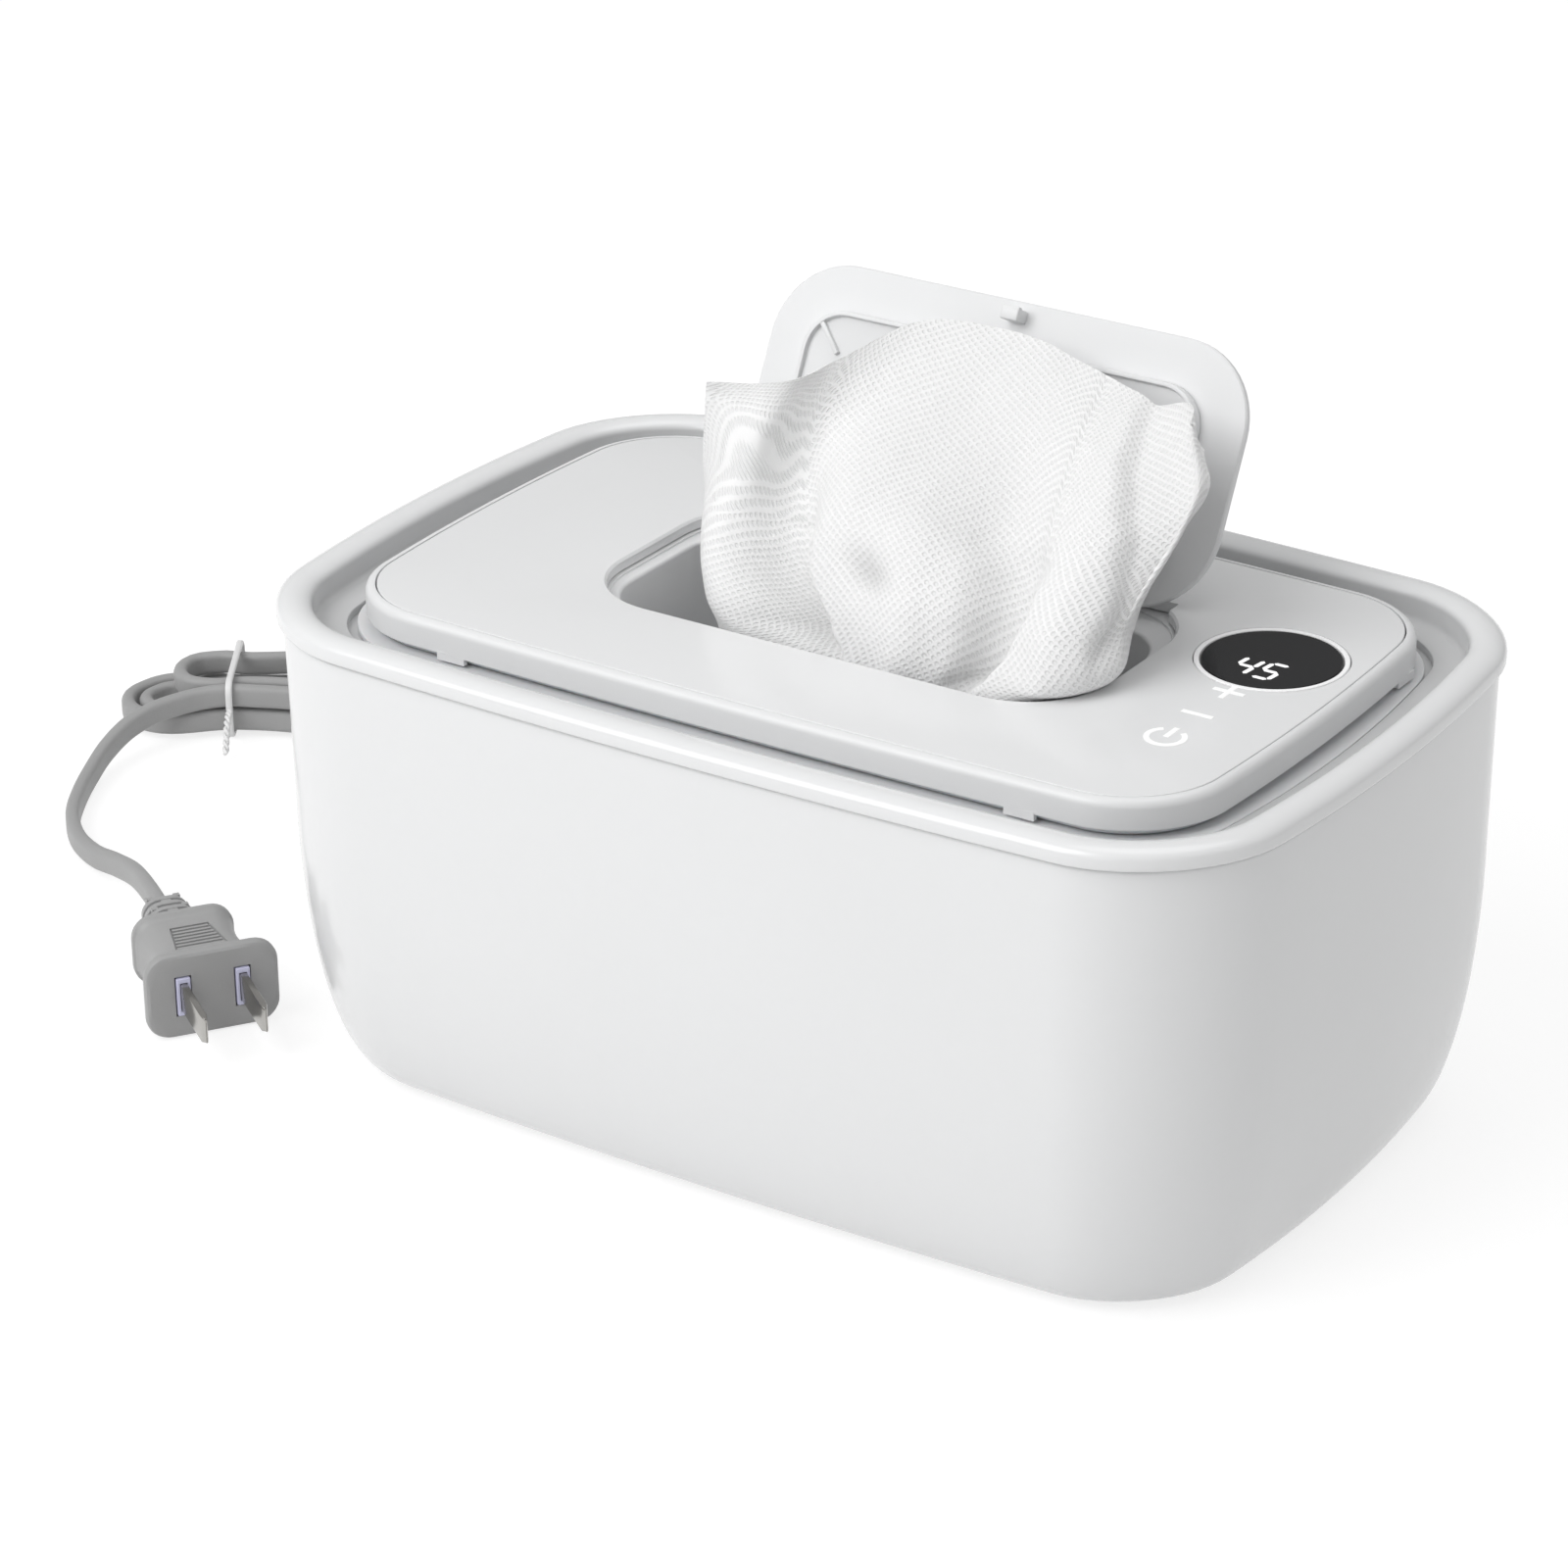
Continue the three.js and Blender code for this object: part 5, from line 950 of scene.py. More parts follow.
def bar(points, faces, start, end, half, low, high, pointed=False):
    start, end = Vector(start), Vector(end)
    forward = (end - start).normalized()
    side = Vector((-forward.y, forward.x)) * half
    if pointed:
        form = [start, start + forward * half + side, end - forward * half + side, end,
                end - forward * half - side, start + forward * half - side]
    else:
        form = [start + side, end + side, end - side, start - side]
    first = len(points)
    count = len(form)
    points += [(p.x, p.y, low) for p in form] + [(p.x, p.y, high) for p in form]
    faces.append(tuple(first + i for i in reversed(range(count))))
    faces.append(tuple(first + count + i for i in range(count)))
    for i in range(count):
        after = (i + 1) % count
        faces.append((first + i, first + after, first + count + after, first + count + i))


def makeDigits():
    d = digits
    halfX, halfY = d["width"] / 2, d["height"] / 2
    points, faces = [], []
    for place, digit in enumerate("45"):
        middle = d["x"] + (place - 0.5) * d["pitch"]
        for segment in d["segments"][digit]:
            a, b = [
                Vector((middle + x * halfX + d["slant"] * (y * halfY), d["y"] + y * halfY))
                for x, y in d["ends"][segment]
            ]
            inward = (b - a).normalized() * d["gap"]
            bar(points, faces, a + inward, b - inward, d["stroke"] / 2, d["bottom"], d["top"], True)
    return meshPiece("display_digits", points, faces)


def markBar(name, start, end):
    points, faces = [], []
    bar(points, faces, start, end, marks["stroke"] / 2, marks["bottom"], marks["top"])
    return meshPiece(name, points, faces)


def powerRing(x, y):
    m = marks
    inner, outer = m["radius"] - m["stroke"] / 2, m["radius"] + m["stroke"] / 2
    rings = []
    for step in range(m["ringSteps"] + 1):
        angle = math.radians(m["ringStart"] + m["ringSweep"] * step / m["ringSteps"])
        out = Vector((math.cos(angle), math.sin(angle)))
        rings.append([
            (x + out.x * r, y + out.y * r, z)
            for r, z in ((inner, m["bottom"]), (outer, m["bottom"]), (outer, m["top"]), (inner, m["top"]))
        ])
    return skin("mark_power", rings, False, 40)


def makeMark(name):
    x, y, half = marks["x"], marks[name], marks["length"] / 2
    if name == "power":
        stem = markBar("bar", (x, y), (x, y + marks["radius"] * marks["stem"]))
        return combine(powerRing(x, y), [stem], "UNION")
    made = markBar(f"mark_{name}", (x - half, y), (x + half, y))
    if name == "plus":
        combine(made, [markBar("bar", (x, y - half), (x, y + half))], "UNION")
    return made


def makeDisplay():
    d = display
    x, y, radius, outer = d["x"], d["y"], d["radius"], d["radius"] + d["ring"]
    high = lid["top"] + d["rise"]
    rows = [
        (radius, d["bottom"]), (outer, d["bottom"]), (outer, high - d["rise"]), (outer - d["edge"], high),
        (radius + d["lip"], high), (radius, high - d["lip"]),
    ]
    border = skin("display_border", [
        [(x + r * c, y + r * s, z) for c, s in circle(d["sides"])] for r, z in rows
    ], True)
    radius, deep = radius - d["gap"], lid["top"] - d["window"]
    profile = [(radius, 0), (radius, deep - d["lip"]), (radius - d["edge"], deep)]
    return border, turnedPiece("display_glass", (x, y, d["window"]), (0, 0, 1), profile, d["sides"])


displayBorder, displayGlass = makeDisplay()
displayDigits = makeDigits()
touchMarks = {name: makeMark(name) for name in ("plus", "minus", "power")}
print("display and marks built")


# Wipes
wipe = {
    "spread": 100, "base": 70.1, "columns": 190, "rows": 120, "thickness": 0.4,
    "fadeFrom": 92, "fadeOver": 14, "seed": 3.7,
    "wrinkle": 0.75, "wrinkleSize": 13, "fine": 0.18, "fineSize": 4.5, "fineShift": (9, 4, 2),
    "flatY": 0.6, "flatZ": 0.8,  # stretch the wrinkles along Y and Z
    # each crease: its line in shares of the columns and rows, its depth, its width at both sides,
    # and the painted shade that darkens its valley; the sharp right side softens above "opens"
    "creases": [
        {"line": [(0.27, 0), (0.265, 0.3), (0.248, 0.4), (0.257, 0.5),
                  (0.27, 0.6), (0.264, 0.75), (0.262, 0.85), (0.28, 1)],
         "depth": 5.6, "left": 0.06, "right": 0.014, "opens": 0.56, "from": 0.24, "to": 0.98, "shade": 0.8},
        {"line": [(0.635, 0), (0.635, 0.35), (0.632, 0.42), (0.643, 0.5),
                  (0.645, 0.57), (0.61, 0.66), (0.55, 0.76), (0.53, 1)],
         "depth": 6.2, "left": 0.085, "right": 0.01, "opens": 0.54, "from": 0.2, "to": 0.98, "shade": 0.9},
        {"line": [(0.83, 0), (0.835, 0.6), (0.806, 0.76), (0.785, 0.83), (0.765, 0.9), (0.755, 1)],
         "depth": 3.6, "left": 0.02, "right": 0.16, "opens": 2, "from": 0.45, "to": 1.2, "shade": 0.75},
        {"line": [(0.4, 0), (0.42, 0.29), (0.44, 0.57), (0.44, 1)],
         "depth": -1.6, "left": 0.03, "right": 0.04, "opens": 0.3, "from": 0.2, "to": 0.78, "shade": 0},
    ],
    # the painted shade in the folds fades upward from shadeFrom, over shadeOver, to shadeTop of its strength
    "soften": 0.25, "startSoft": 0.12, "endSoft": 0.3, "shadeTop": 0.25, "shadeFrom": 0.35, "shadeOver": 0.35,
    "dents": [  # column, row, width, height, depth, painted shade
        (0.39, 0.605, 0.028, 0.038, 1.9, 0.75), (0.53, 0.76, 0.06, 0.1, 1.2, 0),
        (0.262, 0.655, 0.016, 0.01, 0.6, 0.3), (0.19, 0.8, 0.03, 0.05, 0.7, 0),
        (0.86, 0.7, 0.03, 0.05, 0.6, 0),
    ],
    # the cloth's course at each height, in shares of the spread: x, y and a rise where there is one
    "levels": [
        (0, [(-0.26, -0.03), (-0.18, -0.08), (-0.08, 0), (0.01, -0.06), (0.12, -0.06),
             (0.21, 0.02), (0.31, -0.06), (0.4, -0.04), (0.45, 0.04)]),
        (0.18, [(-0.36, 0.01), (-0.22, -0.19), (-0.05, -0.18), (0.06, -0.2), (0.18, -0.2),
                (0.26, -0.18), (0.36, -0.19), (0.44, -0.07), (0.46, 0.04)]),
        (0.305, [(-0.405, 0.01), (-0.23, -0.215), (0, -0.2), (0.11, -0.225), (0.24, -0.225),
                 (0.305, -0.22), (0.42, -0.22), (0.49, -0.07), (0.465, 0.05)]),
        (0.365, [(-0.415, 0), (-0.26, -0.22), (-0.02, -0.195), (0.1, -0.225), (0.27, -0.225),
                 (0.35, -0.215), (0.5, -0.245), (0.585, -0.13), (0.52, 0.04)]),
        (0.46, [(-0.42, -0.005), (-0.3, -0.175), (-0.14, -0.14), (0.06, -0.19), (0.26, -0.195),
                (0.37, -0.155), (0.5, -0.21), (0.62, -0.095), (0.57, 0.05)]),
        (0.575, [(-0.42, -0.01), (-0.285, -0.1), (-0.19, -0.055), (-0.01, -0.09), (0.23, -0.09),
                 (0.37, -0.06), (0.51, -0.1), (0.65, 0), (0.61, 0.07)]),
        (0.69, [(-0.41, -0.015), (-0.265, -0.03), (-0.205, 0.055), (-0.08, 0.13), (0.15, 0.15),
                (0.33, 0.12), (0.48, 0.06), (0.655, 0.07), (0.655, 0.12)]),
        (0.76, [(-0.405, -0.02, -0.03), (-0.25, 0.025, -0.012), (-0.212, 0.15, 0), (-0.12, 0.35, 0.04),
                (0.08, 0.39, 0.035), (0.28, 0.34, 0.015), (0.43, 0.27, 0.02), (0.565, 0.18, 0.055),
                (0.62, 0.15, -0.01)]),
    ],
}


def wipeGrid():
    w = wipe
    wide, foot = w["spread"], w["base"]
    levels = []
    for height, places in w["levels"]:
        points = [
            Vector((wide * x, wide * y, foot + wide * (height + sum(rise)))) for x, y, *rise in places
        ]
        levels.append(splinePoints(points, shares(w["columns"])))
    columns = [splinePoints(list(course), shares(w["rows"])) for course in zip(*levels)]
    return [list(line) for line in zip(*columns)]


def gridNormals(grid):
    lastRow, lastColumn = len(grid) - 1, len(grid[0]) - 1
    made = []
    for row, line in enumerate(grid):
        normals = []
        for column in range(lastColumn + 1):
            sideways = line[min(column + 1, lastColumn)] - line[max(column - 1, 0)]
            upward = grid[min(row + 1, lastRow)][column] - grid[max(row - 1, 0)][column]
            normals.append(sideways.cross(upward).normalized())
        made.append(normals)
    return made


def creaseAt(x, y):  # how far the folds and dents press the cloth back, and how much painted shade darkens them
    w = wipe
    depth = 0.0
    shade = 0.0
    for crease in w["creases"]:
        line = crease["line"]
        for (x0, y0), (x1, y1) in zip(line, line[1:]):
            if y0 <= y <= y1:
                middle = x0 + (x1 - x0) * smooth((y - y0) / (y1 - y0))
        width = crease["left"]
        if x > middle:
            soft = smooth((y - crease["opens"]) / w["soften"])
            width = crease["right"] + (crease["left"] - crease["right"]) * soft
        fade = smooth((y - crease["from"]) / w["startSoft"]) * smooth((crease["to"] - y) / w["endSoft"])
        near = fade * math.exp(-((x - middle) / width) ** 2)
        depth += crease["depth"] * near
        lighter = (1 - w["shadeTop"]) * smooth((y - w["shadeFrom"]) / w["shadeOver"])
        shade += crease["shade"] * near * (1 - lighter)
    for column, row, wide, tall, deep, paintedDarkening in w["dents"]:
        near = math.exp(-((x - column) / wide) ** 2 - ((y - row) / tall) ** 2)
        depth += deep * near
        shade += paintedDarkening * near
    return depth, min(shade, 1)


def foldGrid(grid):  # presses the folds, dents and wrinkles into the grid, and gives the folds' painted shade
    w = wipe
    normals = gridNormals(grid)
    foldShades = []
    for row, line in enumerate(grid):
        fade = smooth((line[0].z - w["fadeFrom"]) / w["fadeOver"])
        for column, point in enumerate(line):
            at = Vector((point.x, point.y * w["flatY"], point.z * w["flatZ"] + w["seed"]))
            wave = noise.noise(at / w["wrinkleSize"]) * w["wrinkle"]
            wave += noise.noise(at / w["fineSize"] + Vector(w["fineShift"])) * w["fine"]
            depth, shade = creaseAt(column / w["columns"], row / w["rows"])
            wave -= depth
            foldShades.append(shade)
            line[column] = point + normals[row][column] * (wave * fade)
    return foldShades


def sheetFaces(width, height):  # the faces of a thick sheet: its front, its rear and its four edges
    offset = width * height
    faces = []
    for row in range(height - 1):
        for column in range(width - 1):
            a = row * width + column
            faces.append((a, a + 1, a + width + 1, a + width))
            faces.append((offset + a, offset + a + width, offset + a + width + 1, offset + a + 1))
    for column in range(width - 1):
        top = (height - 1) * width + column
        faces.append((column, offset + column, offset + column + 1, column + 1))
        faces.append((top, top + 1, offset + top + 1, offset + top))
    for row in range(height - 1):
        a, b = row * width, row * width + width - 1
        faces.append((a, a + width, offset + a + width, offset + a))
        faces.append((b, offset + b, offset + b + width, b + width))
    return faces


def flatPlaces(grid):  # where each point lies on the flat cloth, in metres, from its bottom middle
    middle = (len(grid[0]) - 1) // 2
    flat, lengths = [], []
    up = [0.0] * len(grid[0])
    for row, line in enumerate(grid):
        if row:
            up = [total + (point - below).length for total, point, below in zip(up, line, grid[row - 1])]
        along = [0.0]
        for a, b in zip(line, line[1:]):
            along.append(along[-1] + (b - a).length)
        lengths.append(along[-1])
        flat += [((value - along[middle]) * mm, total * mm) for value, total in zip(along, up)]
    print("wipe: widest", round(max(lengths)), "mm, height", round(max(up)), "mm")
    return flat


def makeWipe():
    grid = wipeGrid()
    foldShades = foldGrid(grid)
    normals = gridNormals(grid)
    half = wipe["thickness"] / 2
    points = [p + n * half for line, side in zip(grid, normals) for p, n in zip(line, side)]
    points += [p - n * half for line, side in zip(grid, normals) for p, n in zip(line, side)]
    flat = flatPlaces(grid)
    mesh = bpy.data.meshes.new("pulled_wipe")
    mesh.from_pydata([p * mm for p in points], [], sheetFaces(len(grid[0]), len(grid)))
    uvs = mesh.uv_layers.new(name="cloth")
    for loop in mesh.loops:
        uvs.data[loop.index].uv = flat[loop.vertex_index % len(flat)]
    # the folds' painted shade, which darkens the cloth's colour
    mesh.attributes.new("foldShade", "FLOAT", "POINT").data.foreach_set("value", foldShades + foldShades)
    shadeByAngle(mesh, 60)
    return link("pulled_wipe", mesh), sum(p.area for p in mesh.polygons) / 2


stack = {
    "halfX": 84, "halfY": 44, "corner": 6, "bottom": 31.8, "top": 69.8, "sheets": 19, "crease": 0.55,
    "inset": 0.35, "wave": 0.35, "waveSize": (26, 7), "lowEdge": 1.5,
    "sheet": [(0.04, 1), (0.2, 0.3), (0.5, 0), (0.8, 0.3)],  # share of a sheet's height, share of the crease
    "topRings": [(1.2, 0.9, 0.3), (3, 0.25, 0), (8, 0, 0), (24, 0, 0)],  # inset, drop, wave
}


def makeStack():
    s = stack

    def ring(inset, z, wave=0.0):
        corner = s["corner"] - min(inset, 4) * 0.7
        wide, tall = s["waveSize"]
        made = []
        for x, y in outlinePoints(s["halfX"] - inset, s["halfY"] - inset, corner, arcs=6, parts=22):
            push = noise.noise(Vector((x / wide, y / wide, z / tall))) * wave
            direction = Vector((x / s["halfX"], y / s["halfY"])).normalized()
            made.append((x + direction.x * push, y + direction.y * push, z))
        return made

    step = (s["top"] - s["bottom"] - 2 * s["lowEdge"]) / s["sheets"]
    rings = [ring(30, s["bottom"]), ring(3, s["bottom"])]
    for sheet in range(s["sheets"]):
        z = s["bottom"] + s["lowEdge"] + sheet * step
        for share, depth in s["sheet"]:
            rings.append(ring(s["inset"] + s["crease"] * depth, z + share * step, s["wave"]))
    rings += [ring(inset, s["top"] - drop, wave) for inset, drop, wave in s["topRings"]]
    return skin("wipe_pile", rings, False, 50)


pulledWipe, wipeArea = makeWipe()
wipePile = makeStack()
print("wipes built")


# Tie, cord relief and plug
tie = {
    "wire": 1.1, "width": 1.6, "tail": 11, "corner": 2.8, "room": 0.5, "edge": 0.48,
    "strand": 0.42, "twist": 3.4, "spacing": 0.3, "overlap": -0.2,
}


def makeTie():
    t = tie
    widest = max(hank["reversal"], hank["endTurn"] - hank["reversal"])
    wing = hank["waistHalf"] + hank["pitch"] * widest + cord["thickness"] / 2 + t["room"]
    low = t["wire"] / 2 + cord["clearance"] / 2
    high = cord["clearance"] + hank["tieLift"] + cord["width"] + hank["layer"] + t["room"] + t["wire"] / 2
    middle = (high + low) / 2
    loop = outlinePoints(wing, (high - low) / 2, t["corner"], y=middle, arcs=8, parts=6)
    centre = [hankPlace(hank["waistAt"], x, z) for x, z in loop]
    section = stadium(t["width"] / 2, t["wire"] / 2, t["wire"] * t["edge"])
    axis = hankPlace(1, 0, 0) - hankPlace(0, 0, 0)
    rings = []
    for i, point in enumerate(centre):
        forward = (centre[(i + 1) % len(centre)] - centre[i - 1]).normalized()
        out = axis.cross(forward).normalized()
        rings.append([point + axis * a + out * b for a, b in section])
    made = skin("cord_tie", rings, True, 60)
    route = [
        hankPlace(hank["waistAt"], -(wing + out), z)
        for out, z in ((t["overlap"], middle), (t["tail"] / 3, middle), (t["tail"], low + t["wire"]))
    ]
    path, _ = evenPath(splinePoints(route, shares(40)), t["spacing"])
    strands = []
    for phase in (0, math.pi):  # the two wires of the twisted end
        line = []
        for i, (point, forward) in enumerate(zip(path, headings(path))):
            side, up = across(forward)
            turn = phase + 2 * math.pi * i * t["spacing"] / t["twist"]
            line.append(point + (side * math.cos(turn) + up * math.sin(turn)) * t["strand"])
        strands.append(sweep("strand", line, [(t["strand"] * c, t["strand"] * s) for c, s in circle(10)]))
    return combine(made, strands, "UNION", 60)


relief = {
    "x": -59.8, "z": 18, "faceAt": 7.6, "root": 4.8, "end": 3.7,
    "flange": 6.6, "flangeHigh": 2, "flangeEdge": 0.4,
    "collar": [(-0.5, 0), (0, 0.6), (-0.2, 1.6)], "neck": (0.5, 2.2),
    "ribsFrom": 2.6, "ribs": 6, "depth": 0.5,
    # each rib: change of radius and share of the pitch
    "rib": [(-0.1, 0.36), (0, 0.5), (-0.05, 0.94)], "groove": 0.3,
}


def makeCordRelief():
    r = relief
    low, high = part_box("cord_relief")
    inner, length = low.y / mm, high.y / mm - low.y / mm
    face = r["faceAt"]
    flange, root, edge, high = r["flange"], r["root"], r["flangeEdge"], r["flangeHigh"]
    profile = [
        (flange - edge, 0), (flange, edge), (flange, high - edge), (flange - edge, high),
        (root, high), (root, face), *((flange + more, face + at) for more, at in r["collar"]),
        (root + r["neck"][0], face + r["neck"][1]),
    ]
    start = face + r["ribsFrom"]
    pitch = (length - start) / r["ribs"]
    for rib in range(r["ribs"]):
        radius = root + (r["end"] - root) * (rib + 0.5) / r["ribs"]
        at = start + rib * pitch
        profile += [(radius - r["depth"], at), (radius - r["depth"], at + pitch * r["groove"])]
        profile += [(radius + more, at + pitch * share) for more, share in r["rib"]]
    profile.append((r["end"] - 0.5, length))
    return turnedPiece("wall_relief", (r["x"], inner, r["z"]), (0, 1, 0), profile, 40, 40)


plug = {
    "place": (-158.9, -38.1, 9.7), "heading": (0.82, -0.572),
    "relief": 15, "rear": 2.5, "grip": 19, "face": 3,
    "faceSize": (28.5, 19), "gripSize": (21, 14), "rearSize": (22, 16), "corner": 5, "gripSteps": 12,
    "reliefTip": 8.4, "reliefRoot": 11, "ribs": 5, "ribDepth": 0.9, "ribGap": 0.3,
    # each rib: share of the pitch and share of the depth
    "ribForm": [(0.0, 1), (0.28, 1), (0.34, 0.08), (0.6, 0), (0.94, 0.06)],
    "blade": {"width": 6.3, "thickness": 1.5, "length": 17, "root": 1.5, "corner": 0.22,
              "tip": [(1.7, 0), (0.6, 0.34), (0, 0.5)]},
    "collar": {"width": 3, "height": 8.5, "proud": 0.6, "edge": 0.25, "slot": 0.1},
    "panel": {"start": 4.5, "end": 14.5, "wide": 5.6, "narrow": 4.2, "depth": 0.55},
    "ridge": {"count": 7, "half": 0.36, "short": 0.35, "sunk": 0.12},
}
plugEnd = plug["relief"] + plug["rear"] + plug["grip"] + plug["face"]
bladePlaces = {"left": -12.7 / 2, "right": 12.7 / 2}


def placePlug(made):
    angle = math.atan2(plug["heading"][1], plug["heading"][0])
    made.data.transform(Matrix.Translation(Vector(plug["place"]) * mm) @ Matrix.Rotation(angle, 4, "Z"))
    return made


def lyingRing(along, width, height, corner):
    return [(along, y, z) for y, z in outlinePoints(width / 2, height / 2, corner, arcs=8, parts=5)]


def plugSections():  # places along the plug with their widths and heights
    start, gripStart = plug["relief"], plug["relief"] + plug["rear"]
    faceStart = gripStart + plug["grip"]
    (faceW, faceH), (gripW, gripH), (rearW, rearH) = plug["faceSize"], plug["gripSize"], plug["rearSize"]
    sections = [
        (start, rearW - 2.4, rearH - 2.4), (start + 0.25, rearW - 1.2, rearH - 1.2),
        (start + 0.8, rearW, rearH), (gripStart - 0.5, rearW, rearH),
        (gripStart, rearW - 0.8, rearH - 0.8),
        (gripStart + 0.5, gripW + 0.4, gripH + 0.3),
    ]
    for share in shares(plug["gripSteps"]):
        wide = gripW - 1.6 * math.sin(math.pi * share) + 0.4 * share
        sections.append((gripStart + 1.2 + (plug["grip"] - 4.6) * share, wide, gripH))
    return sections + [
        (faceStart - 2.2, gripW + 1.2, gripH + 0.4), (faceStart - 1.1, gripW + 3.0, gripH + 1.8),
        (faceStart - 0.3, faceW - 1.6, faceH - 1.4), (faceStart + 0.4, faceW - 0.4, faceH - 0.4),
        (faceStart + 0.9, faceW, faceH), (plugEnd - 1.0, faceW, faceH),
        (plugEnd - 0.35, faceW - 0.5, faceH - 0.5), (plugEnd, faceW - 1.6, faceH - 1.6),
    ]


def makePlugBody():
    made = skin("plug_shell", [lyingRing(a, w, h, plug["corner"]) for a, w, h in plugSections()])
    collar, blade, panel, ridge = plug["collar"], plug["blade"], plug["panel"], plug["ridge"]
    gripStart, top = plug["relief"] + plug["rear"], plug["gripSize"][1] / 2
    cutters, ridges = [], []
    halfW, halfH = collar["width"] / 2 + play, collar["height"] / 2 + play
    for y in bladePlaces.values():
        cutters.append(box(plugEnd - blade["root"] - play, plugEnd + 3, y - halfW, y + halfW, -halfH, halfH))
    form = [
        (panel["start"], -panel["narrow"]), (panel["end"], -panel["wide"]),
        (panel["end"], panel["wide"]), (panel["start"], panel["narrow"]),
    ]
    faces = [(3, 2, 1, 0), (4, 5, 6, 7)] + [(i, (i + 1) % 4, 4 + (i + 1) % 4, 4 + i) for i in range(4)]
    for side in (-1, 1):  # the recessed panels on the flat faces, and their ridges
        heights = sorted((side * (top - panel["depth"]), side * (top + 2)))
        cutters.append(meshPiece("panel", [(gripStart + a, b, z) for z in heights for a, b in form], faces))
        low, high = sorted((side * (top - panel["depth"] - 0.3), side * (top - ridge["sunk"])))
        for i in range(ridge["count"]):
            at = gripStart + panel["start"] + (panel["end"] - panel["start"]) * (i + 0.6) / ridge["count"]
            wide = panel["narrow"] + (panel["wide"] - panel["narrow"]) * i / ridge["count"] - ridge["short"]
            ridges.append(box(at - ridge["half"], at + ridge["half"], -wide, wide, low, high))
    combine(made, cutters)
    return placePlug(combine(made, ridges, "UNION"))


def makePlugRelief():
    p = plug
    pitch = (p["relief"] - 2 * p["ribGap"]) / p["ribs"]

    def sizeAt(along):
        return p["reliefTip"] + (p["reliefRoot"] - p["reliefTip"]) * along / p["relief"]

    rings, bridges = [], []
    for rib in range(p["ribs"]):
        for share, depth in p["ribForm"]:
            along = p["ribGap"] + (rib + share) * pitch
            size = sizeAt(along) - 2 * depth * p["ribDepth"]
            rings.append(lyingRing(along, size + p["ribDepth"] * 1.6, size, size * 0.42))
        along = p["ribGap"] + rib * pitch
        size = sizeAt(along) - 0.25
        halfW, halfH = size / 2 + p["ribDepth"] * 0.8, size / 2
        start, end = along - 0.05, along + pitch * 0.4
        if rib % 2:
            bridges.append(box(start, end, -1.1, 1.1, -halfH, halfH))
            bridges.append(box(start, end, -halfW, halfW, -1.0, 1.0))
            continue
        for y in (-halfW * 0.62, halfW * 0.62):
            bridges.append(box(start, end, y - 0.7, y + 0.7, -halfH * 0.97, halfH * 0.97))
    return placePlug(combine(skin("plug_neck", rings), bridges, "UNION"))


def makeBlade(name, y):
    blade = plug["blade"]
    halfY, halfZ = blade["thickness"] / 2, blade["width"] / 2
    end = plugEnd + blade["length"]
    places = [(plugEnd - blade["root"] + play, 0), *((end - back, inset) for back, inset in blade["tip"])]
    rings = []
    for along, inset in places:
        form = outlinePoints(halfY - inset, halfZ - inset, blade["corner"], arcs=3, parts=2)
        rings.append([(along, y + a, b) for a, b in form])
    return placePlug(skin(f"blade_{name}", rings))


def makeCollar(name, y):
    blade, collar = plug["blade"], plug["collar"]
    halfY, halfZ = collar["width"] / 2, collar["height"] / 2
    start, end = plugEnd - blade["root"], plugEnd + collar["proud"]
    made = softBox(f"collar_{name}", start, end, y - halfY, y + halfY, -halfZ, halfZ, collar["edge"])
    halfY, halfZ = blade["thickness"] / 2 + collar["slot"], blade["width"] / 2 + collar["slot"]
    return placePlug(combine(made, [box(plugEnd - 3, plugEnd + 3, y - halfY, y + halfY, -halfZ, halfZ)]))


cordTie = makeTie()
wallRelief = makeCordRelief()
plugShell = makePlugBody()
plugNeck = makePlugRelief()
blades = {name: makeBlade(name, y) for name, y in bladePlaces.items()}
collars = {name: makeCollar(name, y) for name, y in bladePlaces.items()}
print("plug and tie built")


# Small parts
pins = {
    "lid_pin": {"x": lidHinge["x"], "reach": lidHinge["knuckle"] / 2 + 3.3, "radius": lidHinge["pin"],
                "axis": (lidHinge["y"], lidHinge["z"])},
    "flip_pin": {"x": insert["barrelX"], "reach": insert["barrel"] / 2 + 3.3, "radius": insert["pin"],
                 "axis": flip["hinge"][1:]},
}


def makePins():
    made = {}
    for name, pin in pins.items():
        for side, sign in (("left", -1), ("right", 1)):
            start, end = sign * pin["x"] - pin["reach"], sign * pin["x"] + pin["reach"]
            ends = (start, *pin["axis"]), (end, *pin["axis"])
            made[name, side] = pinPiece(f"{name}_{side}", *ends, pin["radius"])
    return made


gasket = {"outer": 1.4, "inner": 3.6, "bottom": 96.9, "top": 99.1, "bevel": 0.9, "tip": 0.3, "edge": 0.3}


def makeGasket():
    g = gasket
    middle = (g["outer"] + g["inner"]) / 2
    rows = [(lidPlan, inset, z, g["edge"]) for inset, z in (
        (g["outer"], g["top"]), (g["outer"], g["bottom"] + g["bevel"]), (middle - g["tip"], g["bottom"]),
        (middle + g["tip"], g["bottom"]), (g["inner"], g["bottom"] + g["bevel"]), (g["inner"], g["top"]),
    )]
    return skin("lid_seal", roundedRings(rows), True)


def tube(name, path, radius, sides=16, degrees=60):  # a round cable whose rings never twist
    side = across(headings(path)[0])[0]
    rings = []
    for point, forward in zip(path, headings(path)):
        side = (side - forward * side.dot(forward)).normalized()
        rings.append(ringAbout(point, side, forward.cross(side), radius, sides))
    return skin(name, rings, False, degrees)


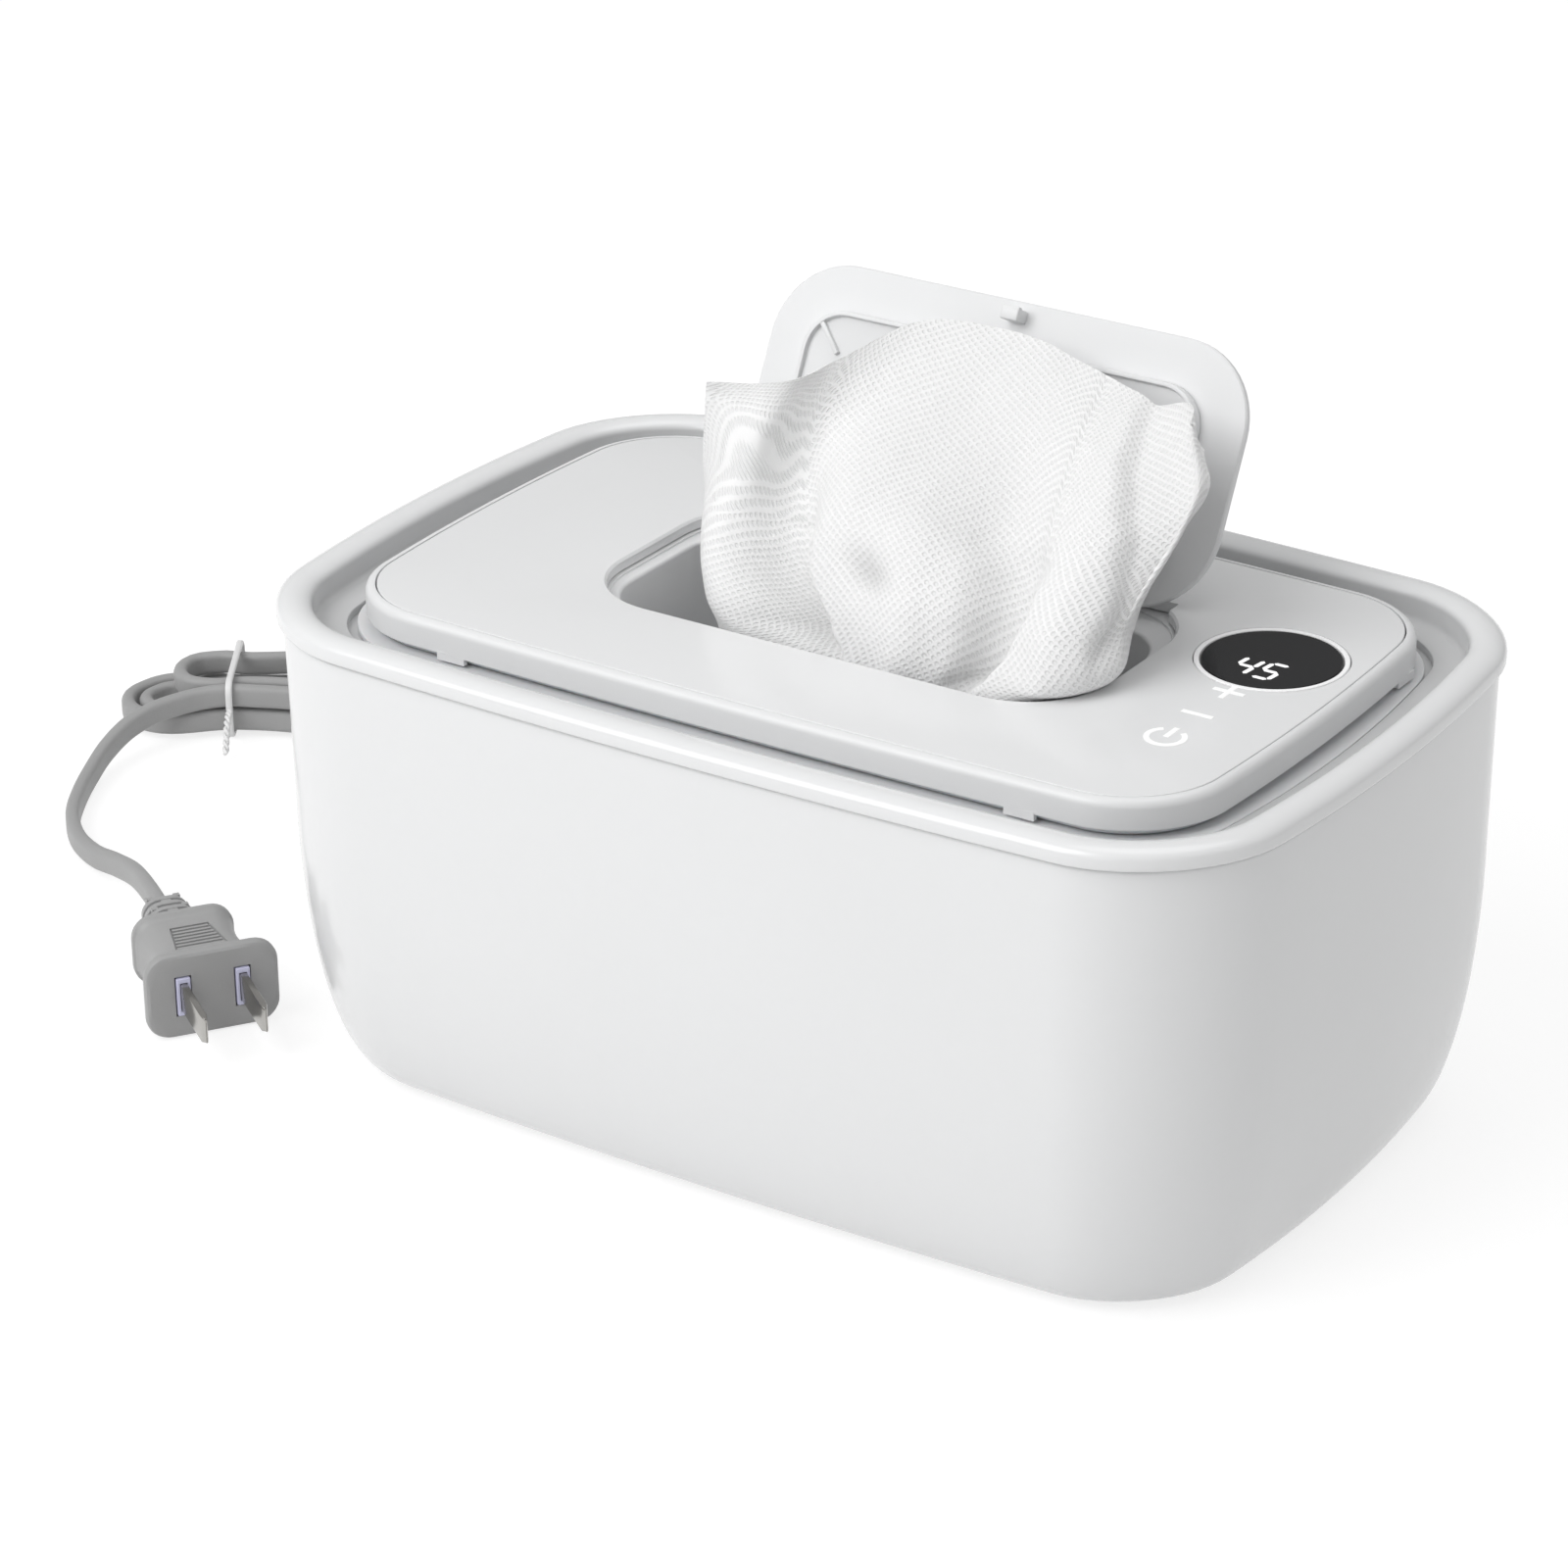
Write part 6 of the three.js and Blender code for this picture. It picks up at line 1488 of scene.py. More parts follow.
cables = {
    "inner_mains": {"radius": 1.75, "route": [
        (-59.8, 59.98, 18), (-59.8, 54.57, 17.1), (-59.8, 36.83, 12.6),
    ]},
    "hinge_wire": {"radius": 0.88, "route": [
        (1.4, 8.332, 11.7), (9.4, 8.332, 12.6), (12.5, 46.6, 15.7), (25, 61.7, 30), (25, 62.6, 41.95),
        (25, 62.6, 63.4), (25, 62.6, 93.8), (25, 62.6, 100.1),
    ]},
    "lid_wire": {"radius": 0.88, "route": [
        (64.6, 19, 98.6), (60.7, 25, 98.6), (33, 39.5, 99.8),
        (25, 45.7, 101), (25, 49.3, 101), (25, 57.2, 101),
    ]},
}


def makeCable(name):
    points = [Vector(p) for p in cables[name]["route"]]
    path, _ = evenPath(splinePoints(points, shares(240)), 0.9)
    return tube(name, path, cables[name]["radius"])


def makeInsulation():
    low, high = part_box("insulation_pad")
    low, high = low / mm, high / mm
    return softBox("insulation_layer", low.x, high.x, low.y, high.y, low.z, high.z, 0.8, 4)


hingePins = makePins()
lidSeal = makeGasket()
wires = {name: makeCable(name) for name in cables}
insulation = makeInsulation()
boardScrews = {}
boardHeads = {"power_board": (standoffPlaces, 11.9), "control_board": (frameSizes["bosses"], 98.8)}
for board, (places, z) in boardHeads.items():
    for i, (x, y) in enumerate(places):
        name = f"board_screw_{len(boardScrews) + 1}"
        boardScrews[f"{board}_screw_{i + 1}"] = makeScrew(name, x, y, z, -1, **boardScrew)
print("small parts built")


# Shader node groups: each gives a colour, a roughness and a normal
def newGroup(name, inputs):
    group = bpy.data.node_groups.new(name, "ShaderNodeTree")
    for label, value in inputs.items():
        kind = "NodeSocketColor" if isinstance(value, tuple) else "NodeSocketFloat"
        socket = group.interface.new_socket(label, in_out="INPUT", socket_type=kind)
        socket.default_value = (*value, 1) if isinstance(value, tuple) else value
    for label, kind in (("Color", "Color"), ("Roughness", "Float"), ("Normal", "Vector")):
        group.interface.new_socket(label, in_out="OUTPUT", socket_type=f"NodeSocket{kind}")
    return group, group.nodes.new("NodeGroupInput").outputs


def finished(group, color, roughness, normal):
    result = group.nodes.new("NodeGroupOutput")
    for label, socket in (("Color", color), ("Roughness", roughness), ("Normal", normal)):
        group.links.new(socket, result.inputs[label])
    return group


def joinSockets(tree, value, socket):  # value is a socket or a number
    if hasattr(value, "links"):
        tree.links.new(value, socket)
    else:
        socket.default_value = value


def calc(tree, operation, *values):
    node = tree.nodes.new("ShaderNodeMath")
    node.operation = operation
    for value, socket in zip(values, node.inputs):
        joinSockets(tree, value, socket)
    return node.outputs[0]


def spread(tree, value, fromLow, fromHigh, toLow, toHigh):
    node = tree.nodes.new("ShaderNodeMapRange")
    node.interpolation_type = "SMOOTHSTEP"
    for label, given in (("Value", value), ("From Min", fromLow), ("From Max", fromHigh),
                         ("To Min", toLow), ("To Max", toHigh)):
        joinSockets(tree, given, node.inputs[label])
    return node.outputs["Result"]


def noiseOf(tree, vector, size, detail=2.0, stretch=None):  # size in metres, a number or a socket
    if stretch:
        mapping = tree.nodes.new("ShaderNodeMapping")
        mapping.inputs["Scale"].default_value = stretch
        tree.links.new(vector, mapping.inputs["Vector"])
        vector = mapping.outputs["Vector"]
    node = tree.nodes.new("ShaderNodeTexNoise")
    tree.links.new(vector, node.inputs["Vector"])
    joinSockets(tree, calc(tree, "DIVIDE", 1.0, size), node.inputs["Scale"])
    node.inputs["Detail"].default_value = detail
    return node.outputs["Fac"]


def tinted(tree, color, amount):  # the colour made lighter or darker by an amount about zero
    node = tree.nodes.new("ShaderNodeHueSaturation")
    tree.links.new(calc(tree, "ADD", 1.0, amount), node.inputs["Value"])
    joinSockets(tree, color, node.inputs["Color"])
    return node.outputs["Color"]


def mixed(tree, share, first, second):
    node = tree.nodes.new("ShaderNodeMix")
    node.data_type = "RGBA"
    joinSockets(tree, share, node.inputs["Factor"])
    joinSockets(tree, first, node.inputs[6])
    joinSockets(tree, second, node.inputs[7])
    return node.outputs[2]


def bumped(tree, height, depth, normal=None):
    node = tree.nodes.new("ShaderNodeBump")
    tree.links.new(height, node.inputs["Height"])
    joinSockets(tree, depth, node.inputs["Distance"])
    if normal:
        tree.links.new(normal, node.inputs["Normal"])
    return node.outputs["Normal"]


def objectPlace(tree):
    return tree.nodes.new("ShaderNodeTexCoord").outputs["Object"]


def attributeOf(tree, name):
    node = tree.nodes.new("ShaderNodeAttribute")
    node.attribute_name = name
    return node.outputs["Fac"]


def splitOf(tree, vector):
    node = tree.nodes.new("ShaderNodeSeparateXYZ")
    tree.links.new(vector, node.inputs["Vector"])
    return node.outputs["X"], node.outputs["Y"], node.outputs["Z"]


def centred(tree, value, size):  # a noise value moved about zero and scaled
    return calc(tree, "MULTIPLY", calc(tree, "SUBTRACT", value, 0.5), size)


def varied(tree, value, noiseValue, size):
    return calc(tree, "ADD", value, centred(tree, noiseValue, size))


def mouldedGroup():
    group, given = newGroup("mouldedPlastic", {
        "Color": (0.8, 0.8, 0.8), "Variation": 0.02, "Roughness": 0.4, "Unevenness": 0.08,
        "Grain": 0.0004, "Depth": 0.00001, "Flow": 0.00002, "PaintedShadeStrength": -0.27,
    })
    place = objectPlace(group)
    cloud = noiseOf(group, place, 0.045, 3)
    grain = noiseOf(group, place, given["Grain"], 3)
    flow = noiseOf(group, place, 0.022, 1)
    patch = noiseOf(group, place, 0.012, 2)
    tone = calc(group, "MULTIPLY", centred(group, cloud, 2), given["Variation"])
    fine = calc(group, "MULTIPLY", centred(group, grain, 1), given["Variation"])
    # painted shade: a mesh's painted shade attribute darkens the colour by this strength
    tone = calc(group, "ADD", tone, calc(group, "MULTIPLY", attributeOf(group, "paintedShade"), given["PaintedShadeStrength"]))
    rough = calc(group, "MULTIPLY", centred(group, patch, 2), given["Unevenness"])
    return finished(
        group,
        tinted(group, given["Color"], calc(group, "ADD", tone, fine)),
        calc(group, "ADD", given["Roughness"], rough),
        bumped(group, grain, given["Depth"], bumped(group, flow, given["Flow"])),
    )


def brushedGroup():
    group, given = newGroup("brushedMetal", {
        "Color": (0.7, 0.7, 0.7), "Roughness": 0.3, "Streak": 0.0006, "Depth": 0.000006,
    })
    place = objectPlace(group)
    streaks = noiseOf(group, place, given["Streak"], 4, (0.06, 1, 1))
    cloud = noiseOf(group, place, 0.006, 3)
    return finished(
        group,
        tinted(group, given["Color"], varied(group, centred(group, streaks, 0.12), cloud, 0.1)),
        varied(group, given["Roughness"], streaks, 0.25),
        bumped(group, streaks, given["Depth"]),
    )


def clothGroup():
    group, given = newGroup("embossedCloth", {
        "Color": (0.9, 0.9, 0.9), "Shade": (0.75, 0.76, 0.78), "Roughness": 0.7, "Pitch": 0.0012,
        "Emboss": 0.00012, "Fibre": 0.00006, "Depth": 0.00005, "PaintedFoldShade": -0.25,
    })
    uv = group.nodes.new("ShaderNodeUVMap")
    uv.uv_map = "cloth"
    place = uv.outputs["UV"]
    turn = calc(group, "DIVIDE", 2 * math.pi, given["Pitch"])
    u, v = [calc(group, "MULTIPLY", value, turn) for value in splitOf(group, place)[:2]]
    first, second = [
        calc(group, "SINE", calc(group, "MULTIPLY", calc(group, kind, u, v), 0.5))
        for kind in ("ADD", "SUBTRACT")
    ]
    dots = spread(group, calc(group, "ABSOLUTE", calc(group, "MULTIPLY", first, second)), 0.35, 0.85, 0, 1)
    fibre = noiseOf(group, place, given["Fibre"], 4, (1, 0.22, 1))
    tuft = noiseOf(group, place, 0.0021, 3)
    # the pressed dots take the darker Shade colour: partly the emboss pattern's own tone, partly painted
    # shade in the dents
    shade = calc(group, "MULTIPLY", dots, varied(group, 0.3, tuft, 0.5))
    color = mixed(group, shade, given["Color"], given["Shade"])
    # painted shade: the colour darkens where the mesh's fold shade is set
    paintedDarkening = calc(group, "MULTIPLY", attributeOf(group, "foldShade"), given["PaintedFoldShade"])
    pressed = bumped(group, calc(group, "SUBTRACT", 1.0, dots), given["Emboss"])
    height = calc(group, "ADD", fibre, calc(group, "MULTIPLY", tuft, 0.8))
    return finished(
        group,
        tinted(group, color, calc(group, "ADD", centred(group, fibre, 0.08), paintedDarkening)),
        varied(group, given["Roughness"], tuft, 0.3),
        bumped(group, height, given["Depth"], pressed),
    )


def pileGroup():  # stacked cloth, which has no flat map of its own
    group, given = newGroup("stackedCloth", {
        "Color": (0.9, 0.9, 0.9), "Shade": (0.7, 0.71, 0.73), "Roughness": 0.75,
        "Pitch": 0.0012, "Depth": 0.0001,
    })
    place = objectPlace(group)
    turn = calc(group, "DIVIDE", 2 * math.pi, given["Pitch"])
    x, y, z = splitOf(group, place)
    u = calc(group, "MULTIPLY", x, turn)
    v = calc(group, "MULTIPLY", calc(group, "ADD", y, z), turn)
    dots = calc(group, "ABSOLUTE", calc(group, "MULTIPLY", calc(group, "SINE", u), calc(group, "SINE", v)))
    fibre = noiseOf(group, place, 0.00025, 4, (1, 0.3, 1))
    # the pressed dots take the darker Shade colour: partly the emboss pattern's own tone, partly painted
    # shade in the dents
    shade = calc(group, "MULTIPLY", spread(group, dots, 0.4, 0.9, 0, 1), 0.35)
    color = mixed(group, shade, given["Color"], given["Shade"])
    return finished(
        group,
        tinted(group, color, centred(group, fibre, 0.12)),
        varied(group, given["Roughness"], fibre, 0.2),
        bumped(group, calc(group, "SUBTRACT", fibre, calc(group, "MULTIPLY", dots, 0.6)), given["Depth"]),
    )


def trackGroup():
    group, given = newGroup("printedBoard", {
        "Color": (0.06, 0.22, 0.11), "Track": (0.1, 0.34, 0.17), "Pad": (0.75, 0.72, 0.6),
        "Roughness": 0.35, "Pitch": 0.0025,
    })
    place = objectPlace(group)
    tracks = group.nodes.new("ShaderNodeTexBrick")
    tracks.offset = 0.37
    group.links.new(place, tracks.inputs["Vector"])
    group.links.new(calc(group, "DIVIDE", 1.0, given["Pitch"]), tracks.inputs["Scale"])
    for label, value in (("Mortar Size", 0.12), ("Brick Width", 3.2), ("Row Height", 0.5)):
        tracks.inputs[label].default_value = value
    pads = group.nodes.new("ShaderNodeTexVoronoi")
    pads.voronoi_dimensions = "2D"
    pads.inputs["Randomness"].default_value = 0.35
    group.links.new(place, pads.inputs["Vector"])
    group.links.new(calc(group, "DIVIDE", 0.5, given["Pitch"]), pads.inputs["Scale"])
    padDiscs = spread(group, pads.outputs["Distance"], 0.1, 0.14, 1, 0)
    color = mixed(group, tracks.outputs["Fac"], given["Color"], given["Track"])
    return finished(
        group,
        mixed(group, padDiscs, color, given["Pad"]),
        calc(group, "SUBTRACT", given["Roughness"], calc(group, "MULTIPLY", padDiscs, 0.12)),
        bumped(group, calc(group, "ADD", tracks.outputs["Fac"], padDiscs), 0.00004),
    )


def cellGroup():
    group, given = newGroup("foamCells", {
        "Color": (0.8, 0.79, 0.75), "Shade": (0.55, 0.54, 0.5), "Roughness": 0.9,
        "Cell": 0.0007, "Depth": 0.00025,
    })
    place = objectPlace(group)
    cells = group.nodes.new("ShaderNodeTexVoronoi")
    group.links.new(place, cells.inputs["Vector"])
    group.links.new(calc(group, "DIVIDE", 1.0, given["Cell"]), cells.inputs["Scale"])
    # the cells' hollows take the darker Shade colour: painted shade in the pores
    hollow = spread(group, cells.outputs["Distance"], 0.15, 0.6, 1, 0)
    color = mixed(group, hollow, given["Color"], given["Shade"])
    return finished(
        group,
        tinted(group, color, centred(group, noiseOf(group, place, 0.01), 0.1)),
        given["Roughness"],
        bumped(group, cells.outputs["Distance"], given["Depth"]),
    )


def filmGroup():
    group, given = newGroup("heatingFilm", {
        "Color": (0.62, 0.32, 0.12), "Foil": (0.5, 0.26, 0.16), "Roughness": 0.35, "Pitch": 0.004,
    })
    place = objectPlace(group)
    lines = group.nodes.new("ShaderNodeTexWave")
    lines.bands_direction = "Y"
    lines.wave_profile = "SIN"
    group.links.new(place, lines.inputs["Vector"])
    group.links.new(calc(group, "DIVIDE", 0.314, given["Pitch"]), lines.inputs["Scale"])
    foil = spread(group, lines.outputs["Fac"], 0.45, 0.55, 0, 1)
    color = mixed(group, foil, given["Color"], given["Foil"])
    cloud = noiseOf(group, place, 0.008)
    return finished(
        group,
        tinted(group, color, centred(group, cloud, 0.12)),
        varied(group, given["Roughness"], cloud, 0.2),
        bumped(group, foil, 0.00005),
    )


groups = {
    "moulded": mouldedGroup(), "brushed": brushedGroup(), "cloth": clothGroup(), "pile": pileGroup(),
    "board": trackGroup(), "cells": cellGroup(), "film": filmGroup(),
}
plasticInputs = ["Color", "Variation", "Roughness", "Unevenness", "Grain", "Depth", "Flow", "shader"]
plastics = {
    "glossWhite": ((0.815, 0.82, 0.825), 0.012, 0.2, 0.03, 0.0016, 0.000003, 0.00002,
                   {"IOR": 1.5, "Coat Weight": 0.25, "Coat Roughness": 0.12}),
    "satinWhite": ((0.79, 0.795, 0.8), 0.015, 0.36, 0.05, 0.0004, 0.000012, 0.00002, {"IOR": 1.49}),
    "innerWhite": ((0.74, 0.745, 0.755), 0.02, 0.45, 0.08, 0.0005, 0.00002, 0.00005,
                   {"IOR": 1.49, "Subsurface Weight": 0.05, "Subsurface Scale": 0.002}),
    "greyPlastic": ((0.5, 0.51, 0.52), 0.03, 0.5, 0.06, 0.0005, 0.00006, 0.00003, {"IOR": 1.49}),
    "blackGlass": ((0.012, 0.012, 0.013), 0.05, 0.1, 0.03, 0.002, 0.000001, 0.00001,
                   {"IOR": 1.4, "Specular IOR Level": 0.18}),
    "litDigits": ((0.9, 0.9, 0.9), 0.02, 0.4, 0.05, 0.0003, 0.000004, 0.0,
                  {"Emission Strength": 0.35, "Emission Color": (1, 1, 1, 1)}),
    # the display ring and the touch marks glow a little though nothing lights them: a painted glow that makes
    # them brighter
    "ringWhitePaintedGlow": ((0.9, 0.9, 0.905), 0.01, 0.3, 0.04, 0.0006, 0.000004, 0.0,
                  {"Emission Strength": 0.1, "Emission Color": (1, 1, 1, 1)}),
    "markWhitePaintedGlow": ((0.93, 0.93, 0.93), 0.01, 0.25, 0.04, 0.0006, 0.000004, 0.0,
                  {"Emission Strength": 0.16, "Emission Color": (1, 1, 1, 1)}),
    "cordVinyl": ((0.345, 0.345, 0.345), 0.035, 0.5, 0.1, 0.0006, 0.00004, 0.00006,
                  {"IOR": 1.5, "Sheen Weight": 0.15, "Sheen Roughness": 0.5}),
    "plugVinyl": ((0.36, 0.36, 0.36), 0.03, 0.46, 0.08, 0.0005, 0.00003, 0.00004,
                  {"IOR": 1.5, "Sheen Weight": 0.1, "Sheen Roughness": 0.5}),
    "collarPlastic": ((0.6, 0.6, 0.78), 0.03, 0.4, 0.05, 0.0004, 0.00001, 0.0, {}),
    "tiePlastic": ((0.8, 0.8, 0.8), 0.03, 0.35, 0.08, 0.0004, 0.00002, 0.0, {}),
    "darkRubber": ((0.07, 0.072, 0.075), 0.08, 0.75, 0.1, 0.0004, 0.00005, 0.0,
                   {"Sheen Weight": 0.2, "Sheen Roughness": 0.6}),
    "milkySilicone": ((0.66, 0.68, 0.7), 0.02, 0.42, 0.06, 0.0007, 0.00001, 0.0,
                      {"Subsurface Weight": 0.2, "Subsurface Scale": 0.002}),
    "blackPart": ((0.018, 0.018, 0.02), 0.15, 0.5, 0.1, 0.0003, 0.00002, 0.0, {}),
}
looks = {
    **{name: {"group": "moulded", **dict(zip(plasticInputs, values))} for name, values in plastics.items()},
    "steelScrew": {
        "group": "brushed", "Color": (0.62, 0.63, 0.64), "Roughness": 0.3,
        "Streak": 0.0004, "Depth": 0.000004, "shader": {"Metallic": 1.0},
    },
    "nickelBlade": {
        "group": "brushed", "Color": (0.44, 0.43, 0.41), "Roughness": 0.2,
        "Streak": 0.0003, "Depth": 0.000003, "shader": {"Metallic": 1.0},
    },
    "aluminiumSheet": {
        "group": "brushed", "Color": (0.7, 0.71, 0.72), "Roughness": 0.35,
        "Streak": 0.0005, "Depth": 0.00001, "shader": {"Metallic": 1.0},
    },
    "wipeCloth": {
        "group": "cloth", "Color": (0.93, 0.93, 0.93), "Shade": (0.75, 0.75, 0.752), "Roughness": 0.75,
        "Pitch": 0.0019, "Emboss": 0.00017, "Fibre": 0.00009, "Depth": 0.00005, "PaintedFoldShade": -0.3,
        "shader": {"Sheen Weight": 0.25, "Sheen Roughness": 0.5, "Subsurface Weight": 0.12,
                   "Subsurface Scale": 0.003, "Subsurface Radius": (1, 1, 1)},
    },
    "wipeStackCloth": {
        "group": "pile", "Color": (0.8, 0.805, 0.815), "Shade": (0.66, 0.67, 0.69), "Roughness": 0.78,
        "Pitch": 0.0026, "Depth": 0.00012, "shader": {"Sheen Weight": 0.25, "Sheen Roughness": 0.5},
    },
    "greenBoard": {
        "group": "board", "Color": (0.02, 0.11, 0.05), "Track": (0.04, 0.2, 0.09), "Pad": (0.6, 0.56, 0.42),
        "Roughness": 0.35, "Pitch": 0.0025, "shader": {},
    },
    "creamFoam": {
        "group": "cells", "Color": (0.68, 0.66, 0.6), "Shade": (0.42, 0.4, 0.35), "Roughness": 0.9,
        "Cell": 0.0008, "Depth": 0.0002, "shader": {"Sheen Weight": 0.3, "Sheen Roughness": 0.6},
    },
    "amberFilm": {
        "group": "film", "Color": (0.38, 0.13, 0.025), "Foil": (0.25, 0.09, 0.03), "Roughness": 0.35,
        "Pitch": 0.004, "shader": {"Coat Weight": 0.3, "Coat Roughness": 0.2},
    },
}


def makeMaterial(name):
    look = looks[name]
    material = bpy.data.materials.new(name)
    material.use_nodes = True
    tree = material.node_tree
    shader = tree.nodes["Principled BSDF"]
    texture = tree.nodes.new("ShaderNodeGroup")
    texture.node_tree = groups[look["group"]]
    for label, value in look.items():
        if label not in ("group", "shader"):
            texture.inputs[label].default_value = (*value, 1) if isinstance(value, tuple) else value
    for label, value in look["shader"].items():
        shader.inputs[label].default_value = value
    tree.links.new(texture.outputs["Color"], shader.inputs["Base Color"])
    tree.links.new(texture.outputs["Roughness"], shader.inputs["Roughness"])
    tree.links.new(texture.outputs["Normal"], shader.inputs["Normal"])
    return material


materials = {name: makeMaterial(name) for name in looks}
print("materials made:", len(materials))


# Every piece: its body, its material, the record's finish, which dress does not use, and the CAD nodes that
# it stands for
def dress(made, body, look, finish, *stoodFor):
    made.data.materials.clear()
    made.data.materials.append(materials[look])
    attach(made, body)
    if stoodFor:
        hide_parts(*stoodFor)


dress(powerCord, "base", "cordVinyl", "cord_grey", "cord_tail", "cord_hank", "cord_lead")
dress(wallRelief, "base", "plugVinyl", "cord_grey", "cord_relief")
dress(plugShell, "base", "plugVinyl", "cord_grey", "plug_body")
dress(plugNeck, "base", "plugVinyl", "cord_grey", "plug_relief")
dress(cordTie, "base", "tiePlastic", "tie_white", "twist_tie")
for name in ("left", "right"):
    dress(blades[name], "base", "nickelBlade", "nickel", f"plug_blade_{name}")
    dress(collars[name], "base", "collarPlastic", "pale_collar", f"blade_collar_{name}")
    dress(hingePins["lid_pin", name], "base", "steelScrew", "steel", f"lid_hinge_pin_{name}")
    dress(hingePins["flip_pin", name], "lid", "steelScrew", "steel", f"flip_hinge_pin_{name}")
dress(tubShell, "base", "glossWhite", "white_gloss", "outer_shell")
dress(tubBezel, "base", "glossWhite", "white_gloss", "top_bezel")
dress(wipeTank, "base", "innerWhite", "inner_plastic", "inner_tank")
dress(baseCover, "base", "greyPlastic", "grey_plastic", "base_plate")
for i in range(4):
    dress(feet[i], "base", "darkRubber", "rubber", f"rubber_foot_{i + 1}")
    dress(baseScrews[i], "base", "steelScrew", "steel", f"base_screw_{i + 1}")
for node, screw in boardScrews.items():
    dress(screw, "lid" if node.startswith("control") else "base", "steelScrew", "steel", node)
dress(wires["inner_mains"], "base", "cordVinyl", "cord_grey", "mains_leads")
dress(wires["hinge_wire"], "base", "cordVinyl", "cord_grey", "hinge_cable")
dress(wires["lid_wire"], "lid", "cordVinyl", "cord_grey", "lid_cable")
dress(insulation, "base", "creamFoam", "foam", "insulation_pad")
dress(wipePile, "base", "wipeStackCloth", "wipe_cloth", "wipe_stack")
dress(lidShell, "lid", "satinWhite", "white_satin", "lid_frame")
dress(lidPlate, "lid", "glossWhite", "white_gloss", "lid_top_plate")
dress(dispensingWell, "lid", "satinWhite", "white_satin", "dispensing_insert")
dress(lidSeal, "lid", "milkySilicone", "silicone", "lid_gasket")
dress(displayBorder, "lid", "ringWhitePaintedGlow", "white_gloss", "display_ring")
dress(displayGlass, "lid", "blackGlass", "black_window", "display_window")
dress(displayDigits, "lid", "litDigits", "white_gloss")
for mark in touchMarks.values():
    dress(mark, "lid", "markWhitePaintedGlow", "white_gloss")
dress(pulledWipe, "lid", "wipeCloth", "wipe_cloth", "wipe_sheet")
# the flip lid, gloss white in the record, takes the slightly darker satin white: a little painted shade
dress(flipCover, "flip_lid", "satinWhite", "white_gloss", "flip_lid")
dress(flipPanel, "flip_lid", "satinWhite", "white_satin", "flip_lid_liner")
carried = {
    "heater_plate": "aluminiumSheet", "heater_film": "amberFilm", "thermal_fuse": "milkySilicone",
    "temperature_sensor": "blackPart", "power_board": "greenBoard", "control_board": "greenBoard",
    "transformer": "blackPart", "power_relay": "blackPart", "capacitor": "blackPart",
    "digit_display": "blackPart", "touch_pad_plus": "creamFoam", "touch_pad_minus": "creamFoam",
    "touch_pad_power": "creamFoam",
}
for node, look in carried.items():
    nodes[node].data.materials.clear()
    nodes[node].data.materials.append(materials[look])

tuple(Vector(cord["tail"][0]) * mm)
[tuple(p * mm) for p in evenPath(cordPath, 4.5)[0]]
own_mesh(pulledWipe)
print("pieces placed")


# The room: a white floor and sky that the camera sees as plain white, but for the object's shadow
room = {"size": 6, "shade": (0.8, 0.8, 0.8), "sky": 0.45, "seen": 1.25, "shadow": 0.62}
lamps = {
    "key": {"place": (-0.65, -1.25, 1.4), "target": (0, 0, 0.05), "size": 1.6, "power": 22},
    "top": {"place": (0.1, 0.3, 1.7), "target": (0, 0, 0.05), "size": 1.2, "power": 5},
    "front": {"place": (0.35, -1.7, 0.6), "target": (0, 0, 0.05), "size": 0.8, "power": 1.5},
}


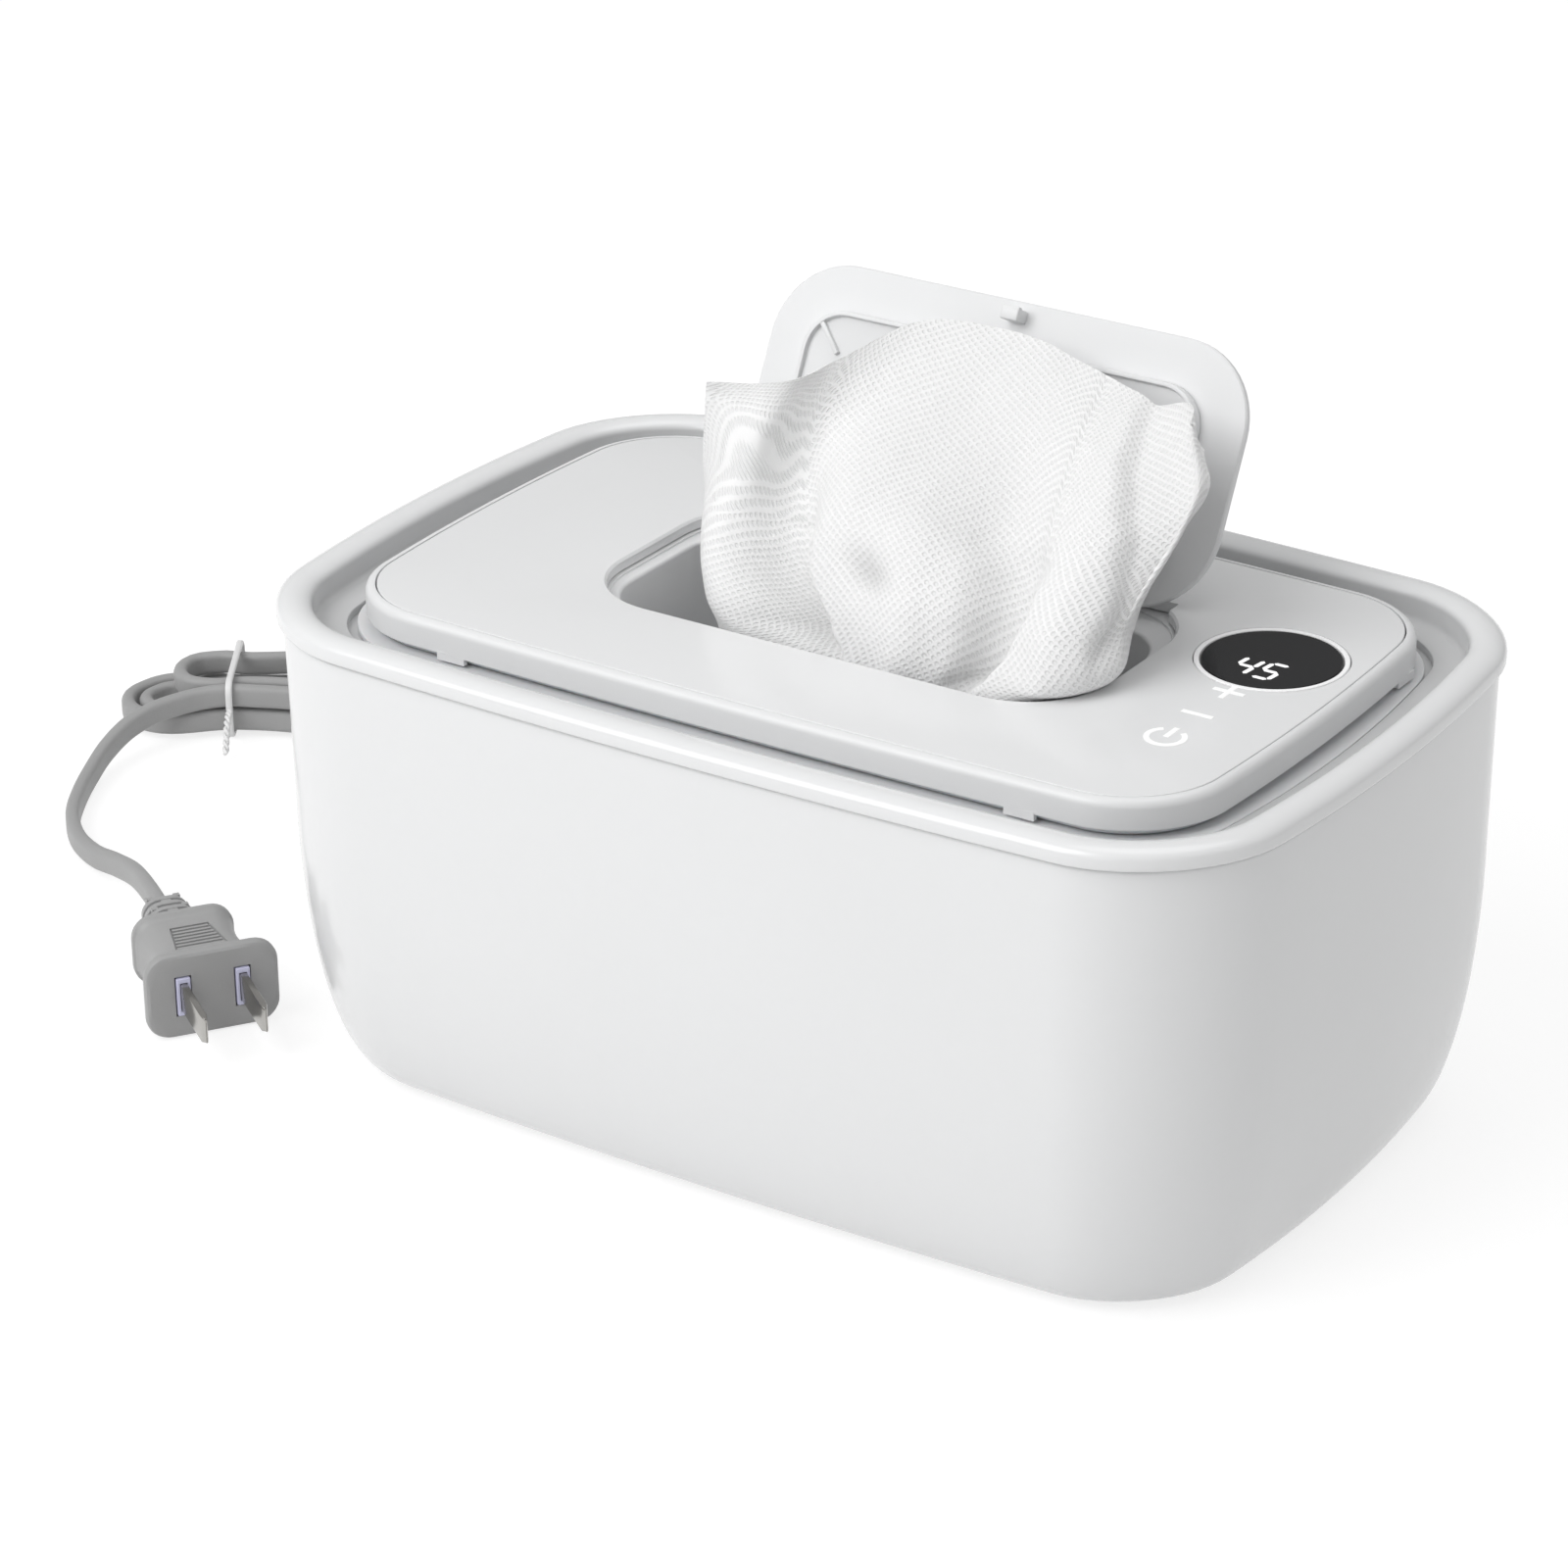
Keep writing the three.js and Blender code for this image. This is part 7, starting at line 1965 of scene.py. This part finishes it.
def makeFloor():
    half = room["size"] / 2
    mesh = bpy.data.meshes.new("floor")
    corners = [(-half, -half, 0), (half, -half, 0), (half, half, 0), (-half, half, 0)]
    mesh.from_pydata(corners, [], [(0, 1, 2, 3)])
    floor = link("floor", mesh)
    material = bpy.data.materials.new("floorPaper")
    material.use_nodes = True
    tree = material.node_tree
    shader = tree.nodes["Principled BSDF"]
    place = objectPlace(tree)
    paper = noiseOf(tree, place, 0.3, 3)
    tree.links.new(tinted(tree, (*room["shade"], 1), centred(tree, paper, 0.01)), shader.inputs["Base Color"])
    shader.inputs["Roughness"].default_value = 0.8
    shader.inputs["Specular IOR Level"].default_value = 0.0
    bright = tree.nodes.new("ShaderNodeEmission")
    bright.inputs["Strength"].default_value = room["seen"]
    ray = tree.nodes.new("ShaderNodeLightPath")
    seen = calc(tree, "MAXIMUM", ray.outputs["Is Camera Ray"], ray.outputs["Is Glossy Ray"])
    seen = calc(tree, "MAXIMUM", seen, ray.outputs["Is Transmission Ray"])
    mix = tree.nodes.new("ShaderNodeMixShader")
    tree.links.new(calc(tree, "MULTIPLY", seen, room["shadow"]), mix.inputs["Fac"])
    tree.links.new(shader.outputs["BSDF"], mix.inputs[1])
    tree.links.new(bright.outputs["Emission"], mix.inputs[2])
    tree.links.new(mix.outputs["Shader"], tree.nodes["Material Output"].inputs["Surface"])
    mesh.materials.append(material)


def makeWorld():
    world = bpy.data.worlds.new("sky")
    scene.world = world
    world.use_nodes = True
    tree = world.node_tree
    sky = tree.nodes["Background"]
    ray = tree.nodes.new("ShaderNodeLightPath")
    seen = calc(tree, "MAXIMUM", ray.outputs["Is Camera Ray"], ray.outputs["Is Transmission Ray"])
    tree.links.new(spread(tree, seen, 0, 1, room["sky"], room["seen"]), sky.inputs["Strength"])
    sky.inputs["Color"].default_value = (1, 1, 1, 1)


def makeLamp(name):
    lamp = lamps[name]
    data = bpy.data.lights.new(name, "AREA")
    data.shape = "DISK"
    data.size = lamp["size"]
    data.energy = lamp["power"]
    made = bpy.data.objects.new(name, data)
    made.location = lamp["place"]
    aim = Vector(lamp["target"]) - Vector(lamp["place"])
    made.rotation_euler = aim.to_track_quat("-Z", "Y").to_euler()
    scene.collection.objects.link(made)


makeFloor()
makeWorld()
for name in lamps:
    makeLamp(name)
scene.view_settings.view_transform = "Standard"
print("lights placed")
